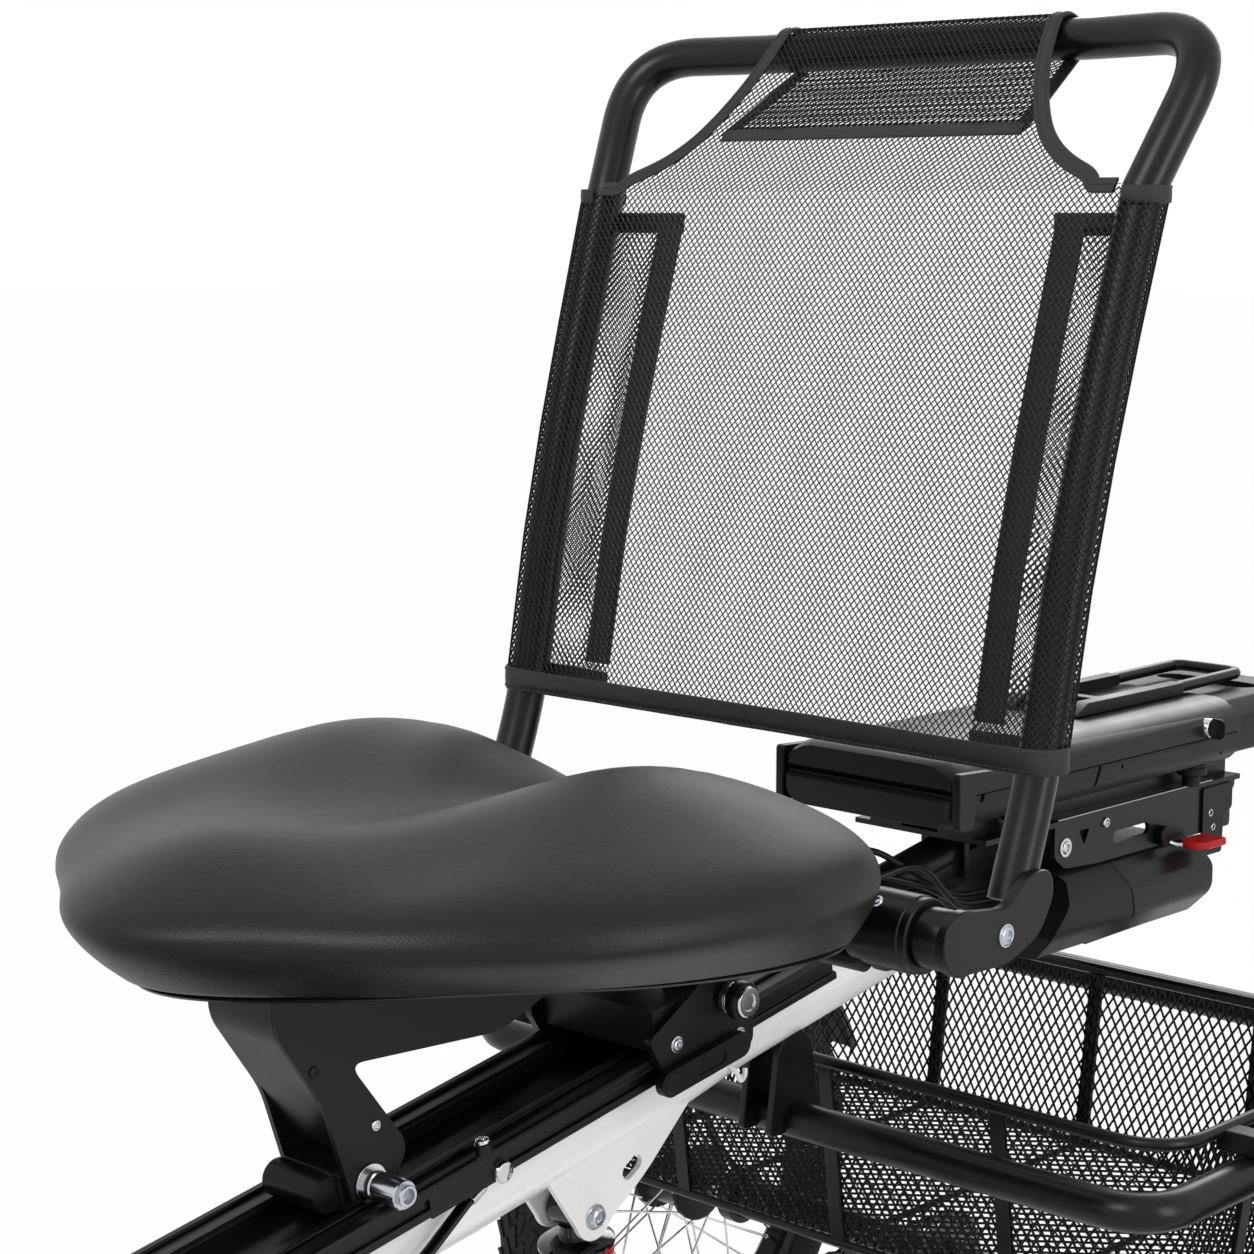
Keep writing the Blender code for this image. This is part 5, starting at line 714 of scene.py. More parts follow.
# %% Backrest tube
PIVOT = Vector((0.0, 0.225, 0.600))
BACK_TUBE = 0.014
LEG_PATH = [(0.2275, 0.2965, 0.610), (0.2275, 0.325, 0.689), (0.2290, 0.346, 0.800),
    (0.2305, 0.3655, 0.880), (0.2320, 0.3865, 0.955), (0.2345, 0.414, 1.047)]
TOP_BAR = Vector((0.0, 0.490, 1.148))
TOP_CORNER = Vector((0.2550, 0.467, TOP_BAR.z))
TOP_BEND = 0.080


def smooth_path(points, steps=5):
    """Put a Catmull-Rom curve through points."""
    points = [Vector(p) for p in points]
    path = []
    for index in range(len(points) - 1):
        before = points[max(index - 1, 0)]
        low, high = points[index], points[index + 1]
        after = points[min(index + 2, len(points) - 1)]
        for step in range(steps):
            t = step / steps
            path.append(0.5 * (2 * low + (high - before) * t
                    + (2 * before - 5 * low + 4 * high - after) * t ** 2
                    + (3 * low - before - 3 * high + after) * t ** 3))
    path.append(points[-1])
    return path


def leg_centre(z):
    """Return the left leg's centre at a height, as (x, y)."""
    for low, high in zip(LEG_PATH, LEG_PATH[1:]):
        if z <= high[2] or high is LEG_PATH[-1]:
            t = (z - low[2]) / (high[2] - low[2])
            return low[0] + (high[0] - low[0]) * t, low[1] + (high[1] - low[1]) * t


def backrest_tube():
    foot = rounded(LEG_PATH[:3], 0.045, 8)
    turn = rounded([LEG_PATH[-1], TOP_CORNER, (0.145, TOP_BAR.y, TOP_BAR.z)], TOP_BEND, 16)
    left = foot[:-1] + smooth_path(LEG_PATH[2:], 3)[:-1] + turn
    right = [Vector((-p.x, p.y, p.z)) for p in reversed(left)]
    return piece("backrest_tube", lambda bm: sweep(bm, left + right, BACK_TUBE, 32),
        BLACK_COAT, "backrest", "black_coat", "backrest_frame")


backrest_tube()

# %% Lugs, drums and their bolts
LUG_INNER, LUG_OUTER = 0.2400, 0.2475
DRUM_INNER, DRUM_OUTER, DRUM_RADIUS = 0.170, 0.220, 0.0245
CROSSBAR = 0.0155


def arc_points(y, z, radius, start, end, steps):
    return [(y + radius * math.cos(math.radians(start + (end - start) * s / steps)),
             z + radius * math.sin(math.radians(start + (end - start) * s / steps)))
            for s in range(steps + 1)]


def socket_bolt(name, place, way, head, tall, finish, body, slot, washer=0.0, recess=0.5):
    """A button or cap bolt with a socket in its head and, where it has one, a washer under it."""
    bm = bmesh.new()
    way = Vector(way).normalized()
    drop = tall * 0.55
    turned(bm, [(0.0, 0.0), (0.0, head), (tall * 0.45, head), (tall * 0.82, head * 0.90),
            (tall, head * 0.70), (tall, head * recess * 1.12), (tall - drop, head * recess * 1.02),
            (tall - drop, 0.0)], place, way, 24)
    if washer:
        turned(bm, [(-0.0002, 0.0), (-0.0002, washer), (0.0010, washer), (0.0012, head * 0.9)], place, way,
            32)
    return done(as_object(bm, name), finish, body, slot, bevel=0.0002, smooth=30.0)


def backrest_lug(side):
    """The lug plate with its round inner drum, for one side."""
    y, z = PIVOT.y, PIVOT.z
    outline = arc_points(y, z, 0.0205, 65.0, 285.0, 28)
    outline += [(p.x, p.y) for p in rounded([(y + 0.0053, z - 0.0198, 0), (y + 0.045, z - 0.021, 0),
                (y + 0.078, z - 0.008, 0), (y + 0.092, z + 0.016, 0), (y + 0.088, z + 0.032, 0),
                (y + 0.064, z + 0.032, 0), (y + 0.043, z + 0.014, 0), (y + 0.0087, z + 0.0186, 0)], 0.010,
            5)[1:-1]]
    bm = bmesh.new()
    low, high = sorted((side * LUG_INNER, side * LUG_OUTER))
    plate(bm, outline, low, high)
    name = "left" if side > 0 else "right"
    done(as_object(bm, "lug_" + name), BLACK_COAT, "backrest", "black_coat", bevel=0.0012, smooth=28.0,
         segments=3)
    start = PIVOT + Vector((side * (DRUM_OUTER + 0.0005), 0, 0))
    piece("lug_drum_" + name, lambda bm: turned(bm,
            [(0.0, 0.0), (0.0, 0.0182), (0.0008, 0.0190), (0.0195, 0.0190), (0.0203, 0.0185)], start,
            (side, 0, 0), 48), BLACK_COAT, "backrest", "black_coat", bevel=0.0004)
    place = (side * LUG_OUTER, y + 0.041, z - 0.002)
    socket_bolt("lug_bolt_" + name, place, (side, 0, 0), 0.0062, 0.0028, BRIGHT_ZINC, "backrest",
                "bright_zinc", washer=0.0074)


for side in (-1, 1):
    backrest_lug(side)

# %% [markdown]
# Between the two drums run the pivot crossbar and a thinner rod under it. Each drum is a thick tube
# end with a collar, and a flat fin carries the small stop screw that the photograph shows on its
# rim. They are spun profiles, so their steps and chamfers are real edges.

# %% Crossbar and drums
def crossbar():
    bar = [(0.0, 0.0), (0.0, CROSSBAR), (2 * DRUM_INNER + 0.008, CROSSBAR), (2 * DRUM_INNER + 0.008, 0.0)]
    return piece("pivot_crossbar", lambda bm: turned(bm, bar, PIVOT - Vector((DRUM_INNER + 0.004, 0, 0)),
            (1, 0, 0), 40), BLACK_COAT, "seat", "black_coat", "backrest_crossbar")


def under_rod():
    reach = DRUM_INNER + 0.004
    start = PIVOT + Vector((-reach, -0.003, -0.021))
    return piece("pivot_under_rod", lambda bm: turned(bm,
            [(0.0, 0.0), (0.0, 0.009), (2 * reach, 0.009), (2 * reach, 0.0)], start, (1, 0, 0), 28),
        BLACK_COAT, "seat", "black_coat")


def drum(side):
    name = "left" if side > 0 else "right"
    long = DRUM_OUTER - DRUM_INNER
    profile = [(0.0, 0.0), (0.0, DRUM_RADIUS - 0.003), (0.0015, DRUM_RADIUS - 0.0012),
               (0.010, DRUM_RADIUS - 0.0012), (0.0106, DRUM_RADIUS), (long - 0.0065, DRUM_RADIUS),
               (long - 0.0058, DRUM_RADIUS - 0.0010), (long - 0.0010, DRUM_RADIUS - 0.0010),
               (long, DRUM_RADIUS - 0.0022), (long, 0.0)]
    piece("drum_" + name, lambda bm: turned(bm, profile, PIVOT + Vector((side * DRUM_INNER, 0, 0)),
            (side, 0, 0), 64), BLACK_COAT, "seat", "black_coat", bevel=0.0004)
    y, z = PIVOT.y, PIVOT.z
    low, high = sorted((side * (DRUM_INNER + 0.004), side * (DRUM_INNER + 0.012)))
    fin = soften([(y - 0.006, z - 0.020), (y + 0.006, z - 0.031), (y + 0.020, z - 0.031),
            (y + 0.040, z - 0.026), (y + 0.020, z)], 0.006, 4)
    piece("drum_fin_" + name, lambda bm: plate(bm, fin, low, high), BLACK_COAT, "seat", "black_coat",
        bevel=0.0008)
    screw = PIVOT + Vector((side * (DRUM_INNER + 0.022), -0.0145, 0.0195))
    socket_bolt("drum_screw_" + name, screw, (0, -0.6, 0.8), 0.0042, 0.0022, BRIGHT_ZINC, "seat",
                "bright_zinc")


crossbar()
under_rod()
for side in (-1, 1):
    drum(side)

# %% [markdown]
# The cover of the backrest is a knitted polyester mesh with rhombic holes about 5 mm apart. It is drawn
# tight over both legs like a sleeve, with a flap behind each, and a tongue goes over the top bar and
# comes back to the front panel. Real mesh is made of yarns that zigzag and knot with their
# neighbours, so each yarn here is one zigzag line laid on the cover's surface. Geometry Nodes turn
# the lines into yarn, because the same tree then serves the basket's wire too.

# %% A node tree that gives lines a thickness
def geometry_tree(name, **inputs):
    """Start a Geometry Nodes tree. Each input is given as its name and kind of socket."""
    tree = bpy.data.node_groups.new(name, "GeometryNodeTree")
    for label, kind in inputs.items():
        tree.interface.new_socket(label, in_out="INPUT", socket_type="NodeSocket" + kind)
    tree.interface.new_socket("Geometry", in_out="OUTPUT", socket_type="NodeSocketGeometry")
    return tree, add(tree, "NodeGroupInput")


def strand_tree():
    """Mesh edges in, round strands with closed ends out."""
    tree, given = geometry_tree("strands_from_lines", Lines="Geometry", Radius="Float", Sides="Int",
        Finish="Material")
    lines = add(tree, "GeometryNodeMeshToCurve", {"Mesh": given.outputs["Lines"]})
    ring = add(tree, "GeometryNodeCurvePrimitiveCircle",
        {"Resolution": given.outputs["Sides"], "Radius": given.outputs["Radius"]})
    tube = add(tree, "GeometryNodeCurveToMesh",
        {"Curve": lines.outputs["Curve"], "Profile Curve": ring.outputs["Curve"], "Fill Caps": True})
    real = add(tree, "GeometryNodeRealizeInstances", {"Geometry": tube.outputs["Mesh"]})
    dyed = add(tree, "GeometryNodeSetMaterial",
        {"Geometry": real.outputs["Geometry"], "Material": given.outputs["Finish"]})
    add(tree, "NodeGroupOutput", {"Geometry": dyed.outputs["Geometry"]})
    return tree


STRANDS = strand_tree()


def grow(made, tree, **values):
    """Run an object through a tree and keep the result. Inputs are set by their sockets' identifiers."""
    step = made.modifiers.new("grow", "NODES")
    step.node_group = tree
    for item in tree.interface.items_tree:
        if item.item_type == "SOCKET" and item.in_out == "INPUT" and item.name in values:
            step[item.identifier] = values[item.name]
    return settle(made)


def grown_lines(name, lines, tree, **values):
    """Turn lines, given as lists of points, into what a tree makes of them."""
    points, edges = [], []
    for line in lines:
        first = len(points)
        points.extend(line)
        edges.extend((first + i, first + i + 1) for i in range(len(line) - 1))
    mesh = bpy.data.meshes.new(name)
    mesh.from_pydata([tuple(p) for p in points], edges, [])
    made = bpy.data.objects.new(name, mesh)
    bpy.context.scene.collection.objects.link(made)
    return grow(made, tree, **values)


def stranded(name, lines, radius, sides, finish, body, slot, stands_for=()):
    """Turn lines into one piece made of strands."""
    made = grown_lines(name, lines, STRANDS, Radius=radius, Sides=sides, Finish=finish)
    return done(made, finish, body, slot, stands_for, smooth=70.0)


def zigzags(columns, rows, place, inside=lambda u, v: True):
    """Return one zigzag line per column of a net, cut where the net ends."""
    lines = []
    for column in columns:
        run = []
        for row in rows:
            u = column + (column + row) % 2
            if inside(u, row):
                run.append(place(u, row))
                continue
            if len(run) > 1:
                lines.append(run)
            run = []
        if len(run) > 1:
            lines.append(run)
    return lines


# %% Surface of the cover
HOLE_HALF = 2.5 * MM
HOLE_ROW = 2.9 * MM
YARN_RADIUS = 0.64 * MM
COVER_OFFSET = BACK_TUBE + 0.0030
COVER_LOW, COVER_HIGH = 0.690, 1.050
FLAP_EDGE = 0.163
SAG = 0.0035
BEND_AHEAD, BEND_BEHIND = math.radians(144.5), math.radians(-57.0)
HEM_Y, HEM_Z = 0.4291, 1.088


def on_bar(angle):
    return (TOP_BAR.y + COVER_OFFSET * math.cos(angle), TOP_BAR.z + COVER_OFFSET * math.sin(angle))


def front_profile():
    """Return the (y, z) points of the front panel, over the bar and back down to the hem."""
    rows = []
    z = COVER_LOW
    while z < LEG_PATH[-1][2]:
        rows.append((leg_centre(z)[1] - COVER_OFFSET, z))
        z += 0.010
    rows.append((LEG_PATH[-1][1] - COVER_OFFSET, LEG_PATH[-1][2]))
    for step in range(13):
        rows.append(on_bar(BEND_AHEAD + (BEND_BEHIND - BEND_AHEAD) * step / 12))
    rows.append((HEM_Y, HEM_Z))
    return rows


PROFILE = front_profile()
LENGTHS = [0.0]
for low, high in zip(PROFILE, PROFILE[1:]):
    LENGTHS.append(LENGTHS[-1] + math.dist(low, high))
BAR_LENGTH = LENGTHS[-8]


def along_profile(s):
    """Return the (y, z) at a length along the front profile."""
    s = min(max(s, 0.0), LENGTHS[-1])
    for index in range(len(LENGTHS) - 1):
        if s <= LENGTHS[index + 1]:
            t = (s - LENGTHS[index]) / (LENGTHS[index + 1] - LENGTHS[index])
            (y0, z0), (y1, z1) = PROFILE[index], PROFILE[index + 1]
            return y0 + (y1 - y0) * t, z0 + (z1 - z0) * t


NECK = [(1.0480, 0.2600), (1.0520, 0.2200), (1.0570, 0.2050), (1.0640, 0.1870), (1.0720, 0.1720),
    (1.0840, 0.1570), (1.1000, 0.1450), (1.1180, 0.1350), (1.1380, 0.1270), (1.1550, 0.1230),
    (1.1700, 0.1220)]


def neck_width(z):
    """Half the width of the front panel where it narrows to the tongue."""
    for low, high in zip(NECK, NECK[1:]):
        if z <= high[0]:
            t = max(0.0, (z - low[0]) / (high[0] - low[0]))
            return low[1] + (high[1] - low[1]) * t
    return NECK[-1][1]


def front_point(x, s):
    """Return the point of the front panel at a distance across and a length up."""
    y, z = along_profile(s)
    leg = leg_centre(min(z, LEG_PATH[-1][2]))[0] if s < BAR_LENGTH else LEG_PATH[-1][0]
    share = x / LEG_PATH[0][0]
    fade = 1.0 - min(1.0, s / BAR_LENGTH) ** 6
    sag = SAG * (1.0 - share ** 2) * fade * (1.0 if s < BAR_LENGTH else 0.0)
    ripple = 0.0006 * math.sin(x * 95.0 + z * 31.0) * math.sin(z * 60.0 - x * 22.0) * fade
    return Vector((leg * share, y + max(sag, 0.0) + ripple, z))


def width_limit(s):
    """Half the cover's width at a length up: the neck's, then the tongue's, which widens to its hem."""
    if s > BAR_LENGTH:
        return NECK[-1][1] + max(0.0, (s - LENGTHS[-2]) * 0.12)
    return neck_width(along_profile(s)[1])


def sleeve_point(side, t, z):
    """Return the sleeve's point at a length t round one leg, from the front to the flap's edge."""
    x_leg, y_leg = leg_centre(z)
    half_turn = math.pi * COVER_OFFSET
    if t < half_turn:
        angle = -math.pi / 2 + t / COVER_OFFSET
        return Vector((side * (x_leg + COVER_OFFSET * math.cos(angle)),
                y_leg + COVER_OFFSET * math.sin(angle), z))
    return Vector((side * (x_leg - (t - half_turn)),
            y_leg + COVER_OFFSET - 0.10 * max(0.0, t - half_turn - 0.03), z))


# %% Yarns of the front panel, the tongue, the sleeves and the flaps
def cover_mesh():
    half = int(LEG_PATH[0][0] / HOLE_HALF)
    last_front = int(BAR_LENGTH / HOLE_ROW)
    last = int(LENGTHS[-1] / HOLE_ROW)

    def place(u, v):
        return front_point(u * HOLE_HALF, v * HOLE_ROW)

    def inside(u, v):
        return abs(front_point(u * HOLE_HALF, v * HOLE_ROW).x) <= width_limit(v * HOLE_ROW) - 0.002

    lines = zigzags(range(-half, half), range(0, last_front + 1), place, inside)
    front = stranded("backrest_mesh_front", lines, YARN_RADIUS, 3, NET_YARN, "backrest", "netting",
                     "backrest_net")
    lines = zigzags(range(-half, half), range(last_front, last + 1), place, inside)
    rear = stranded("backrest_mesh_tongue", lines, YARN_RADIUS, 3, NET_YARN, "backrest", "netting")
    height = COVER_HIGH - COVER_LOW
    rows = int(height / (HOLE_ROW * 0.96))
    lines = []
    around = math.pi * COVER_OFFSET + LEG_PATH[0][0] - FLAP_EDGE
    for side in (-1, 1):
        def place_round(u, v, side=side):
            z = COVER_LOW + height * min(v / rows, 1.0)
            return sleeve_point(side, min(u * HOLE_HALF, around), z)

        def inside_round(u, v):
            z = COVER_LOW + height * v / rows
            return u * HOLE_HALF < math.pi * COVER_OFFSET + 0.006 or z < COVER_HIGH - 0.020

        lines += zigzags(range(0, int(around / HOLE_HALF)), range(rows + 1), place_round, inside_round)
    sleeves = stranded("backrest_mesh_sleeves", lines, YARN_RADIUS, 3, NET_YARN, "backrest", "netting")
    return front, rear, sleeves


mesh_pieces = cover_mesh()
print("cover:", [len(m.data.polygons) for m in mesh_pieces], "faces")

# %% [markdown]
# Woven tape binds every cut edge. A tape is swept like a tube, but its section is flat and has to lie
# on the cloth, so each point of its path carries the surface's normal. The stitches that hold it are
# set out by Geometry Nodes along the same paths, 3.6 mm apart.

# %% Flat tape on a surface
def ribbon(bm, path, normals, wide, thick, sides=10, cyclic=False):
    """Sweep a flat rounded section along a path, with its broad side square to the normals."""
    count = len(path)
    rings = []
    for index in range(count):
        before = path[index - 1] if index or cyclic else path[index]
        after = path[(index + 1) % count] if index < count - 1 or cyclic else path[index]
        way = (after - before).normalized()
        up = (normals[index] - way * normals[index].dot(way)).normalized()
        side = way.cross(up)
        ring = []
        for step in range(sides):
            angle = 2 * math.pi * (step + 0.5) / sides
            c, s = math.cos(angle), math.sin(angle)
            ring.append(bm.verts.new(path[index]
                                     + side * (wide / 2 * math.copysign(abs(c) ** 0.35, c))
                                     + up * (thick / 2 * math.copysign(abs(s) ** 0.7, s))))
        rings.append(ring)
    for low, high in list(zip(rings, rings[1:])) + ([(rings[-1], rings[0])] if cyclic else []):
        bridge(bm, low, high)
    if not cyclic:
        bm.faces.new(list(reversed(rings[0])))
        bm.faces.new(rings[-1])


def stitch_tree():
    """Lines in, short stitches set along them out."""
    tree, given = geometry_tree("stitches_along_lines", Lines="Geometry", Spacing="Float", Length="Float",
        Radius="Float", Finish="Material")
    lines = add(tree, "GeometryNodeMeshToCurve", {"Mesh": given.outputs["Lines"]})
    spots = add(tree, "GeometryNodeCurveToPoints",
        {"Curve": lines.outputs["Curve"], "Length": given.outputs["Spacing"]}, mode="LENGTH")
    thread = add(tree, "GeometryNodeMeshCylinder",
        {"Vertices": 5, "Radius": given.outputs["Radius"], "Depth": given.outputs["Length"]},
        fill_type="NGON")
    turn = add(tree, "FunctionNodeAlignRotationToVector", {"Vector": spots.outputs["Tangent"]}, axis="Z")
    laid = add(tree, "GeometryNodeInstanceOnPoints", {"Points": spots.outputs["Points"],
                                                      "Instance": thread.outputs["Mesh"],
                                                      "Rotation": turn.outputs["Rotation"]})
    real = add(tree, "GeometryNodeRealizeInstances", {"Geometry": laid.outputs["Instances"]})
    dyed = add(tree, "GeometryNodeSetMaterial",
        {"Geometry": real.outputs["Geometry"], "Material": given.outputs["Finish"]})
    add(tree, "NodeGroupOutput", {"Geometry": dyed.outputs["Geometry"]})
    return tree


STITCHES = stitch_tree()


def stitched(name, lines, body):
    """Lay rows of stitches along lines."""
    made = grown_lines(name, lines, STITCHES, Spacing=3.6 * MM, Length=2.6 * MM,
                       Radius=0.32 * MM, Finish=SEWING)
    return done(made, SEWING, body, "netting", smooth=60.0)


# %% Bindings and hems of the cover
TAPE_WIDE, TAPE_THICK = 0.0115, 0.0026
HEM_WIDE = 0.017


def neck_line(side, inset):
    """Return the line along the cover's cut edge on the front, over the bar and down to the hem."""
    path = []
    for x in (0.2275, 0.222, 0.215, 0.210):
        path.append((x, 1.0505))
    for z, x in NECK[2:-2]:
        path.append((x, z))
    points = []
    for x, z in path:
        s = next(length for length, (y, zz) in zip(LENGTHS, PROFILE) if zz >= z or length >= BAR_LENGTH)
        for index in range(len(LENGTHS) - 1):
            if PROFILE[index][1] <= z <= PROFILE[index + 1][1]:
                t = (z - PROFILE[index][1]) / (PROFILE[index + 1][1] - PROFILE[index][1])
                s = LENGTHS[index] + (LENGTHS[index + 1] - LENGTHS[index]) * t
                break
        y, zz = along_profile(s)
        points.append((Vector((side * (x - inset), y, zz)), Vector((0, -0.81, 0.58))))
    for step in range(1, 14):
        angle = BEND_AHEAD + (BEND_BEHIND - BEND_AHEAD) * step / 13
        y, z = on_bar(angle)
        points.append((Vector((side * (0.1225 - inset), y, z)),
                Vector((0, math.cos(angle), math.sin(angle)))))
    for t in (0.3, 0.65, 1.0):
        y, z = on_bar(BEND_BEHIND)
        wide = 0.1225 + 0.010 * t - inset
        points.append((Vector((side * wide, y + (HEM_Y - y) * t, z + (HEM_Z - z) * t)),
                       Vector((0, 0.54, -0.84))))
    return points


def smoothed(points, rounds=2):
    """Ease the corners of a line of (place, normal) pairs."""
    for _ in range(rounds):
        finer = [points[0]]
        for (a, n), (b, m) in zip(points, points[1:]):
            finer.append((a * 0.75 + b * 0.25, (n * 0.75 + m * 0.25)))
            finer.append((a * 0.25 + b * 0.75, (n * 0.25 + m * 0.75)))
        points = finer + [points[-1]]
    return points


def tape(name, points, wide=TAPE_WIDE, thick=TAPE_THICK, cyclic=False):
    return piece(name, lambda bm: ribbon(bm, [p for p, n in points], [n for p, n in points], wide, thick,
            cyclic=cyclic), BINDING, "backrest", "netting", smooth=50.0)


def round_leg(side, z, start=0.0, end=None, lift=0.0):
    """Return the line round one leg at a height, from the front to the flap's inner edge."""
    end = math.pi * COVER_OFFSET + leg_centre(z)[0] - FLAP_EDGE if end is None else end
    points = []
    for step in range(25):
        t = start + (end - start) * step / 24
        spot = sleeve_point(side, t, z)
        x_leg, y_leg = leg_centre(z)
        half_turn = math.pi * COVER_OFFSET
        if t < half_turn:
            normal = Vector((spot.x - side * x_leg, spot.y - y_leg, 0.0)).normalized()
        else:
            normal = Vector((0, 1, 0))
        points.append((spot + normal * lift, normal))
    return points


def cover_tapes():
    tapes, rows = [], []
    hem_z = COVER_LOW + HEM_WIDE / 2 - 0.002
    right = round_leg(-1, hem_z)
    left = round_leg(1, hem_z)
    front = []
    for step in range(1, 24):
        x = -0.2275 + 0.455 * step / 24
        spot = front_point(x, hem_z - COVER_LOW)
        front.append((spot, Vector((0, -1, -0.2))))
    hem = list(reversed(right)) + front + left
    tapes.append(tape("cover_hem", hem, HEM_WIDE, 0.0030))
    for side, name in ((-1, "right"), (1, "left")):
        tapes.append(tape("cover_neck_tape_" + name, smoothed(neck_line(side, 0.004))))
        tapes.append(tape("cover_sleeve_tape_" + name, round_leg(side, COVER_HIGH - 0.005, -0.004, 0.0575)))
        edge = [(sleeve_point(side, math.pi * COVER_OFFSET + leg_centre(z)[0] - FLAP_EDGE - 0.012, z),
                 Vector((0, 1, 0))) for z in (COVER_LOW + 0.02 + 0.030 * k for k in range(11))]
        edge.append((sleeve_point(side, math.pi * COVER_OFFSET + leg_centre(1.032)[0] - FLAP_EDGE - 0.012,
                    1.032), Vector((0, 1, 0))))
        tapes.append(tape("flap_edge_" + name, edge, 0.024, 0.0020))
        top = round_leg(side, 1.026, math.pi * COVER_OFFSET - 0.004, lift=0.0004)
        tapes.append(tape("flap_top_" + name, top, 0.015, 0.0020))
        for shift in (0.0005, 0.0075):
            rows.append([p + n * 0.0014 for p, n in smoothed(neck_line(side, shift))])
    bottom = [(Vector((x, HEM_Y, HEM_Z)), Vector((0, 0.8, -0.6)))
              for x in (-0.131 + 0.262 * k / 16 for k in range(17))]
    tapes.append(tape("tongue_hem", bottom, 0.010, 0.0024))
    rows.append([p + Vector((0, -0.0045, 0.016)) for p, n in bottom])
    rows.append([p + n.normalized() * 0.0016 + Vector((0, 0, 0.0065)) for p, n in hem])
    rows.append([p + n.normalized() * 0.0016 + Vector((0, 0, -0.0055)) for p, n in hem])
    tapes.append(stitched("cover_stitches", rows, "backrest"))
    return tapes


tapes = cover_tapes()
list(mesh_pieces[1:]) + tapes
print("cover edges:", len(tapes), "pieces")

# %% [markdown]
# Under the saddle sits a folded sheet bracket: two side cheeks joined by a front web and a roof. Sheet
# parts are made as outlines given 4 mm of thickness and joined with a boolean, so that one bevel can
# run round every edge, as a deburred and powder-coated edge does.

# %% Joining solids and the rail's own directions
SHEET = 0.004
RAIL_TILT = math.radians(10.6)
RAIL_POINT = Vector((0.0, 0.166, 0.503))


def solid(name, *builders):
    """Build each part as its own closed form and join them all into one object."""
    parts = []
    for index, build in enumerate(builders):
        bm = bmesh.new()
        build(bm)
        parts.append(as_object(bm, name if index == 0 else name + "_part"))
    for other in parts[1:]:
        step = parts[0].modifiers.new("join", "BOOLEAN")
        step.operation = "UNION"
        step.solver = "EXACT"
        step.object = other
    if parts[1:]:
        settle(parts[0])
    for other in parts[1:]:
        bpy.data.objects.remove(other)
    return parts[0]


def cutter(build):
    bm = bmesh.new()
    build(bm)
    return as_object(bm, "cutter")


def drill(start, way, radius, long, steps=40):
    """A plain round cutter."""
    return cutter(lambda bm: turned(bm, [(0, 0), (0, radius), (long, radius), (long, 0)], start, way,
            steps))


def rail_point(u, v, x=0.0):
    """The point u along the seat rail and v above its top face."""
    along = Vector((0.0, math.cos(RAIL_TILT), math.sin(RAIL_TILT)))
    above = Vector((0.0, -math.sin(RAIL_TILT), math.cos(RAIL_TILT)))
    return RAIL_POINT + along * u + above * v + Vector((x, 0.0, 0.0))


RAIL_PLACE = Matrix.Translation(RAIL_POINT) @ Matrix.Rotation(RAIL_TILT, 4, "X")


def rail_plate(bm, outline, low, high):
    """A plate whose outline is given as (u, v) on the rail."""
    low, high = sorted((low, high))
    plate(bm, outline, low, high, "X", RAIL_PLACE)


def rail_block(bm, low, high):
    block(bm, low, high, RAIL_PLACE)


def pin(bm, start, end, radius, steps=32, chamfer=0.0006):
    """A plain round pin with chamfered ends."""
    start, end = Vector(start), Vector(end)
    long = (end - start).length
    turned(bm, [(0.0, 0.0), (0.0, radius - chamfer), (chamfer, radius), (long - chamfer, radius),
                (long, radius - chamfer), (long, 0.0)], start, end - start, steps)


# %% Seat bracket
BRACKET_HALF = 0.030
BRACKET_TOP = SADDLE_BASE - 0.0003
FOOT_U, FOOT_V = -0.226, 0.010


def seat_bracket():
    front_foot = rail_point(FOOT_U - 0.014, 0.0012)
    rear_foot = rail_point(FOOT_U + 0.016, 0.0012)
    top = BRACKET_TOP
    bends = [(-0.126, top), (-0.128, 0.576), (-0.091, 0.523), (front_foot.y, front_foot.z),
             (rear_foot.y, rear_foot.z), (-0.027, 0.487), (-0.072, 0.546), (0.048, 0.540), (0.090, 0.556),
             (0.180, 0.570), (0.2035, 0.580), (0.2035, top)]
    outline = [bends[0]]
    for index in range(1, len(bends) - 1):
        path = rounded([(*bends[index - 1], 0), (*bends[index], 0), (*bends[index + 1], 0)],
                       0.011 if index in (1, 2, 5, 6, 7, 8) else 0.004, 6)
        outline += [(p.x, p.y) for p in path[1:-1]]
    outline.append(bends[-1])
    half = BRACKET_HALF - SHEET / 2
    web = rounded([(-0.1262, top, 0), (-0.1282, 0.576, 0), (-0.0913, 0.523, 0), (-0.068, 0.490, 0)], 0.011,
        6)
    inner = [Vector((p.x + 0.0036, p.y + 0.0012, 0)) for p in web]
    section = [(p.x, p.y) for p in web] + [(p.x, p.y) for p in reversed(inner)]
    sides = [lambda bm, a=a, b=b: plate(bm, outline, a, b) for a, b in
             ((BRACKET_HALF - SHEET, BRACKET_HALF), (-BRACKET_HALF, SHEET - BRACKET_HALF))]
    made = solid("seat_bracket_sheet", *sides,
                 lambda bm: plate(bm, section, -half, half),
                 lambda bm: block(bm, (-half, -0.126, top - SHEET), (half, 0.2035, top)))
    hole = drill(rail_point(FOOT_U, FOOT_V, -0.06), (1, 0, 0), 0.0076, 0.12, 32)
    slot = cutter(lambda bm: plate(bm, stadium((0.110, 0.584), (0.160, 0.590), 0.0060), -0.05, 0.05))
    carve(made, hole, slot)
    return done(made, CAST_BLACK, "seat", "black_coat", "seat_bracket", bevel=0.0009, smooth=30.0,
        segments=3)


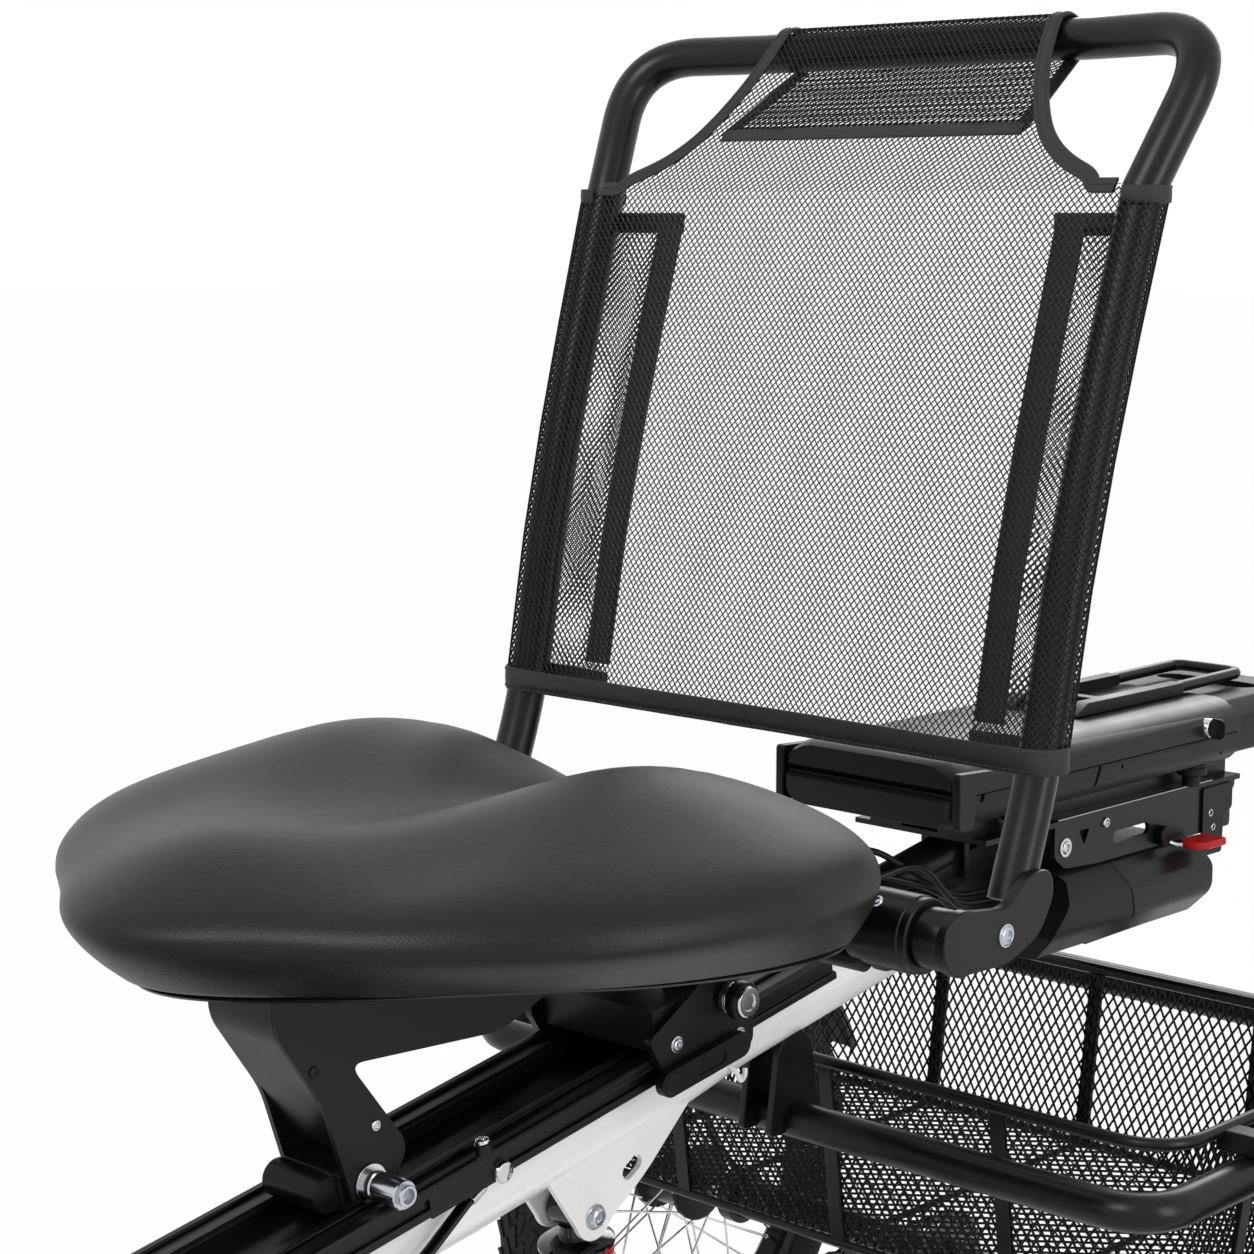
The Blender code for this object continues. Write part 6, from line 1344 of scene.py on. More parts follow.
seat_bracket()
for number, (y, z) in enumerate(((-0.0990, 0.5475), (-0.0530, 0.5050))):
    socket_bolt("bracket_rivet_%d" % number, (BRACKET_HALF, y, z), (1, 0, 0), 0.0036, 0.0015,
                BRIGHT_ZINC if number else CAST_BLACK, "seat", "bright_zinc")
print("bracket done")

# %% [markdown]
# The bracket's front foot hangs on a hinge pin with a bright stepped barrel and a deep socket. The
# front slider is a small block with a rounded nose that runs on both rails.

# %% Front slider and hinge pin
def front_slider():
    rest = [(FOOT_U - 0.020, 0.0002), (FOOT_U + 0.022, 0.0002), (FOOT_U + 0.022, 0.016),
        (FOOT_U + 0.014, 0.022), (FOOT_U - 0.016, 0.022), (FOOT_U - 0.020, 0.019)]
    made = solid("front_slider_block", lambda bm: rail_plate(bm, soften(rest, 0.003), -0.0254,
            0.0254), lambda bm: pin(bm, rail_point(FOOT_U - 0.026, 0.0125, -0.024),
            rail_point(FOOT_U - 0.026, 0.0125, 0.024), 0.0115, 40))
    carve(made, drill(rail_point(FOOT_U, FOOT_V, -0.06), (1, 0, 0), 0.0079, 0.12, 32))
    done(made, BLACK_ANODISED, "seat", "black_aluminium", "seat_slider_front", bevel=0.0008, smooth=30.0)


def hinge_pin():
    start = rail_point(FOOT_U, FOOT_V, -0.0360)
    piece("hinge_pin", lambda bm: turned(bm, [(0.0, 0.0), (0.0, 0.0078), (0.0010, 0.0088), (0.0052, 0.0088),
                (0.0056, 0.0072), (0.0664, 0.0072), (0.0664, 0.0080), (0.0672, 0.0090), (0.0740, 0.0090),
                (0.0746, 0.0081), (0.0762, 0.0081), (0.0768, 0.0090), (0.0960, 0.0090), (0.0968, 0.0084),
                (0.0968, 0.0066), (0.0996, 0.0066), (0.1000, 0.0062), (0.1000, 0.0046), (0.0950, 0.0043),
                (0.0950, 0.0)], start, (1, 0, 0), 48), BRIGHT_ZINC, "seat", "bright_zinc", "seat_pin",
        smooth=28.0)
    piece("hinge_pin_washer", lambda bm: hollow(bm,
            [(0.0, 0.0074), (0.0, 0.0118), (0.0014, 0.0118), (0.0014, 0.0074)],
            rail_point(FOOT_U, FOOT_V, 0.0304), (1, 0, 0), 40), POLISHED_STEEL, "seat", "bright_zinc",
        bevel=0.0002)


front_slider()
hinge_pin()

# %% [markdown]
# Two extruded aluminium rails carry the seat. Extrusions have one section all along, so the section is
# drawn once, with its side groove, its top slot and its small lips, and given the rail's length.

# %% Seat rails
RAIL_FRONT, RAIL_REAR = -0.475, 0.180


def rail_section(side):
    """The section of one rail, as (x, v) points."""
    points = [(0.0240, -0.0188), (0.0250, -0.0200), (0.0488, -0.0200), (0.0500, -0.0190), (0.0500, -0.0150),
              (0.0494, -0.0142), (0.0470, -0.0138), (0.0470, -0.0082), (0.0494, -0.0078), (0.0500, -0.0070),
              (0.0500, -0.0030), (0.0488, -0.0010), (0.0472, 0.0), (0.0426, 0.0), (0.0420, -0.0008),
              (0.0420, -0.0045), (0.0322, -0.0045), (0.0322, -0.0008), (0.0316, 0.0), (0.0262, 0.0),
              (0.0240, -0.0022)]
    return [(side * x, v) for x, v in points]


def seat_rails():
    for side, name in SIDES:
        piece("seat_rail_" + name, lambda bm: plate(bm, rail_section(side), RAIL_FRONT, RAIL_REAR, "Y",
                RAIL_PLACE), DRAWN_RAIL, "frame", "black_aluminium", "seat_rails" if side > 0 else (),
            bevel=0.0004, smooth=20.0, segments=2)
        low, high = sorted((side * 0.0330, side * 0.0412))
        piece("seat_rail_strip_" + name, lambda bm: plate(bm,
                [(low, -0.0044), (high, -0.0044), (high, -0.0024), (low, -0.0024)], RAIL_FRONT + 0.004,
                RAIL_REAR - 0.004, "Y", RAIL_PLACE), ABS_SMOOTH, "frame", "matt_plastic", bevel=0.0003)
    piece("seat_rail_web", lambda bm: plate(bm,
            [(-0.0245, -0.0145), (0.0245, -0.0145), (0.0245, -0.0116), (-0.0245, -0.0116)], RAIL_FRONT,
            RAIL_REAR, "Y", RAIL_PLACE), BLACK_ANODISED, "frame", "black_aluminium", bevel=0.0004)


seat_rails()
for side in (-1, 1):
    socket_bolt("rail_bolt_" + ("left" if side > 0 else "right"),
        rail_point(-0.430, -0.0110, side * 0.0470), (side, 0, 0), 0.0042, 0.0042,
        BRIGHT_ZINC, "frame", "bright_zinc")
print("rails done")

# %% [markdown]
# The rear slider clamps the rail from both sides. It is an aluminium block between two cheeks, with
# ears that hold the pivot crossbar. A threaded clamp rod comes out on the rider's left and ends in a
# knurled nut, and a cast lever below it releases the seat.

# %% Rear slider
PIVOT_U = (PIVOT - RAIL_POINT).dot(Vector((0, math.cos(RAIL_TILT), math.sin(RAIL_TILT))))
PIVOT_V = (PIVOT - RAIL_POINT).dot(Vector((0, -math.sin(RAIL_TILT), math.cos(RAIL_TILT))))


def rear_slider():
    cheek = [(-0.0124, 0.0155), (0.0388, 0.0334), (0.0500, 0.0440), (0.0750, 0.0310), (0.0870, 0.0050),
             (0.0827, -0.0250), (0.0038, -0.0231)]
    ear = [(0.030, 0.026), (0.088, 0.026), (0.0940, PIVOT_V - 0.012)]
    ear += arc_points(PIVOT_U, PIVOT_V, 0.0193, -20, 200, 20)
    parts = [lambda bm: rail_block(bm, (-0.0514, 0.0, 0.0008), (0.0514, 0.078, 0.030))]
    for side in (-1, 1):
        parts.append(lambda bm, s=side: rail_plate(bm, soften(cheek, 0.008, 5), s * 0.0512, s * 0.0572))
        parts.append(lambda bm, s=side: rail_plate(bm, ear, s * 0.0303, s * 0.0363))
    made = solid("rear_slider_body", *parts)
    tunnel = drill(PIVOT - Vector((0.08, 0, 0)), (1, 0, 0), CROSSBAR + 0.0002, 0.16)
    under = drill(PIVOT + Vector((-0.08, -0.003, -0.021)), (1, 0, 0), 0.0092, 0.16, 28)
    carve(made, tunnel, under)
    done(made, CAST_BLACK, "seat", "black_aluminium", "seat_slider_rear", bevel=0.0010, smooth=30.0,
        segments=3)
    for number, (u, v) in enumerate(((0.012, 0.004), (0.074, 0.016), (0.070, -0.014))):
        socket_bolt("slider_bolt_%d" % number, rail_point(u, v, 0.0572), (1, 0, 0), 0.0042, 0.0026,
                    BRIGHT_ZINC, "seat", "bright_zinc", washer=0.0056 if number != 1 else 0.0)


CLAMP_U, CLAMP_V = 0.062, 0.017


def clamp_nut():
    start = rail_point(CLAMP_U, CLAMP_V, 0.0575)
    piece("clamp_nut", lambda bm: turned(bm, [(0.0, 0.0), (0.0, 0.0050), (0.0020, 0.0050), (0.0022, 0.0100),
                (0.0062, 0.0105), (0.0066, 0.0092), (0.0092, 0.0092), (0.0096, 0.0103), (0.0196, 0.0103),
                (0.0206, 0.0094), (0.0206, 0.0058), (0.0196, 0.0055), (0.0196, 0.0)], start, (1, 0, 0), 48),
        POLISHED_STEEL, "seat", "bright_zinc", "clamp_bolt", bevel=0.0002, smooth=28.0)
    piece("clamp_nut_collar", lambda bm: hollow(bm,
            [(0.0, 0.0104), (0.0, 0.0122), (0.0008, 0.0128), (0.0072, 0.0128), (0.0080, 0.0122),
                (0.0080, 0.0104)], start + Vector((0.0098, 0, 0)), (1, 0, 0), 48),
        ABS_SMOOTH, "seat", "matt_plastic", smooth=40.0)


rear_slider()
clamp_nut()
LEVER_U, LEVER_V = -0.004, -0.0155


def release_lever():
    """The cast lever with its oval recess and rounded end."""
    body = stadium((LEVER_U, LEVER_V), (0.064, -0.0165), 0.0085, 12)
    made = solid("release_lever_arm", lambda bm: rail_plate(bm, body, 0.0580, 0.0650), lambda bm: pin(bm,
            rail_point(LEVER_U, LEVER_V, 0.0578), rail_point(LEVER_U, LEVER_V, 0.0660), 0.0062, 32))
    recess = cutter(lambda bm: rail_plate(bm, stadium((0.022, -0.0160), (0.044, -0.0163), 0.0046, 10),
            0.0638, 0.0660))
    carve(made, recess)
    done(made, CAST_BLACK, "seat_lever", "black_aluminium", "seat_release_lever", bevel=0.0014, smooth=30.0,
         segments=3)


release_lever()

# %% [markdown]
# The white frame is one welded part: a thick main tube right under the rail, its bend up to the head
# tube, the crank shell and its neck. They are joined by a boolean, and the bevel that runs along the
# cut edges gives the joints the small fillet of a weld. The tube necks down towards its rear end.

# %% White frame
TUBE_DROP = 0.0465
CRANK_AXIS = Vector((0.0, -0.330, 0.320))
SHOCK_TOP = Vector((0.0, 0.140, 0.395))
SHOCK_FOOT = Vector((0.0, 0.160, 0.272))
FRONT_AXLE = Vector((0.0, -0.675, 0.25))
REAR_AXLE = Vector((0.0, 0.635, 0.203))
X_AXIS = Vector((1, 0, 0))
HEAD_TILT = math.radians(15.0)
FORK_OFFSET = 0.04


def head_point(s, ahead=0.0, x=0.0):
    """The point s up the steering axis and ahead of it. The front axle is at s = 0, FORK_OFFSET ahead."""
    up = Vector((0.0, math.sin(HEAD_TILT), math.cos(HEAD_TILT)))
    forward = Vector((0.0, -math.cos(HEAD_TILT), math.sin(HEAD_TILT)))
    return Vector((x, *FRONT_AXLE.yz)) + up * s + forward * (ahead - FORK_OFFSET)


def tube_centre(u):
    return rail_point(u, -TUBE_DROP)


def under_tube(y):
    """Height of the main tube's underside."""
    centre = tube_centre(0.0)
    return centre.z + (y - centre.y) * math.tan(RAIL_TILT) - 0.026 / math.cos(RAIL_TILT)


def main_tube(bm):
    low_corner = Vector((0.0, -0.350, tube_centre(-0.535).z))
    bends = rounded([tube_centre(0.035), low_corner, (0.0, -0.430, 0.530), head_point(0.4458)], 0.070, 10)
    neck = [(0.340, 0.0216), (0.338, 0.0225), (0.130, 0.0225), (0.118, 0.0227), (0.100, 0.0234),
        (0.066, 0.0252), (0.048, 0.0259)]
    path = [tube_centre(u) for u, radius in neck] + bends
    sweep(bm, path, [radius for u, radius in neck] + [0.026] * len(bends), 40, hint=(1, 0, 0))


def head_tube(bm):
    hollow(bm, [(0.0, 0.0146), (0.0, 0.0245), (0.0090, 0.0248), (0.0120, 0.0230), (0.1330, 0.0230),
                (0.1360, 0.0248), (0.1450, 0.0245), (0.1450, 0.0146)],
           head_point(0.366), head_point(1.0) - head_point(0.0), 48)


def white_frame():
    far = Vector((1, 0, 0))
    made = solid("frame_weldment", main_tube, lambda bm: turned(bm,
            [(0, 0), (0, 0.0220), (0.145, 0.0220), (0.145, 0)], head_point(0.366),
            head_point(1.0) - head_point(0.0), 48),
        head_tube, lambda bm: pin(bm, CRANK_AXIS, CRANK_AXIS + Vector((0.0, 0.012, 0.046)), 0.018,
            32), lambda bm: pin(bm, CRANK_AXIS - far * 0.040, CRANK_AXIS + far * 0.040, 0.021,
            40), lambda bm: pin(bm, CRANK_AXIS - far * 0.060, CRANK_AXIS + far * 0.060, 0.018, 40))
    carve(made, drill(head_point(0.35), head_point(1.0) - head_point(0.0), 0.0146, 0.18),
          drill(CRANK_AXIS - far * 0.1, far, 0.0106, 0.2, 32))
    done(made, WHITE_ENAMEL, "frame", "white_enamel", "main_frame", bevel=0.0022, smooth=28.0, segments=3)
    for number, u in enumerate((-0.430, -0.150, 0.110)):
        piece("rail_saddle_%d" % number, lambda bm: rail_block(bm, (-0.038, u - 0.012, -0.0245),
                (0.038, u + 0.012, -0.0203)), BLACK_COAT, "frame", "black_coat", bevel=0.0008)


def shock_gusset():
    """The two plates that hang under the tube and hold the shock's upper eye."""
    lobe = arc_points(SHOCK_TOP.y, SHOCK_TOP.z, 0.016, -160.0, -20.0, 16)
    outline = [(0.098, under_tube(0.098) + 0.012)] + lobe
    outline += [(p.x, p.y) for p in rounded([(*lobe[-1], 0), (0.188, 0.412, 0),
                (0.232, under_tube(0.232) + 0.011, 0)], 0.014, 6)[1:]]
    for side, name in SIDES:
        made = solid("gusset_" + name, lambda bm: plate(bm, outline,
                *sorted((side * 0.0155, side * 0.0205))))
        carve(made, cutter(lambda bm: plate(bm, stadium((0.1715, 0.4170), (0.1790, 0.4215), 0.0052, 12),
                    -0.03, 0.03)))
        done(made, WHITE_ENAMEL, "frame", "white_enamel", bevel=0.0009, smooth=28.0, segments=3)
    socket_bolt("shock_bolt", SHOCK_TOP + Vector((0.0205, 0, 0)), (1, 0, 0), 0.0068, 0.0050, BRIGHT_ZINC,
                "frame", "bright_zinc", washer=0.0085, recess=0.58)
    socket_bolt("shock_nut", SHOCK_TOP - Vector((0.0205, 0, 0)), (-1, 0, 0), 0.0066, 0.0050, BRIGHT_ZINC,
                "frame", "bright_zinc", washer=0.0085)


white_frame()
shock_gusset()
print("white frame done")

# %% [markdown]
# The shock has an upper eye, a damper body, a red preload ring and a coil of round wire. When the shock
# shortens, the whole coil flattens towards its upper seat.

# %% Shock and coil
SHOCK_WAY = (SHOCK_FOOT - SHOCK_TOP).normalized()
SHOCK_LONG = (SHOCK_FOOT - SHOCK_TOP).length
COIL_RADIUS = 0.0222
COIL_WIRE = 0.0030
COIL_TURNS = 6
COIL_START, COIL_END = 0.0316, SHOCK_LONG - 0.0168


def shock_point(s):
    return SHOCK_TOP + SHOCK_WAY * s


def shock_parts():
    eye = 0.0128
    made = solid("shock_body_cast", lambda bm: pin(bm, SHOCK_TOP - Vector((eye, 0, 0)),
            SHOCK_TOP + Vector((eye, 0, 0)), 0.0118, 40), lambda bm: turned(bm,
            [(0.0, 0.0), (0.0, 0.0104), (0.0100, 0.0110), (0.0120, 0.0235), (0.0135, 0.0255),
                (0.0155, 0.0255), (0.0160, 0.0118), (0.0690, 0.0115), (0.0700, 0.0105), (0.0700, 0.0)],
            shock_point(0.0085), SHOCK_WAY, 48))
    done(made, GLOSS_BLACK, "shock", "black_coat", "shock_body", bevel=0.0006, smooth=30.0)
    piece("preload_ring_red", lambda bm: hollow(bm,
            [(0.0, 0.0120), (0.0, 0.0234), (0.0007, 0.0243), (0.0020, 0.0243), (0.0026, 0.0232),
                (0.0034, 0.0232), (0.0040, 0.0243), (0.0056, 0.0243), (0.0064, 0.0234), (0.0064, 0.0120)],
            shock_point(0.0244), SHOCK_WAY, 56), RED_PLASTIC, "shock", "red_plastic", "preload_ring",
        bevel=0.0002)
    lower = solid("shock_rod_steel", lambda bm: pin(bm, shock_point(0.070), shock_point(SHOCK_LONG - 0.010),
            0.0050, 24), lambda bm: turned(bm, [(0.0, 0.0), (0.0, 0.0232), (0.0010, 0.0252),
                (0.0036, 0.0252), (0.0046, 0.0236), (0.0060, 0.0090), (0.0110, 0.0086), (0.0110, 0.0)],
            shock_point(SHOCK_LONG - 0.0165), SHOCK_WAY, 48), lambda bm: pin(bm,
            SHOCK_FOOT - Vector((eye, 0, 0)), SHOCK_FOOT + Vector((eye, 0, 0)), 0.0100, 32))
    done(lower, GLOSS_BLACK, "shock_lower", "black_coat", "shock_rod", bevel=0.0004, smooth=30.0)


def coil():
    side, up = across(SHOCK_WAY)
    low, high = COIL_START + COIL_WIRE, COIL_END - COIL_WIRE
    steps = 28
    count = COIL_TURNS * steps
    path = []
    for index in range(count + 1):
        share = index / count
        flat = min(1.0, index / steps, (count - index) / steps)
        level = share if flat == 1.0 else (share * flat if index < steps else 1.0 - (1.0 - share) * flat)
        angle = 2 * math.pi * index / steps
        path.append(shock_point(low + (high - low) * level)
                    + (side * math.cos(angle) + up * math.sin(angle)) * COIL_RADIUS)
    bm = bmesh.new()
    sweep(bm, path, COIL_WIRE, 14)
    made = as_object(bm, "shock_coil")
    done(made, GLOSS_BLACK, "shock", "black_coat", "shock_spring", smooth=50.0)
    tuple(shock_point(COIL_START))
    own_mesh(made)


shock_parts()
coil()

# %% [markdown]
# The rear frame is one closed tube hoop: cross tube, side arms and rear bar. Two lug plates are
# welded between it and the white tube. The hoop is swept once round, so that it has no seams at its bends.

# %% Rear frame
ARM_SPREAD = 0.305
CROSS_Y, CROSS_Z = 0.345, 0.410


def rear_hoop():
    corners = [(-ARM_SPREAD, CROSS_Y, CROSS_Z), (ARM_SPREAD, CROSS_Y, CROSS_Z),
        (ARM_SPREAD, 0.800, CROSS_Z), (-ARM_SPREAD, 0.800, CROSS_Z)]
    piece("rear_hoop", lambda bm: sweep(bm, rounded(corners, 0.040, 12, cyclic=True), 0.0130, 28,
            cyclic=True, hint=(0, 0, 1)), BLACK_COAT, "frame", "black_coat", "rear_frame", smooth=50.0)
    low, high = CROSS_Z - 0.008, under_tube(CROSS_Y) + 0.011
    lug = soften([(CROSS_Y - 0.027, low), (CROSS_Y + 0.027, low), (CROSS_Y + 0.018, high - 0.010),
            (CROSS_Y + 0.007, high), (CROSS_Y - 0.007, high), (CROSS_Y - 0.018, high - 0.010)], 0.006, 6)
    for side, name in SIDES:
        piece("hoop_lug_" + name, lambda bm: plate(bm, lug, *sorted((side * 0.0100, side * 0.0150))),
            BLACK_COAT, "frame", "black_coat", bevel=0.0009)


rear_hoop()

# %% [markdown]
# The basket has a thick rim wire, a thinner floor ring, flat bands down its walls and four hooks over
# the arms. Its draw, how far the walls lean in, is one number shared by frame and mesh.

# %% Basket frame
BASKET = {"wide": 0.285, "front": 0.395, "rear": 0.735, "rim": 0.437, "floor": 0.298, "draw": 0.018,
          "bend": 0.045}


def basket_ring(z, inset=0.0, steps=10):
    """The rounded rectangle of the basket's wall at a height."""
    share = (BASKET["rim"] - z) / (BASKET["rim"] - BASKET["floor"])
    move = BASKET["draw"] * share + inset
    wide, front, rear = BASKET["wide"] - move, BASKET["front"] + move, BASKET["rear"] - move
    return rounded([(-wide, front, z), (wide, front, z), (wide, rear, z), (-wide, rear, z)], BASKET["bend"],
                   steps, cyclic=True)


def basket_band(bm, top, foot, out):
    """One flat band of a wall, from rim to floor ring."""
    top, foot = Vector(top), Vector(foot)
    way = foot - top
    along = Vector((-out[1], out[0], 0.0))
    place = Matrix.Identity(4)
    for column, axis in enumerate((along, along.cross(way.normalized()), way.normalized())):
        for row in range(3):
            place[row][column] = axis[row]
    place.translation = top
    block(bm, (-0.006, -0.0020, 0.0), (0.006, 0.0020, way.length), place)


def basket_wires():
    bm = bmesh.new()
    sweep(bm, basket_ring(BASKET["rim"]), 0.0045, 16, cyclic=True)
    rim = as_object(bm, "basket_rim")
    done(rim, BLACK_COAT, "frame", "black_coat", "basket_frame", smooth=50.0)
    bm = bmesh.new()
    sweep(bm, basket_ring(BASKET["floor"]), 0.0035, 14, cyclic=True)
    for x in (-0.150, 0.0, 0.150):
        sweep(bm, [(x, BASKET["front"] + 0.018, BASKET["floor"]),
                (x, BASKET["rear"] - 0.018, BASKET["floor"])], 0.0025, 12)
    done(as_object(bm, "basket_floor_ring"), BLACK_COAT, "frame", "black_coat", smooth=50.0)
    bm = bmesh.new()
    rim_z, floor_z, draw = BASKET["rim"], BASKET["floor"], BASKET["draw"]
    for wall, out in ((BASKET["front"], -1), (BASKET["rear"], 1)):
        for x in (-0.150, 0.0, 0.150):
            basket_band(bm, (x, wall, rim_z), (x, wall - out * draw, floor_z), (0, out))
    for side in (-1, 1):
        for y in (0.505, 0.625):
            basket_band(bm, (side * BASKET["wide"], y, rim_z), (side * (BASKET["wide"] - draw), y, floor_z),
                (side, 0))
    done(as_object(bm, "basket_bands"), BLACK_COAT, "frame", "black_coat", bevel=0.0008)
    bm = bmesh.new()
    for side in (-1, 1):
        for y in (0.465, 0.665):
            low, high = sorted((side * 0.282, side * 0.315))
            block(bm, (low, y - 0.009, 0.4233), (high, y + 0.009, 0.4385))
    done(as_object(bm, "basket_hooks"), BLACK_COAT, "frame", "black_coat", bevel=0.0018)


basket_wires()

# %% [markdown]
# The basket's walls are expanded wire mesh: rhombs about 9 mm wide and 14 mm tall. One lattice runs
# right round the rounded corners. It is the same strand tree as the net, with thicker wire. On the
# floor the rhombs are twice as wide.

# %% Basket mesh
BASKET_CELL = (8.8 * MM, 14.0 * MM)
BASKET_WIRE = 1.05 * MM


def ring_lengths(ring):
    lengths = [0.0]
    for index in range(len(ring)):
        lengths.append(lengths[-1] + (ring[(index + 1) % len(ring)] - ring[index]).length)
    return lengths


def basket_walls():
    low, high = BASKET["floor"] + 0.0040, BASKET["rim"] - 0.0040
    rows = 2 * round((high - low) / BASKET_CELL[1])
    levels = [basket_ring(low + (high - low) * row / rows, 0.0030, 8) for row in range(rows + 1)]
    marks = ring_lengths(levels[-1])
    columns = 2 * round(marks[-1] / BASKET_CELL[0])

    def wall_point(u, row):
        share = (u % columns) / columns * marks[-1]
        index = max(i for i in range(len(marks) - 1) if marks[i] <= share + 1e-9)
        part = (share - marks[index]) / (marks[index + 1] - marks[index])
        ring = levels[row]
        return ring[index % len(ring)].lerp(ring[(index + 1) % len(ring)], part)

    lines = zigzags(range(columns), range(rows + 1), wall_point)
    stranded("basket_mesh_walls", lines, BASKET_WIRE, 5, NET_WIRE, "frame", "black_coat",
             ("basket_net_front", "basket_net_rear", "basket_net_left", "basket_net_right"))
    wide, front, rear = BASKET["wide"] - 0.021, BASKET["front"] + 0.021, BASKET["rear"] - 0.021
    across_count = 2 * round(2 * wide / BASKET_CELL[0] / 2)
    along_count = 2 * round((rear - front) / BASKET_CELL[1])

    def floor_point(u, row):
        return Vector((-wide + 2 * wide * u / across_count, front + (rear - front) * row / along_count,
                       BASKET["floor"] + 0.0042))

    def on_floor(u, row):
        place = floor_point(u, row)
        corner = (abs(place.x) - (wide - 0.040), max(front + 0.040 - place.y, place.y - rear + 0.040))
        if 0 > u or u > across_count:
            return False
        return min(corner) <= 0 or math.hypot(*corner) < 0.041

    lines = zigzags(range(across_count + 1), range(along_count + 1), floor_point, on_floor)
    stranded("basket_mesh_floor", lines, BASKET_WIRE, 5,
        NET_WIRE, "frame", "black_coat", "basket_net_floor")
    print("basket mesh:", columns, "columns round,", rows // 2, "rhombs tall")


basket_walls()

# %% [markdown]
# The battery is a long moulded housing: a case with a drawn-in lower edge, a crowned lid with sloped
# sides, and an end section with a hand slot. The mould's parting line is a real gap between the two
# shells, and the small slots and screw holes are cut out.

# %% Battery housing
BATTERY = {"half": 0.080, "front": 0.435, "seam": 0.805, "rear": 0.9245, "low": 0.607, "line": 0.6315,
           "high": 0.656}


def long_shell(bm, section, front, rear, nose=0.0, drop=0.0):
    """Loft a section along the battery. It draws in over the first few millimetres, as a moulding does."""
    stations = [(front, 1.0 - nose * 0.75, drop), (front + 0.004, 1.0 - nose * 0.35, drop * 0.4),
        (front + 0.012, 1.0 - nose * 0.06, drop * 0.05), (front + 0.022, 1.0, 0.0), (rear, 1.0, 0.0)]
    middle = sum(z for x, z in section) / len(section)
    rings = [[bm.verts.new((x * share, y, middle + (z - middle) * (1.0 - fall))) for x, z in section]
             for y, share, fall in stations]
    for low, high in zip(rings, rings[1:]):
        bridge(bm, low, high)
    bm.faces.new(rings[0])
    bm.faces.new(rings[-1])


def battery_shells():
    half, low, line, high = (BATTERY[k] for k in ("half", "low", "line", "high"))
    case = soften([(-half + 0.010, low), (half - 0.010, low), (half - 0.0015, low + 0.009),
            (half, line - 0.0004), (-half, line - 0.0004), (-half + 0.0015, low + 0.009)], 0.0035, 4)
    made = solid("battery_case_moulding", lambda bm: long_shell(bm, case, BATTERY["front"], 0.8048, 0.12,
            0.2), lambda bm: block(bm, (-0.0150, 0.515, low - 0.010), (0.0150, 0.785, low + 0.004)))
    holes = [lambda bm: plate(bm, stadium((0.4675, 0.6270), (0.4690, 0.6300), 0.0022, 6), 0.0770, 0.09),
             lambda bm: plate(bm, stadium((0.6085, 0.6165), (0.6125, 0.6285), 0.0017, 6), 0.0770, 0.09),
             lambda bm: plate(bm, arc_points(0.642, 0.6255, 0.0016, 0, 345, 15), 0.0770, 0.09),
             lambda bm: plate(bm, stadium((0.7800, 0.6155), (0.7815, 0.6135), 0.0019, 6), 0.0770, 0.09)]
    carve(made, *[cutter(hole) for hole in holes])
    done(made, ABS_BLACK, "battery", "matt_plastic", "battery_case", bevel=0.0006, smooth=30.0)
    lid = [(-half, line), (half, line), (half, line + 0.0105), (half - 0.0035, line + 0.0150),
        (half - 0.0150, high - 0.0022), (half - 0.0230, high - 0.0004), (0.0, high),
        (-half + 0.0230, high - 0.0004), (-half + 0.0150, high - 0.0022), (-half + 0.0035, line + 0.0150),
        (-half, line + 0.0105)]
    made = solid("battery_lid_moulding", lambda bm: long_shell(bm, lid, 0.438, 0.8048, 0.12, 0.35))
    carve(made, drill((0.060, 0.760, 0.639), (1, 0, 0), 0.0081, 0.04, 32))
    done(made, ABS_SMOOTH, "battery", "matt_plastic", "battery_lid", bevel=0.0009, smooth=20.0, segments=3)
    piece("battery_seal", lambda bm: block(bm, (-half + 0.0035, 0.442, line - 0.0010),
            (half - 0.0035, 0.8040, line + 0.0006)), GRIP_RUBBER, "battery", "matt_plastic")


def battery_handle():
    """The moulded pull on each front corner: a broad shoulder on a narrower rib."""
    outline = soften([(0.4362, 0.6080), (0.4540, 0.6080), (0.4550, 0.6320), (0.4600, 0.6365),
            (0.4740, 0.6380), (0.4760, 0.6475), (0.4380, 0.6495), (0.4362, 0.6475)], 0.0056, 8)
    for side, name in SIDES:
        piece("battery_pull_" + name, lambda bm: plate(bm, outline,
                *sorted((side * 0.0770, side * 0.0838))), ABS_SMOOTH, "battery", "matt_plastic",
            bevel=0.0032, smooth=40.0, segments=5)


def battery_end():
    half = 0.074
    section = soften([(-half, 0.6135), (-half + 0.004, 0.611), (half - 0.004, 0.611), (half, 0.6135),
                      (half, 0.640), (half - 0.014, 0.6522), (0.0, 0.653), (-half + 0.014, 0.6522),
                      (-half, 0.640)], 0.002, 3)
    bm = bmesh.new()
    plate(bm, section, 0.8053, 0.9242, "Y")
    made = as_object(bm, "battery_end_moulding")
    slot = cutter(lambda bm: plate(bm, stadium((-0.033, 0.882), (0.033, 0.882), 0.0123, 12), 0.60,
            0.67, "Z"))
    lamp = cutter(lambda bm: block(bm, (-0.0303, 0.9185, 0.6217), (0.0303, 0.94, 0.6423)))
    carve(made, slot, lamp)
    done(made, ABS_BLACK, "battery", "matt_plastic", "battery_tail", bevel=0.0020, smooth=30.0, segments=3)
    piece("tail_lamp_lens", lambda bm: block(bm, (-0.0300, 0.9188, 0.6220), (0.0300, 0.9248, 0.6420)),
        RED_LENS, "battery", "red_plastic", "tail_light", bevel=0.0018, segments=3)


battery_shells()
battery_handle()
battery_end()
print("battery done")

# %% [markdown]
# On the lid lies a small carrier: two flat bars with their ends turned down, a cross link and a bent
# wire hoop at the rear. The key, with its flat bow, sits in the lock's bright barrel.

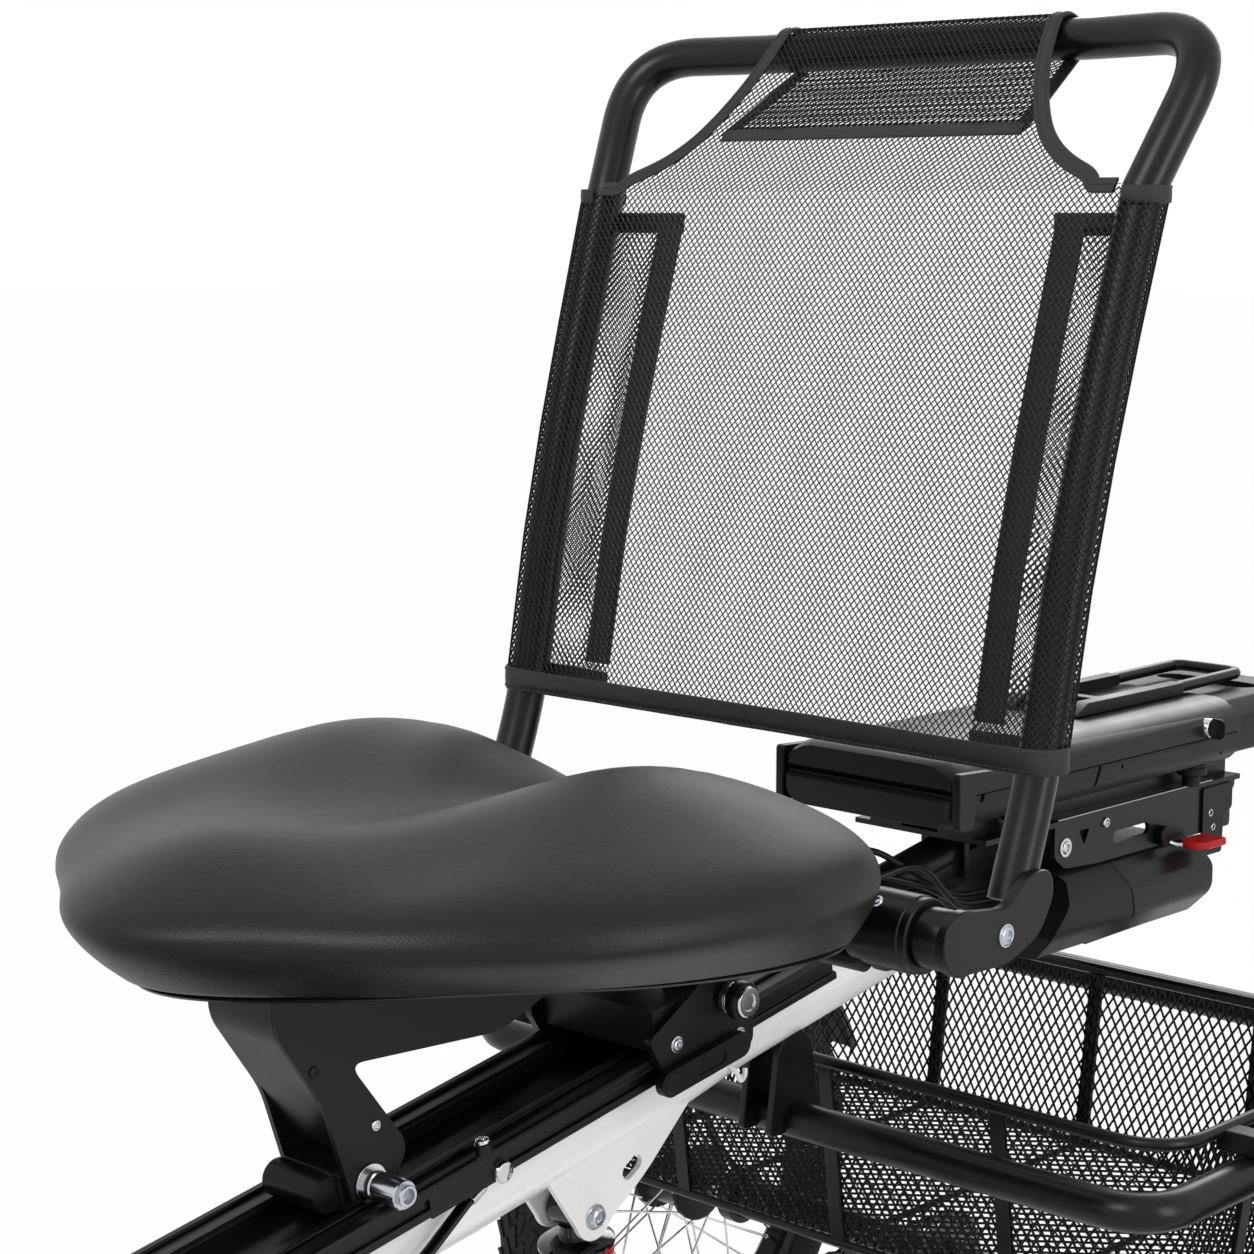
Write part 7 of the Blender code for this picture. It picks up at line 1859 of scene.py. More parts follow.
# %% Carrier and key
def carrier():
    low = BATTERY["high"] + 0.0003
    for side, name in SIDES:
        outline = [(0.645, low), (0.792, low), (0.792, 0.6655), (0.790, 0.6660), (0.660, 0.6660),
            (0.645, 0.6580)]
        piece("carrier_bar_" + name, lambda bm: plate(bm, outline, *sorted((side * 0.024, side * 0.036))),
            BLACK_COAT, "battery", "black_coat", "carrier_rails" if side > 0 else (), bevel=0.0011)
    path = [(0.030, 0.770, 0.6612), (0.030, 0.884, 0.6625), (-0.030, 0.884, 0.6625),
        (-0.030, 0.770, 0.6612)]
    piece("carrier_hoop", lambda bm: sweep(bm, rounded(path, 0.012, 8), 0.0047, 18),
        BLACK_COAT, "battery", "black_coat", smooth=50.0)
    piece("carrier_link", lambda bm: block(bm, (-0.0255, 0.690, low), (0.0255, 0.700, 0.6640)),
        BLACK_COAT, "battery", "black_coat", bevel=0.0009)


def lock_and_key():
    place = Vector((0.074, 0.760, 0.639))
    bm = bmesh.new()
    turned(bm, [(0.0, 0.0), (0.0, 0.0074), (0.0168, 0.0074), (0.0176, 0.0068), (0.0176, 0.0)],
           place - Vector((0.009, 0, 0)), (1, 0, 0), 32)
    block(bm, (place.x + 0.004, place.y - 0.0011, place.z - 0.0030),
        (place.x + 0.012, place.y + 0.0011, place.z + 0.0030))
    done(as_object(bm, "lock_barrel"), POLISHED_STEEL, "key", "bright_zinc", "battery_key", bevel=0.0003)
    bow = soften([(-0.0080, 0.0), (0.0080, 0.0), (0.0080, 0.0090), (0.0055, 0.0125), (-0.0055, 0.0125),
                  (-0.0080, 0.0090)], 0.002, 3)
    place_bow = Matrix.Translation(place + Vector((0.0080, 0, 0))) @ Matrix(((0, 1, 0, 0), (0, 0, 1, 0),
            (1, 0, 0, 0), (0, 0, 0, 1)))
    piece("key_bow", lambda bm: plate(bm, bow, -0.0014, 0.0014, "Z", place_bow),
        ABS_BLACK, "key", "matt_plastic", bevel=0.0005)


carrier()
lock_and_key()

# %% [markdown]
# Under the battery: the folded dock with its side plates, bolts and slot, four round rubber feet, the
# red latch lever, and the controller box. The box is two castings with a slanted joint, as the
# picture shows, the rear one with a sloped underside.

# %% Dock, latch and controller
DOCK_HALF = 0.060


def dock():
    plate_shape = [(0.585, 0.5890), (0.585, 0.5620), (0.598, 0.5520), (0.640, 0.5492), (0.826, 0.5492),
        (0.826, 0.5760), (0.832, 0.5800), (0.832, 0.5890)]
    parts = [lambda bm: block(bm, (-DOCK_HALF, 0.500, 0.5849), (DOCK_HALF, 0.840, 0.5889)),
             lambda bm: block(bm, (-0.046, 0.500, 0.5849), (-0.0165, 0.840, 0.6064)),
             lambda bm: block(bm, (0.0165, 0.500, 0.5849), (0.046, 0.840, 0.6064))]
    for side in (-1, 1):
        parts.append(lambda bm, s=side: plate(bm, soften(plate_shape, 0.004, 4),
                *sorted((s * 0.0562, s * DOCK_HALF))))
    made = solid("dock_sheet", *parts)
    cuts = [lambda bm: plate(bm, stadium((0.6660, 0.5655), (0.7060, 0.5655), 0.0046, 8), -0.09,
            0.09), lambda bm: plate(bm, soften([(0.616, 0.5780), (0.630, 0.5780), (0.623, 0.5660)], 0.0025,
                4), -0.09, 0.09)]
    carve(made, *[cutter(cut) for cut in cuts])
    done(made, BLACK_COAT, "frame", "black_coat", "battery_dock", bevel=0.0009, smooth=30.0)
    for number, (y, z, head, ringed) in enumerate(((0.5985, 0.5680, 0.0052, 0.0072),
            (0.650, 0.5790, 0.0042, 0.0), (0.7950, 0.5640, 0.0036, 0.0050),
            (0.7990, 0.5520, 0.0034, 0.0046))):
        socket_bolt("dock_bolt_%d" % number, (DOCK_HALF, y, z), (1, 0, 0), head, 0.0024,
                    POLISHED_STEEL if number != 1 else BRIGHT_ZINC, "frame", "bright_zinc", washer=ringed)
        socket_bolt("dock_bolt_far_%d" % number, (-DOCK_HALF, y, z), (-1, 0, 0), head, 0.0024,
                    BRIGHT_ZINC, "frame", "bright_zinc", washer=ringed)
    bracket = soften([(0.783, 0.5850), (0.783, 0.5300), (0.812, 0.5300), (0.814, 0.5600), (0.826, 0.5640),
                      (0.826, 0.5850)], 0.003, 4)
    piece("dock_end_bracket", lambda bm: plate(bm, bracket, DOCK_HALF + 0.0001, DOCK_HALF + 0.0022),
        BLACK_ANODISED, "frame", "black_coat", bevel=0.0006)
    bm = bmesh.new()
    for side in (-1, 1):
        block(bm, (side * 0.053 - 0.0066, 0.590, 0.5889), (side * 0.053 + 0.0066, 0.800, 0.5899))
    done(as_object(bm, "dock_slide_strips"), BRUSHED_ALUMINIUM, "frame", "bare_aluminium", bevel=0.0002)
    for x in (-0.046, 0.046):
        for y in (0.540, 0.771):
            piece("dock_foot_%d_%d" % (x * 1000, y * 1000), lambda bm: turned(bm,
                    [(0.0, 0.0), (0.0, 0.0070), (0.0080, 0.0070), (0.0090, 0.0105), (0.0102, 0.0120),
                        (0.0150, 0.0120), (0.0162, 0.0105), (0.0176, 0.0105), (0.0176, 0.0)],
                    (x + (0.012 if x > 0 else -0.012), y, 0.5889), (0, 0, 1), 32),
                GRIP_RUBBER, "frame", "matt_plastic", bevel=0.0004)


def latch():
    hub = Vector((DOCK_HALF, 0.724, 0.5575))
    piece("latch_hub", lambda bm: turned(bm, [(0.0003, 0.0), (0.0003, 0.0078), (0.0070, 0.0078),
                (0.0080, 0.0068), (0.0080, 0.0)], hub, (1, 0, 0), 36),
        BLACK_ANODISED, "latch", "black_coat", bevel=0.0002)
    blade = [(0.0660, 0.7440), (0.0740, 0.7380), (0.0830, 0.7400), (0.0895, 0.7480), (0.0905, 0.7740),
        (0.0830, 0.7762), (0.0680, 0.7740), (0.0655, 0.7600)]
    piece("latch_paddle", lambda bm: plate(bm, soften(blade, 0.0030, 5), 0.5460, 0.5520, "Z"),
        RED_PLASTIC, "latch", "red_plastic", "dock_lever", bevel=0.0016, smooth=30.0, segments=4)
    piece("latch_rod", lambda bm: sweep(bm, rounded([hub + Vector((0.0050, 0.002, -0.004)),
                hub + Vector((0.0100, 0.010, -0.0085)), hub + Vector((0.0180, 0.034, -0.0085))], 0.006, 6),
            0.0017, 14), BRIGHT_ZINC, "latch", "bright_zinc")


def controller():
    half, low, high = 0.076, 0.489, 0.5486
    section = soften([(-half + 0.016, low), (half - 0.016, low), (half, low + 0.018), (half, high - 0.020),
            (half - 0.020, high), (-half + 0.020, high), (-half, high - 0.020), (-half, low + 0.018)],
        0.0045, 5)

    def length(bm, front, rear):
        plate(bm, section, front, rear, "Y")

    def slab(turn, y, z, near, far):
        """A cutter that takes all from near to far along a line tilted through (y, z)."""
        place = Matrix.Translation((0, y, z)) @ Matrix.Rotation(math.radians(turn), 4, "X")
        return cutter(lambda bm: block(bm, (-0.12, near, -0.05), (0.12, far, 0.05), place))

    fore = solid("controller_front_casting", lambda bm: length(bm, 0.5622, 0.700))
    carve(fore, slab(-45.0, 0.5622, low + 0.0180, -0.2, 0.0), slab(12.0, 0.664, 0.5260, 0.0, 0.2))
    done(fore, CAST_BLACK, "frame", "matt_plastic", "controller_box", bevel=0.0016, smooth=24.0, segments=3)
    rear = solid("controller_rear_casting", lambda bm: length(bm, 0.630, 0.7788))
    carve(rear, slab(12.0, 0.6648, 0.5260, -0.2, 0.0), slab(-26.0, 0.7790, 0.5140, 0.0, 0.2),
          slab(32.0, 0.7790, 0.5360, 0.0, 0.2))
    done(rear, ABS_SMOOTH, "frame", "matt_plastic", bevel=0.0018, smooth=20.0, segments=3)
    piece("controller_tray", lambda bm: plate(bm,
            [(0.640, 0.4848), (0.768, 0.4868), (0.766, 0.4888), (0.640, 0.4888)], -0.052, 0.052),
        BLACK_COAT, "frame", "black_coat", bevel=0.0006)


dock()
latch()
controller()
dressed("rack_frame", BLACK_COAT, "frame", "black_coat", bevel=0.0012)

# %% [markdown]
# Wheels. Each has a turned hub, laced wire spokes, an extruded rim with its hooks and a tyre with a
# rounded crown and moulded tread blocks. Spokes and blocks repeat round the axle, so one Geometry
# Nodes tree copies a small mesh round a circle, with the mesh, the number of copies and the finish as inputs.

# %% A node tree that copies a mesh round an axis
def around_tree():
    """One mesh in, a number of its copies set round the X axis out."""
    tree, given = geometry_tree("copies_round_an_axis", Mesh="Geometry", Copies="Int", Finish="Material")
    points = add(tree, "GeometryNodePoints", {"Count": given.outputs["Copies"]})
    index = add(tree, "GeometryNodeInputIndex")
    share = add(tree, "ShaderNodeMath", {0: index.outputs[0], 1: given.outputs["Copies"]},
        operation="DIVIDE")
    angle = add(tree, "ShaderNodeMath", {0: share.outputs[0], 1: 2.0 * math.pi}, operation="MULTIPLY")
    turn = add(tree, "ShaderNodeCombineXYZ", {"X": angle.outputs[0]})
    copies = add(tree, "GeometryNodeInstanceOnPoints",
        {"Points": points.outputs[0], "Instance": given.outputs["Mesh"], "Rotation": turn.outputs[0]})
    real = add(tree, "GeometryNodeRealizeInstances", {0: copies.outputs[0]})
    coat = add(tree, "GeometryNodeSetMaterial",
        {"Geometry": real.outputs[0], "Material": given.outputs["Finish"]})
    add(tree, "NodeGroupOutput", {"Geometry": coat.outputs[0]})
    return tree


AROUND = around_tree()


def copied_round(bm, name, copies, centre, finish, body, slot, smooth=35.0, stands_for=()):
    """Copy what bm holds, drawn about the origin, round the X axis through a centre."""
    made = grow(as_object(bm, name), AROUND, Copies=copies, Finish=finish)
    made.data.transform(Matrix.Translation(Vector(centre)))
    return done(made, finish, body, slot, stands_for, smooth=smooth)


# %% Wheels and tyres
HALF_TRACK = 0.36
SPOKES = 9
REAR_WHEEL = {"radius": 0.203, "wide": 0.054, "hub": 0.026, "half": 0.026, "blocks": 52}
WHEELS = {"front": {"centre": FRONT_AXLE, "radius": 0.250, "wide": 0.052, "hub": 0.020, "half": 0.034,
                    "blocks": 64, "body": "wheel_front", "nodes": ("front_wheel", "front_tyre")}}
for side, name in SIDES:
    WHEELS[name] = {"centre": REAR_AXLE + X_AXIS * side * HALF_TRACK, "body": "wheel_" + name,
                    "nodes": ("rear_wheel_" + name, "rear_tyre_" + name), **REAR_WHEEL}


def road_wheel(name, wheel):
    centre, radius, wide = wheel["centre"], wheel["radius"], wheel["wide"]
    rim_top, rim_low, half = radius - 0.0366, radius - 0.0506, wide * 0.25
    piece(name + "_rim", lambda bm: hollow(bm,
            [(-half, rim_top), (-half - 0.0012, rim_top + 0.0016), (-half - 0.0016, rim_top - 0.0060),
                (-half + 0.0010, rim_low + 0.0030), (-half + 0.0050, rim_low), (half - 0.0050, rim_low),
                (half - 0.0010, rim_low + 0.0030), (half + 0.0016, rim_top - 0.0060),
                (half + 0.0012, rim_top + 0.0016), (half, rim_top), (half - 0.0016, rim_top - 0.0030),
                (-half + 0.0016, rim_top - 0.0030)], centre, X_AXIS, 96), BLACK_ANODISED,
        wheel["body"], "black_aluminium", wheel["nodes"][0], smooth=25.0)
    hub, wing = wheel["hub"], wheel["half"]
    flange = hub + 0.007
    bore = 0.0092 if name != "front" else 0.0062
    piece(name + "_hub", lambda bm: hollow(bm,
            [(-wing, bore), (-wing, flange - 0.006), (-wing + 0.001, flange), (-wing + 0.005, flange),
                (-wing + 0.008, hub + 0.001), (-wing + 0.011, hub), (wing - 0.011, hub),
                (wing - 0.008, hub + 0.001), (wing - 0.005, flange), (wing - 0.001, flange),
                (wing, flange - 0.006), (wing, bore)], centre, X_AXIS, 64), BLACK_ANODISED,
        wheel["body"], "black_aluminium", smooth=25.0)
    bm = bmesh.new()
    for side in (-1, 1):
        for lean in (-1, 1):
            spin = 0.5 * (1 if side > 0 else 0) * 2 * math.pi / SPOKES / 2 + (0.11 if lean > 0 else -0.11)
            foot_turn = spin + lean * 0.95
            foot = Vector((side * (wing - 0.004), (flange - 0.003) * math.cos(foot_turn),
                           (flange - 0.003) * math.sin(foot_turn)))
            tip = Vector((side * 0.002, rim_low * math.cos(spin), rim_low * math.sin(spin)))
            way = (tip - foot).normalized()
            sweep(bm, [foot, foot + way * 0.02, tip - way * 0.012, tip + way * 0.001], 0.0011, 6)
            sweep(bm, [tip - way * 0.013, tip + way * 0.003], 0.0019, 6)
    copied_round(bm, name + "_spokes", SPOKES, centre, POLISHED_STEEL, wheel["body"], "steel")
    inner, half = radius - 0.0360, wide / 2
    top = radius - 0.0022
    piece(name + "_tyre_carcass", lambda bm: hollow(bm,
            [(-half * 0.48, inner), (-half * 0.62, inner + 0.005), (-half * 0.90, inner + 0.011),
                (-half, inner + 0.019), (-half * 0.95, top - 0.009), (-half * 0.76, top - 0.0035),
                (-half * 0.40, top - 0.0006), (0, top), (half * 0.40, top - 0.0006),
                (half * 0.76, top - 0.0035), (half * 0.95, top - 0.009), (half, inner + 0.019),
                (half * 0.90, inner + 0.011), (half * 0.62, inner + 0.005), (half * 0.48, inner)], centre,
            X_AXIS, 128), TYRE_RUBBER, wheel["body"], "tyre_rubber", wheel["nodes"][1], smooth=40.0)
    bm = bmesh.new()
    pitch = 2 * math.pi * radius / wheel["blocks"]
    for offset, shift, width, lean in ((0.0, 0.0, 0.0055, 0.0), (-0.30, 0.5, 0.0045, 0.25),
        (0.30, 0.5, 0.0045, -0.25), (-0.62, 0.0, 0.0050, 0.45), (0.62, 0.0, 0.0050, -0.45)):
        rise = 0.0 if abs(offset) < 0.2 else (0.0008 if abs(offset) < 0.5 else 0.0028)
        place = (Matrix.Rotation(shift * pitch / radius, 4, "X")
            @ Matrix.Translation((offset * half, 0, top - rise))
            @ Matrix.Rotation(math.atan(rise * 90), 4, Vector((0, 1 if offset > 0 else -1, 0)))
            @ Matrix.Rotation(lean, 4, "Z"))
        block(bm, (-width / 2, -pitch * 0.36, -0.0018), (width / 2, pitch * 0.36, 0.0021), place)
    copied_round(bm, name + "_tread", wheel["blocks"], centre, TYRE_RUBBER, wheel["body"], "tyre_rubber",
        smooth=25.0)
    for number, side in enumerate((-1, 1)):
        piece(name + "_hub_seal_%d" % number, lambda bm: hollow(bm,
                [(0.0, bore + 0.0004), (0.0, bore + 0.0050), (0.0010, bore + 0.0050),
                    (0.0016, bore + 0.0004)], centre + X_AXIS * side * (wing - 0.0012), X_AXIS * side, 40),
            GRIP_RUBBER, wheel["body"], "matt_plastic")


for name, wheel in WHEELS.items():
    road_wheel(name, wheel)

# %% [markdown]
# Mudguards are thin moulded channels with a rolled edge and a raised middle rib. Two wire stays hold
# the front one, and a strut from the axle beam holds each rear one.

# %% Mudguards
def guard(name, centre, radius, half, start, end, body, node):
    section = [(-half, radius - 0.0100), (-half + 0.0004, radius - 0.0040),
        (-half + 0.0040, radius + 0.0012), (-half * 0.55, radius + 0.0026), (-half * 0.20, radius + 0.0028),
        (-half * 0.15, radius + 0.0034), (half * 0.15, radius + 0.0034), (half * 0.20, radius + 0.0028),
        (half * 0.55, radius + 0.0026), (half - 0.0040, radius + 0.0012), (half - 0.0004, radius - 0.0040),
        (half, radius - 0.0100)]
    inside = [(x * (1 - 0.0018 / half), r - 0.0018 * (1 if abs(x) < half * 0.9 else 0))
        for x, r in reversed(section)]
    ring = section + inside
    steps = 56
    bm = bmesh.new()
    rows = []
    for step in range(steps + 1):
        share = step / steps
        angle = math.radians(start + (end - start) * share)
        ends = min(share, 1 - share) * (end - start)
        narrow = 1.0 if ends > 2.5 else 0.86 + 0.14 * math.sqrt(max(0.0, 1 - (1 - ends / 2.5) ** 2))
        rows.append([bm.verts.new((centre.x + x * narrow, centre.y + r * math.cos(angle),
                    centre.z + r * math.sin(angle))) for x, r in ring])
    for low, high in zip(rows, rows[1:]):
        bridge(bm, low, high)
    bm.faces.new(rows[0])
    bm.faces.new(rows[-1])
    done(as_object(bm, name), GUARD_PLASTIC, body, "matt_plastic", node, smooth=35.0)


guard("front_guard", FRONT_AXLE, 0.2692, 0.033, 18, 140, "fork", "front_mudguard")
bm = bmesh.new()
for side in (-1, 1):
    turn = math.radians(26.0)
    low = Vector((side * 0.0328, FRONT_AXLE.y + 0.262 * math.cos(turn),
            FRONT_AXLE.z + 0.262 * math.sin(turn)))
    path = [low, Vector((side * 0.0765, -0.590, 0.280)), Vector((side * 0.0765, -0.667, 0.253))]
    sweep(bm, rounded(path, 0.020, 6), 0.0021, 12)
    hollow(bm, [(0, 0.0063), (0, 0.0110), (0.0037, 0.0110), (0.0037, 0.0063)],
        FRONT_AXLE + X_AXIS * side * 0.0743, X_AXIS * side, 28)
done(as_object(bm, "front_guard_stays"), BRIGHT_ZINC, "fork", "bright_zinc", smooth=40.0)
for side, name in SIDES:
    guard("guard_" + name, REAR_AXLE + X_AXIS * side * HALF_TRACK, 0.2192, 0.034, 20,
        150, "swing", "mudguard_" + name)
    bm = bmesh.new()
    clamp = REAR_AXLE + X_AXIS * side * 0.2905
    hollow(bm, [(-0.0065, 0.0173), (-0.0065, 0.0230), (0.0065, 0.0230), (0.0065, 0.0173)], clamp, X_AXIS,
        40)
    inner = side * (HALF_TRACK - 0.034 + 0.0018)
    sweep(bm, rounded([clamp + Vector((0, 0, 0.0205)), (inner, REAR_AXLE.y, 0.248),
                (inner, REAR_AXLE.y, 0.420)], 0.015, 6), 0.0026, 14)
    done(as_object(bm, "guard_strut_" + name), BLACK_COAT, "swing", "black_coat", bevel=0.0004)
print("mudguards done")

# %% [markdown]
# Steering. The fork has a forged crown, polished stanchions and cast lower legs with dust seals. Above
# the head tube stand the riser, its clamp and the height post that carries the bent handlebar.

# %% Fork
HEAD_WAY = (head_point(1.0) - head_point(0.0)).normalized()
HEAD_PLACE = Matrix((X_AXIS, HEAD_WAY.cross(X_AXIS), HEAD_WAY)).transposed().to_4x4()
HEAD_PLACE.translation = head_point(0.0)
LEG_SPREAD = 0.056


def fork():
    crown = soften([(-0.075, -0.014), (-0.066, -0.058), (-0.046, -0.060), (-0.022, -0.030), (0.022, -0.030),
                    (0.046, -0.060), (0.066, -0.058), (0.075, -0.014), (0.060, 0.014), (0.024, 0.019),
                    (-0.024, 0.019), (-0.060, 0.014)], 0.008, 5)
    made = solid("fork_crown_forged", lambda bm: plate(bm, crown, 0.3372, 0.3632, "Z", HEAD_PLACE),
                 lambda bm: pin(bm, head_point(0.337), head_point(0.5118), 0.0138, 40))
    done(made, CAST_BLACK, "steering", "black_coat", "fork_crown", bevel=0.0030, smooth=28.0, segments=4)
    for side, name in SIDES:
        x = side * LEG_SPREAD
        piece("stanchion_" + name, lambda bm: pin(bm, head_point(0.121, FORK_OFFSET, x),
                head_point(0.3600, FORK_OFFSET, x), 0.0129, 40), POLISHED_STEEL, "steering", "steel",
            smooth=30.0)
        piece("crown_cap_" + name, lambda bm: turned(bm,
                [(0.0, 0.0), (0.0, 0.0120), (0.0020, 0.0135), (0.0040, 0.0135), (0.0052, 0.0120),
                    (0.0052, 0.0)], head_point(0.3628, FORK_OFFSET, x), HEAD_WAY, 32),
            BLACK_ANODISED, "steering", "black_aluminium", bevel=0.0002)


def fork_legs():
    parts = []
    for side in (-1, 1):
        x = side * LEG_SPREAD
        parts.append(lambda bm, x=x: turned(bm,
                [(0.0, 0.0), (0.0, 0.0120), (0.0050, 0.0160), (0.0120, 0.0176), (0.0600, 0.0176),
                    (0.0900, 0.0168), (0.2400, 0.0168), (0.2600, 0.0178), (0.3020, 0.0178), (0.3020, 0.0)],
                head_point(-0.020, FORK_OFFSET, x), HEAD_WAY, 48))
    arch = soften([(-LEG_SPREAD, -0.0105), (LEG_SPREAD, -0.0105), (LEG_SPREAD, 0.0105),
            (-LEG_SPREAD, 0.0105)], 0.003, 3)
    lift = Matrix.Translation(head_point(0.0, FORK_OFFSET) - head_point(0.0)) @ HEAD_PLACE
    parts.append(lambda bm: plate(bm, arch, 0.2735, 0.2815, "Z", lift))
    made = solid("fork_lower_casting", *parts)
    carve(made, *[drill(head_point(0.060, FORK_OFFSET, side * LEG_SPREAD), HEAD_WAY, 0.0136, 0.26)
                  for side in (-1, 1)])
    done(made, CAST_BLACK, "fork", "black_coat", "fork_lowers", bevel=0.0012, smooth=28.0, segments=3)
    bm = bmesh.new()
    pin(bm, FRONT_AXLE - X_AXIS * 0.0780, FRONT_AXLE + X_AXIS * 0.0780, 0.0056, 24)
    for side in (-1, 1):
        turned(bm, [(0, 0), (0, 0.0090), (0.0050, 0.0090), (0.0062, 0.0070), (0.0062, 0.0)],
               FRONT_AXLE + X_AXIS * side * 0.0785, X_AXIS * side, 6)
    done(as_object(bm, "front_axle"), BRIGHT_ZINC, "fork", "bright_zinc", bevel=0.0003)
    for side, name in SIDES:
        piece("dust_seal_" + name, lambda bm: hollow(bm,
                [(0.0, 0.0134), (0.0, 0.0176), (0.0030, 0.0180), (0.0060, 0.0165), (0.0075, 0.0142),
                    (0.0075, 0.0134)], head_point(0.2822, FORK_OFFSET, side * LEG_SPREAD), HEAD_WAY, 40),
            GRIP_RUBBER, "fork", "matt_plastic")


fork()
fork_legs()

# %% Riser, post and handlebar
BAR_CENTRE = head_point(0.885)


def column():
    made = solid("riser_tube",
                 lambda bm: pin(bm, head_point(0.5125), head_point(0.760), 0.0170, 40),
                 lambda bm: pin(bm, head_point(0.5125), head_point(0.5240), 0.0214, 40),
                 lambda bm: pin(bm, head_point(0.7265), head_point(0.7595), 0.0218, 40),
                 lambda bm: block(bm, (-0.0090, -0.0335, 0.7305), (0.0090, -0.0100, 0.7555), HEAD_PLACE))
    carve(made, drill(head_point(0.548), HEAD_WAY, 0.0129, 0.23),
          cutter(lambda bm: block(bm, (-0.0012, -0.05, 0.7262), (0.0012, -0.0110, 0.770), HEAD_PLACE)))
    done(made, BLACK_COAT, "steering", "black_coat", "stem_riser", bevel=0.0009, smooth=28.0, segments=3)
    socket_bolt("riser_clamp_bolt", HEAD_PLACE @ Vector((0.0090, -0.0260, 0.743)), X_AXIS, 0.0046, 0.0040,
        BRIGHT_ZINC, "steering", "bright_zinc")
    post = solid("height_post",
                 lambda bm: pin(bm, head_point(0.600), head_point(0.877), 0.0124, 40),
                 lambda bm: pin(bm, BAR_CENTRE - X_AXIS * 0.020, BAR_CENTRE + X_AXIS * 0.020, 0.0165, 40))
    carve(post, cutter(lambda bm: pin(bm, BAR_CENTRE - X_AXIS * 0.03, BAR_CENTRE + X_AXIS * 0.03, 0.0113,
                40)))
    done(post, BLACK_ANODISED, "post", "black_aluminium", "stem_post", bevel=0.0008, smooth=28.0)
    for step in range(6):
        piece("post_mark_%d" % step, lambda bm: hollow(bm,
                [(0, 0.0122), (0, 0.01244), (0.0006, 0.01244), (0.0006, 0.0122)],
                head_point(0.806 + 0.010 * step), HEAD_WAY, 40), POLISHED_STEEL, "post", "bare_aluminium")
    for side in (-1, 1):
        place = BAR_CENTRE + Vector((side * 0.012, -0.0155, 0.004))
        socket_bolt("bar_clamp_bolt_" + ("left" if side > 0 else "right"), place, (0, -1, 0.25), 0.0042,
            0.0036, BRIGHT_ZINC, "post", "bright_zinc")


def bar_half():
    """The handlebar's path on the rider's left, from its middle to its end."""
    corners = [BAR_CENTRE + Vector(p) for p in ((0.045, 0, 0), (0.100, -0.004, 0.020),
            (0.185, -0.010, 0.064), (0.250, 0.012, 0.068), (0.360, 0.124, 0.062))]
    return [BAR_CENTRE] + rounded(corners, 0.050, 8)


def mirrored(points, side):
    return [Vector((p.x * side, p.y, p.z)) for p in points]


BAR = bar_half()
BAR_WAY = (BAR[-1] - BAR[-2]).normalized()


def bar_end(side):
    way = Vector((BAR_WAY.x * side, BAR_WAY.y, BAR_WAY.z))
    return mirrored([BAR[-1]], side)[0], way


def brake_place(side):
    """Hinge point of a brake lever, the outward way and the forward way there."""
    end, way = bar_end(side)
    ahead = Vector((0, 0, 1)).cross(way)
    ahead = -ahead if ahead.y > 0 else ahead
    return end - way * 0.125 + ahead * 0.030, way, ahead


def handlebar():
    path = mirrored(list(reversed(BAR[1:])), -1) + BAR
    piece("handlebar_tube", lambda bm: sweep(bm, path, 0.0110, 28, hint=(0, 0, 1)),
        BLACK_COAT, "post", "black_coat", "handlebar", smooth=40.0)
    for side, name in SIDES:
        hinge, way, ahead = brake_place(side)
        place = hinge - ahead * 0.030
        bm = bmesh.new()
        hollow(bm, [(-0.0078, 0.0110), (-0.0078, 0.0150), (-0.0068, 0.0160), (0.0068, 0.0160),
                (0.0078, 0.0150), (0.0078, 0.0110)], place, way, 40)
        for level in (-0.0065, 0.0065):
            turn = Matrix((way, ahead, way.cross(ahead))).transposed().to_4x4()
            turn.translation = place + Vector((0, 0, level))
            outline = [(-0.0075, 0.012), (0.0075, 0.012)]
            outline += arc_points(0.0, 0.030, 0.0084, 0, 180, 10)
            plate(bm, outline, -0.0019, 0.0019, "Z", turn)
        pin(bm, hinge - Vector((0, 0, 0.0095)), hinge + Vector((0, 0, 0.0095)), 0.0027, 18)
        done(as_object(bm, "lever_clamp_" + name), CAST_BLACK, "post", "black_coat", bevel=0.0005,
            smooth=30.0)
        lever = [hinge + way * 0.0020, hinge + way * 0.0100 + ahead * 0.006,
            hinge + way * 0.030 + ahead * 0.014, hinge + way * 0.075 + ahead * 0.016,
            hinge + way * 0.108 + ahead * 0.0215]
        bm = bmesh.new()
        bend = smooth_path(lever, 6)
        sweep(bm, bend, [0.0040 + 0.0008 * math.sin(3.0 * i / len(bend)) for i in range(len(bend))], 18,
              flat=0.72, hint=(0, 0, 1))
        hollow(bm, [(-0.0040, 0.0032), (-0.0040, 0.0079), (0.0040, 0.0079), (0.0040, 0.0032)], hinge,
            (0, 0, 1), 32)
        knob = lever[-1]
        turned(bm, [(-0.0050, 0.0), (-0.0050, 0.0040), (-0.0030, 0.0060), (0.0, 0.0066), (0.0030, 0.0060),
                    (0.0050, 0.0040), (0.0050, 0.0)], knob, (0, 0, 1), 28)
        done(as_object(bm, "brake_blade_" + name), CAST_BLACK, "brake_" + name, "black_aluminium",
             "brake_lever_" + name, bevel=0.0003, smooth=40.0)


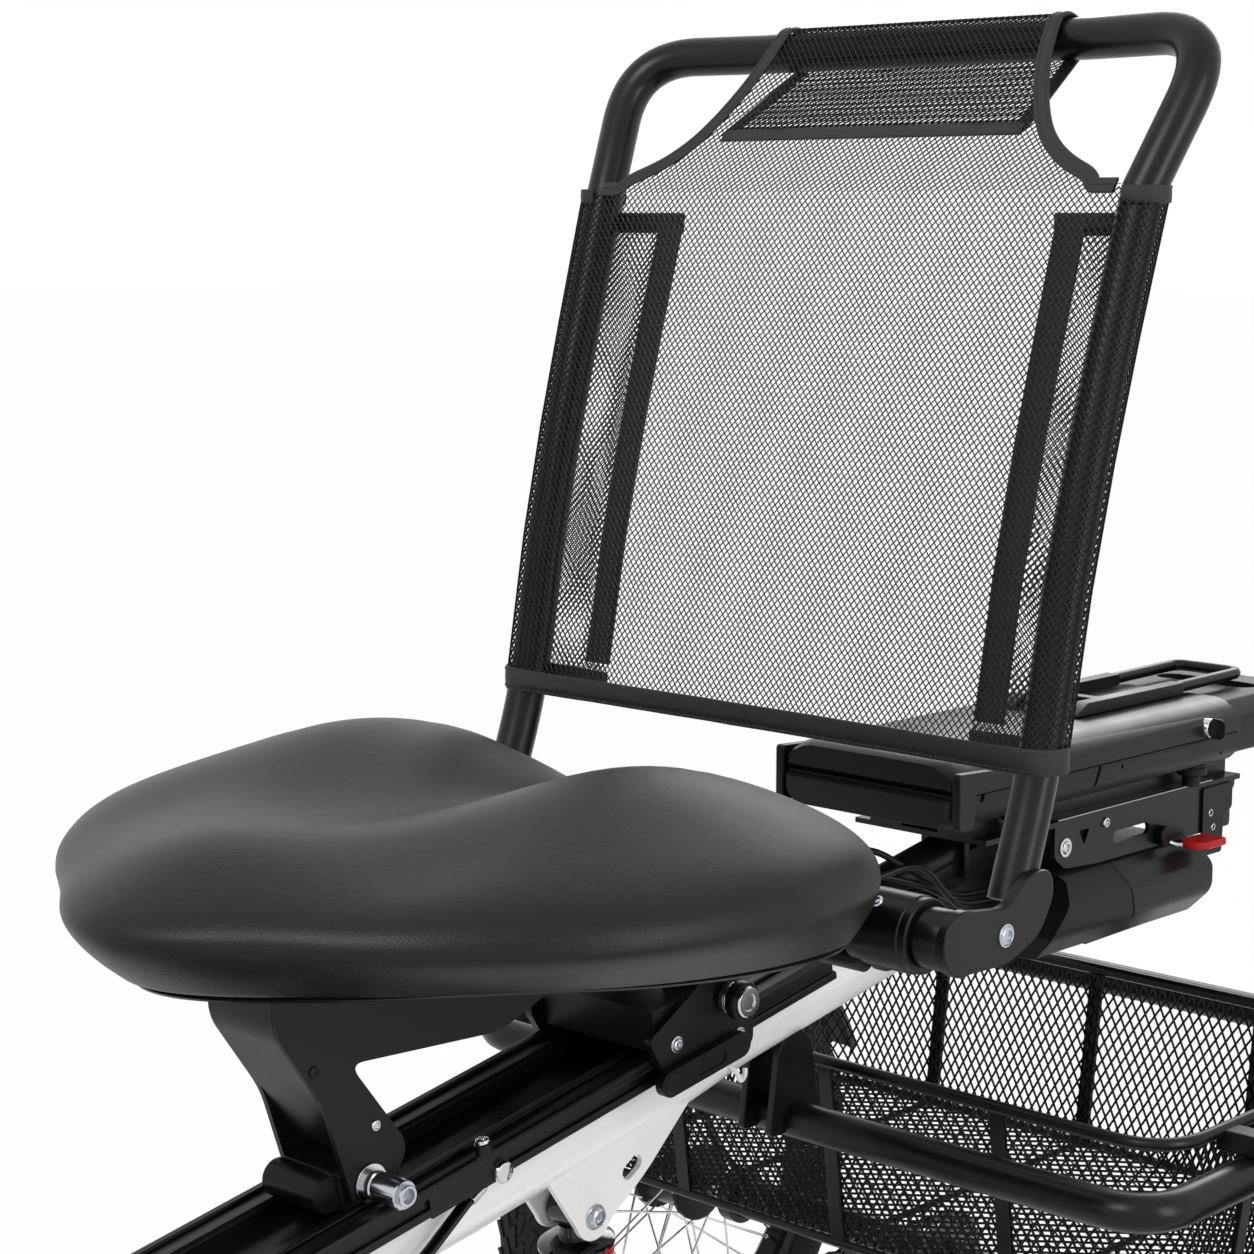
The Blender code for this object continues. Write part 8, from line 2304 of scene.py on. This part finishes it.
def grip(name, side, length, body, node):
    end, way = bar_end(side)
    start = end - way * length
    profile = [(0.0, 0.0114), (0.0, 0.0176), (0.0012, 0.0182), (0.0030, 0.0182), (0.0042, 0.0160)]
    ribs = int((length - 0.020) / 0.0052)
    for rib in range(ribs):
        low = 0.0080 + rib * 0.0052
        profile += [(low, 0.0146), (low + 0.0006, 0.0158), (low + 0.0032, 0.0160), (low + 0.0038, 0.0148)]
    profile += [(length - 0.006, 0.0150), (length - 0.004, 0.0160), (length - 0.001, 0.0158),
        (length, 0.0140), (length, 0.0114)]
    piece(name, lambda bm: hollow(bm, profile, start, way, 48), GRIP_RUBBER, body, "grip_rubber", node,
        smooth=30.0)
    piece(name + "_plug", lambda bm: turned(bm,
            [(-0.004, 0.0), (-0.004, 0.0110), (0.0, 0.0110), (0.0, 0.0136), (0.0010, 0.0136),
                (0.0022, 0.0118), (0.0022, 0.0)], end, way, 36), ABS_BLACK, body, "matt_plastic")


column()
handlebar()
grip("left_grip", 1, 0.108, "post", "grip_left")
grip("throttle_sleeve", -1, 0.068, "throttle", "throttle_grip")
end, way = bar_end(-1)
rest = end - way * 0.0685
piece("throttle_collar", lambda bm: hollow(bm,
        [(0.0, 0.0112), (0.0, 0.0152), (0.0015, 0.0158), (0.0050, 0.0158), (0.0060, 0.0150),
            (0.0320, 0.0150), (0.0330, 0.0160), (0.0372, 0.0160), (0.0378, 0.0152), (0.0378, 0.0112)],
        rest - way * 0.038, way, 44), ABS_BLACK, "post", "matt_plastic", bevel=0.0003)

# %% Display and headlight
def display():
    turn = Matrix.Translation(BAR_CENTRE) @ Matrix.Rotation(math.radians(22.0), 4, "X")
    shell = soften([(-0.034, -0.030), (0.034, -0.030), (0.034, 0.034), (-0.034, 0.034)], 0.009, 8)
    glass = soften([(-0.0285, -0.0250), (0.0285, -0.0250), (0.0285, 0.0150), (-0.0285, 0.0150)], 0.004, 6)
    made = solid("display_housing", lambda bm: plate(bm, shell, 0.0182, 0.0338, "Z", turn),
                 lambda bm: block(bm, (-0.012, -0.010, 0.0), (0.012, 0.010, 0.020), turn))
    carve(made, cutter(lambda bm: plate(bm, glass, 0.0326, 0.040, "Z", turn)),
          drill(turn @ Vector((0, 0.024, 0.029)), turn.to_3x3() @ Vector((0, 0, 1)), 0.0064, 0.02, 32),
          cutter(lambda bm: pin(bm, BAR_CENTRE - X_AXIS * 0.03, BAR_CENTRE + X_AXIS * 0.03, 0.0168, 40)))
    done(made, ABS_BLACK, "post", "matt_plastic", "display", bevel=0.0014, smooth=28.0, segments=3)
    piece("display_glass", lambda bm: plate(bm,
            soften([(-0.0282, -0.0247), (0.0282, -0.0247), (0.0282, 0.0147), (-0.0282, 0.0147)], 0.0038, 6),
            0.0320, 0.0336, "Z", turn), GLASS_BLACK, "post", "lens", bevel=0.0002)
    up = turn.to_3x3() @ Vector((0, 0, 1))
    piece("display_key", lambda bm: turned(bm,
            [(0.0, 0.0), (0.0, 0.0056), (0.0040, 0.0056), (0.0050, 0.0046), (0.0046, 0.0026),
                (0.0044, 0.0)], turn @ Vector((0.0, 0.024, 0.0315)), up, 32),
        GRIP_RUBBER, "button", "grip_rubber", "display_button", bevel=0.0002)


def headlight():
    base = head_point(0.560, 0.018)
    out = Vector((0, -1, 0))
    bm = bmesh.new()
    turned(bm, [(0.0, 0.0), (0.0, 0.0150), (0.0030, 0.0220), (0.0120, 0.0275), (0.0200, 0.0298),
            (0.0400, 0.0300), (0.0425, 0.0292), (0.0425, 0.0268), (0.0380, 0.0262), (0.0380, 0.0)],
        base + out * 0.012, out, 56)
    pin(bm, base, base + out * 0.016, 0.0078, 28)
    done(as_object(bm, "headlight_shell"), ABS_BLACK, "steering", "matt_plastic", "headlight", bevel=0.0005,
        smooth=30.0)
    piece("headlight_lens", lambda bm: turned(bm,
            [(0.0, 0.0), (0.0, 0.0258), (0.0030, 0.0258), (0.0048, 0.0200), (0.0058, 0.0100),
                (0.0060, 0.0)], base + out * 0.0500, out, 48), CLEAR_LENS, "steering", "lens", smooth=40.0)
    bm = bmesh.new()
    block(bm, (-0.0070, 0.0150, 0.545), (0.0070, 0.0180, 0.575), HEAD_PLACE)
    hollow(bm, [(0.0, 0.0171), (0.0, 0.0192), (0.0160, 0.0192), (0.0160, 0.0171)], head_point(0.552),
        HEAD_WAY, 40)
    done(as_object(bm, "headlight_band"), BLACK_COAT, "steering", "black_coat", bevel=0.0005)


display()
headlight()

# %% [markdown]
# The swingarm joins the crank shell to the rear axle beam: two bearing rings, two tapered legs, a
# bridge with the shock's fork and the beam with its stub axles. It's one weldment, like the frame.

# %% Swingarm
SWING_LEG = 0.050
CHAIN_X = -0.070


def swing_point(y, lift=0.0, x=0.0):
    share = (y - CRANK_AXIS.y) / (REAR_AXLE.y - CRANK_AXIS.y)
    return Vector((x, y, CRANK_AXIS.z + (REAR_AXLE.z - CRANK_AXIS.z) * share + lift))


def swingarm():
    parts = [lambda bm: pin(bm, REAR_AXLE - X_AXIS * 0.300, REAR_AXLE + X_AXIS * 0.300, 0.0170,
            44), lambda bm: pin(bm, Vector((-SWING_LEG, 0.160, 0.2475)), Vector((SWING_LEG, 0.160, 0.2475)),
            0.0100, 28), lambda bm: pin(bm, Vector((-0.0750, 0.300, 0.2755)),
            Vector((-0.0602, 0.300, 0.2755)), 0.0176, 36), lambda bm: block(bm, (-0.0662, 0.292, 0.254),
            (-SWING_LEG, 0.308, 0.2855))]
    for side in (-1, 1):
        x = side * SWING_LEG
        parts.append(lambda bm, s=side: pin(bm, Vector((s * 0.0425, *CRANK_AXIS.yz)),
                Vector((s * 0.0565, *CRANK_AXIS.yz)), 0.0258, 44))
        parts.append(lambda bm, x=x: sweep(bm, [swing_point(-0.308, 0, x), swing_point(-0.22, 0, x),
                    swing_point(0.10, 0, x), swing_point(0.50, 0, x), Vector((x, *REAR_AXLE.yz))],
                [0.0118, 0.0125, 0.0125, 0.0125, 0.0118], 28))
        lug = soften([(0.146, 0.244), (0.174, 0.244), (0.171, 0.281), (0.149, 0.281)], 0.006, 6)
        parts.append(lambda bm, s=side: plate(bm, lug, *sorted((s * 0.0136, s * 0.0186))))
    made = solid("swingarm_weldment", *parts)
    carve(made, drill(CRANK_AXIS - X_AXIS * 0.08, X_AXIS, 0.0188, 0.16),
          drill(CRANK_AXIS - X_AXIS * 0.0412, X_AXIS, 0.0312, 0.0824))
    done(made, BLACK_COAT, "swing", "black_coat", "swingarm", bevel=0.0014, smooth=28.0, segments=3)
    for side, name in SIDES:
        bm = bmesh.new()
        pin(bm, REAR_AXLE + X_AXIS * side * 0.296, REAR_AXLE + X_AXIS * side * 0.3905, 0.0088, 32)
        turned(bm, [(0, 0), (0, 0.0125), (0.0015, 0.0140), (0.0060, 0.0140), (0.0072, 0.0112),
                (0.0072, 0.0)], REAR_AXLE + X_AXIS * side * 0.3862, X_AXIS * side, 6)
        done(as_object(bm, "stub_axle_" + name), BRIGHT_ZINC, "swing", "bright_zinc", bevel=0.0004)
    socket_bolt("shock_foot_bolt", SHOCK_FOOT + X_AXIS * 0.0186, X_AXIS, 0.0062, 0.0044,
        BRIGHT_ZINC, "swing", "bright_zinc", washer=0.0078)


swingarm()

# %% [markdown]
# The chain is built link by link. Its path is the belt line round chainring and sprocket and under the
# guide roller. Every pitch gets an outer or an inner pair of plates and a roller, so it has real gaps.

# %% Chain
CHAIN_PITCH = 0.0127
CHAIN_LIFT = 0.0039


def belt_line(circles):
    """The line of a belt round circles of (y, z, radius, sense)."""
    line = []
    for index, (y, z, radius, turn) in enumerate(circles):
        before, after = circles[index - 1], circles[(index + 1) % len(circles)]

        def heading(a, b):
            far = math.hypot(b[0] - a[0], b[1] - a[1])
            return math.atan2(b[1] - a[1], b[0] - a[0]) + math.asin((a[3] * a[2] - b[3] * b[2]) / far)

        start = heading(before, (y, z, radius, turn)) - math.pi / 2
        end = heading((y, z, radius, turn), after) - math.pi / 2
        while (end - start) * turn < 0:
            end += 2 * math.pi * turn
        reach = radius * turn
        for step in range(25):
            angle = start + (end - start) * step / 24
            line.append(Vector((CHAIN_X, y + reach * math.cos(angle), z + reach * math.sin(angle))))
    return line


def chain():
    line = belt_line([(*CRANK_AXIS.yz, 0.055 + CHAIN_LIFT, 1.0), (*REAR_AXLE.yz, 0.034 + CHAIN_LIFT, 1.0),
                      (0.300, 0.2755, 0.018 + CHAIN_LIFT, -1.0)])
    marks = ring_lengths(line)
    links = 2 * round(marks[-1] / CHAIN_PITCH / 2)

    def on_line(share):
        place = (share % 1.0) * marks[-1]
        index = max(i for i in range(len(line)) if marks[i] <= place + 1e-9)
        part = (place - marks[index]) / max(1e-9, marks[index + 1] - marks[index])
        return line[index % len(line)].lerp(line[(index + 1) % len(line)], part)

    plates, rollers = bmesh.new(), bmesh.new()
    for link in range(links):
        first, last = on_line(link / links), on_line((link + 1) / links)
        way = (last - first).normalized()
        up = X_AXIS.cross(way)
        out = 0.0030 if link % 2 else 0.0019
        for side in (-1, 1):
            ring = []
            for centre, sign in ((last, 1), (first, -1)):
                for angle in (-90, -45, 0, 45, 90):
                    turn = math.radians(angle)
                    ring.append(centre + way * (sign * 0.0034 * math.cos(turn))
                        + up * (sign * 0.0034 * math.sin(turn)))
                middle = (first + last) / 2
                ring.append(middle + up * (sign * 0.0023))
            low = [plates.verts.new(p + X_AXIS * side * out) for p in ring]
            high = [plates.verts.new(p + X_AXIS * side * (out + 0.0005)) for p in ring]
            plates.faces.new(low)
            plates.faces.new(list(reversed(high)))
            for index in range(len(ring)):
                after = (index + 1) % len(ring)
                plates.faces.new((low[index], high[index], high[after], low[after]))
        turned(rollers, [(0, 0), (0, 0.0026), (0.0036, 0.0026), (0.0036, 0)], first - X_AXIS * 0.0018,
            X_AXIS, 10)
        turned(rollers, [(0, 0), (0, 0.0011), (0.0070, 0.0011), (0.0070, 0)], first - X_AXIS * 0.0035,
            X_AXIS, 8)
    done(as_object(plates, "chain_plates"), CHAIN_STEEL, "swing", "steel", "chain", smooth=30.0)
    done(as_object(rollers, "chain_rollers"), CHAIN_STEEL, "swing", "steel", smooth=30.0)
    print("chain of", links, "links")


def toothed(bm, teeth, root, tip, low, high, centre):
    """A sprocket disc with its teeth."""
    outline = []
    for tooth in range(teeth):
        for share, radius in ((0.0, root), (0.18, root), (0.36, tip - 0.0012), (0.44, tip), (0.56, tip),
                              (0.64, tip - 0.0012), (0.82, root)):
            angle = 2 * math.pi * (tooth + share) / teeth
            outline.append((centre.y + radius * math.cos(angle), centre.z + radius * math.sin(angle)))
    plate(bm, outline, low, high)


def round_hole(y, z, radius, low=-0.2, high=0.2):
    return cutter(lambda bm: plate(bm, arc_points(y, z, radius, 0, 345, 23), low, high))


def drive():
    centre = REAR_AXLE + X_AXIS * CHAIN_X
    made = solid("sprocket_disc", lambda bm: toothed(bm, 17, 0.0322, 0.0368, CHAIN_X - 0.0011,
            CHAIN_X + 0.0011, centre), lambda bm: pin(bm, centre - X_AXIS * 0.0135,
            centre + X_AXIS * 0.0022, 0.0250, 44))
    carve(made, round_hole(REAR_AXLE.y, REAR_AXLE.z, 0.0174))
    done(made, CHAIN_STEEL, "sprocket_body", "steel", "sprocket", bevel=0.0003, smooth=30.0)


chain()
drive()

# %% Crank set and pedals
CRANK_LONG = 0.145


def crank_arm(bm, side):
    """One forged arm: broad at the boss, slim in the middle, round at the pedal eye."""
    low, high = sorted((side * 0.0782, side * 0.0905))
    sign = -side
    rows = [(0.0, 0.0178), (0.010, 0.0172), (0.030, 0.0125), (0.060, 0.0105), (0.100, 0.0098),
        (0.128, 0.0100)]
    right = [(CRANK_AXIS.y + w, CRANK_AXIS.z + sign * d) for d, w in rows]
    left = [(CRANK_AXIS.y - w, CRANK_AXIS.z + sign * d) for d, w in reversed(rows)]
    tip = [(CRANK_AXIS.y + y, CRANK_AXIS.z + sign * z)
        for y, z in arc_points(0, CRANK_LONG, 0.0130, -20, 200, 20)]
    butt = [(CRANK_AXIS.y - y, CRANK_AXIS.z - sign * z) for y, z in arc_points(0, 0, 0.0178, 10, 170, 16)]
    plate(bm, right + tip + left + butt, low, high)


def crankset():
    ring_low, ring_high = CHAIN_X - 0.0011, CHAIN_X + 0.0011
    centre = Vector((CHAIN_X, *CRANK_AXIS.yz))
    made = solid("chainring", lambda bm: toothed(bm, 28, 0.0532, 0.0578, ring_low, ring_high, centre))
    carve(made, *[round_hole(y, z, 0.0105) for y, z in arc_points(*CRANK_AXIS.yz, 0.037, 0, 288, 4)])
    done(made, CHAIN_STEEL, "crank", "steel", bevel=0.0003)
    made = solid("crank_arms_forged", lambda bm: pin(bm, CRANK_AXIS - X_AXIS * 0.0905,
            CRANK_AXIS + X_AXIS * 0.0905, 0.0098, 36), lambda bm: pin(bm, CRANK_AXIS - X_AXIS * 0.0800,
            Vector((-0.0679, *CRANK_AXIS.yz)), 0.0200, 44), lambda bm: crank_arm(bm,
            1), lambda bm: crank_arm(bm, -1))
    eyes = [round_hole(CRANK_AXIS.y, CRANK_AXIS.z - side * CRANK_LONG, 0.0059,
            *sorted((side * 0.07, side * 0.10))) for side in (-1, 1)]
    carve(made, *eyes)
    done(made, BLACK_ANODISED, "crank", "black_aluminium", "crankset", bevel=0.0016, smooth=28.0,
        segments=3)
    for side, name in SIDES:
        socket_bolt("crank_bolt_" + name, CRANK_AXIS + X_AXIS * side * 0.0905, X_AXIS * side, 0.0080,
            0.0030, BRIGHT_ZINC, "crank", "bright_zinc")
        tip = CRANK_AXIS + Vector((side * 0.078, 0, -side * CRANK_LONG))
        body = "pedal_l" if side > 0 else "pedal_r"
        bm = bmesh.new()
        pin(bm, tip + X_AXIS * side * 0.001, tip + X_AXIS * side * 0.112, 0.0050, 20)
        pin(bm, tip + X_AXIS * side * 0.013, tip + X_AXIS * side * 0.017, 0.0084, 6)
        done(as_object(bm, "pedal_spindle_" + name), BRIGHT_ZINC, body, "bright_zinc")
        shape = soften([(-0.041, 0.020), (0.041, 0.020), (0.041, 0.107), (-0.041, 0.107)], 0.008, 5)
        platform = solid("pedal_platform_" + name, lambda bm: plate(bm, [(side * x, y) for y, x in shape],
                -0.0090, 0.0090, "Z", Matrix.Translation(tip)))
        windows = [cutter(lambda bm, y=y, x=x: block(bm,
                    (min(side * x, side * (x + 0.030)), y - 0.010, -0.02),
                    (max(side * x, side * (x + 0.030)), y + 0.010, 0.02), Matrix.Translation(tip)))
            for y in (-0.023, 0.023) for x in (0.028, 0.067)]
        carve(platform, *windows)
        done(platform, ABS_BLACK, body, "matt_plastic", "pedal_" + name, bevel=0.0010)
        bm = bmesh.new()
        for y in (-0.035, 0.035):
            for x in (0.026, 0.045, 0.063, 0.081, 0.100):
                for way in (-1, 1):
                    turned(bm, [(0, 0), (0, 0.0019), (0.0019, 0.0015), (0.0019, 0)],
                           tip + Vector((side * x, y, way * 0.0088)), (0, 0, way), 8)
        done(as_object(bm, "pedal_studs_" + name), ABS_BLACK, body, "matt_plastic")


crankset()

# %% [markdown]
# Small things near the rail finish the picture: a stop plate with its cap bolt and chrome dome, which
# slides with the seat along the near rail, a bolt with two bright rings on the white tube, knobs on
# the far rail, a hose with a chrome ferrule, the cables in front of the battery and a small white hook.

# %% Fittings along the rail
def small_fittings():
    above = rail_point(0.0, 1.0) - rail_point(0.0, 0.0)
    base = rail_point(-0.1520, 0.0002, 0.0482)
    bm = bmesh.new()
    rail_block(bm, (0.0473, -0.200, -0.0212), (0.0497, -0.1355, -0.0040))
    rail_block(bm, (0.0473, -0.1590, -0.0060), (0.0497, -0.1450, 0.0004))
    done(as_object(bm, "front_slide_tongue_plate"), BLACK_COAT, "seat", "black_coat", bevel=0.0005)
    piece("cap_bolt_skirt", lambda bm: turned(bm,
            [(0.0, 0.0), (0.0, 0.0056), (0.0062, 0.0056), (0.0072, 0.0046), (0.0072, 0.0)], base, above,
            32), BLACK_COAT, "seat", "black_coat", bevel=0.0003)
    socket_bolt("cap_bolt_head", base + above * 0.0070, above, 0.0045, 0.0026,
        POLISHED_STEEL, "seat", "bright_zinc", recess=0.60)
    piece("rail_stop_dome", lambda bm: turned(bm,
            [(0.0, 0.0), (0.0, 0.0066), (0.0014, 0.0072), (0.0034, 0.0072), (0.0048, 0.0062),
                (0.0054, 0.0040), (0.0056, 0.0)], rail_point(-0.1423, -0.0160, 0.0494), X_AXIS, 40),
        POLISHED_STEEL, "seat", "bright_zinc", bevel=0.0002)
    place = rail_point(-0.0555, -0.0240, 0.0240)
    piece("tube_bolt_rings", lambda bm: turned(bm,
            [(0.0, 0.0), (0.0, 0.0066), (0.0012, 0.0070), (0.0024, 0.0066), (0.0024, 0.0050),
                (0.0042, 0.0050), (0.0052, 0.0044), (0.0052, 0.0026), (0.0030, 0.0024), (0.0030, 0.0)],
            place, (0.86, -0.18, 0.48), 40), POLISHED_STEEL, "frame", "bright_zinc", bevel=0.0002)
    for number, u in enumerate((-0.158, -0.212)):
        piece("far_rail_knob_%d" % number, lambda bm: turned(bm,
                [(-0.0010, 0.0), (-0.0010, 0.0058), (0.0034, 0.0062), (0.0052, 0.0054), (0.0056, 0.0030),
                    (0.0058, 0.0)], rail_point(u, 0.0, -0.0405), above, 32),
            ABS_SMOOTH, "frame", "matt_plastic", bevel=0.0003)


def ferrule_hose():
    """The flat hose that leaves the rail beside the white tube, with a chrome ferrule round it."""
    path = rounded([rail_point(-0.143, -0.0260, 0.0350), rail_point(-0.160, -0.0300, 0.0370),
                    rail_point(-0.205, -0.0530, 0.0360), rail_point(-0.300, -0.0640, 0.0300)], 0.016, 8)
    piece("hose_flat", lambda bm: sweep(bm, path, 0.0046, 20, flat=0.6, hint=(1, 0, 0)),
        CABLE_SKIN, "frame", "matt_plastic")
    start, end = rail_point(-0.149, -0.0272, 0.0356), rail_point(-0.161, -0.0303, 0.0370)
    piece("hose_ferrule", lambda bm: sweep(bm, [start, start.lerp(end, 0.5), end], 0.0060, 28, flat=0.66,
            hint=(1, 0, 0)), POLISHED_STEEL, "frame", "bright_zinc", bevel=0.0003)


small_fittings()
ferrule_hose()
CABLES = [[(-0.030, 0.330, 0.512), (-0.028, 0.360, 0.560), (0.004, 0.430, 0.590), (0.030, 0.462, 0.566),
           (0.024, 0.510, 0.540), (0.024, 0.570, 0.537)],
          [(-0.022, 0.330, 0.512), (-0.018, 0.370, 0.548), (0.012, 0.430, 0.570), (0.032, 0.470, 0.556),
           (0.031, 0.510, 0.535), (0.031, 0.570, 0.531)],
          [(0.010, 0.340, 0.520), (0.020, 0.400, 0.566), (0.040, 0.450, 0.580), (0.040, 0.480, 0.550),
           (0.038, 0.510, 0.530), (0.038, 0.570, 0.525)]]
for number, points in enumerate(CABLES):
    piece("cable_front_%d" % number, lambda bm: sweep(bm, rounded(points, 0.02, 10), 0.0024, 16),
        CABLE_SKIN, "frame", "matt_plastic", smooth=60.0)
hook_path = rounded([(0.0215, 0.2660, 0.4690), (0.0270, 0.2690, 0.4640), (0.0280, 0.2725, 0.4560),
                     (0.0270, 0.2780, 0.4590), (0.0262, 0.2790, 0.4640)], 0.003, 5)
piece("cable_hook_white", lambda bm: sweep(bm, hook_path, 0.0017, 14),
    WHITE_ENAMEL, "frame", "white_enamel")
print("small fittings done")
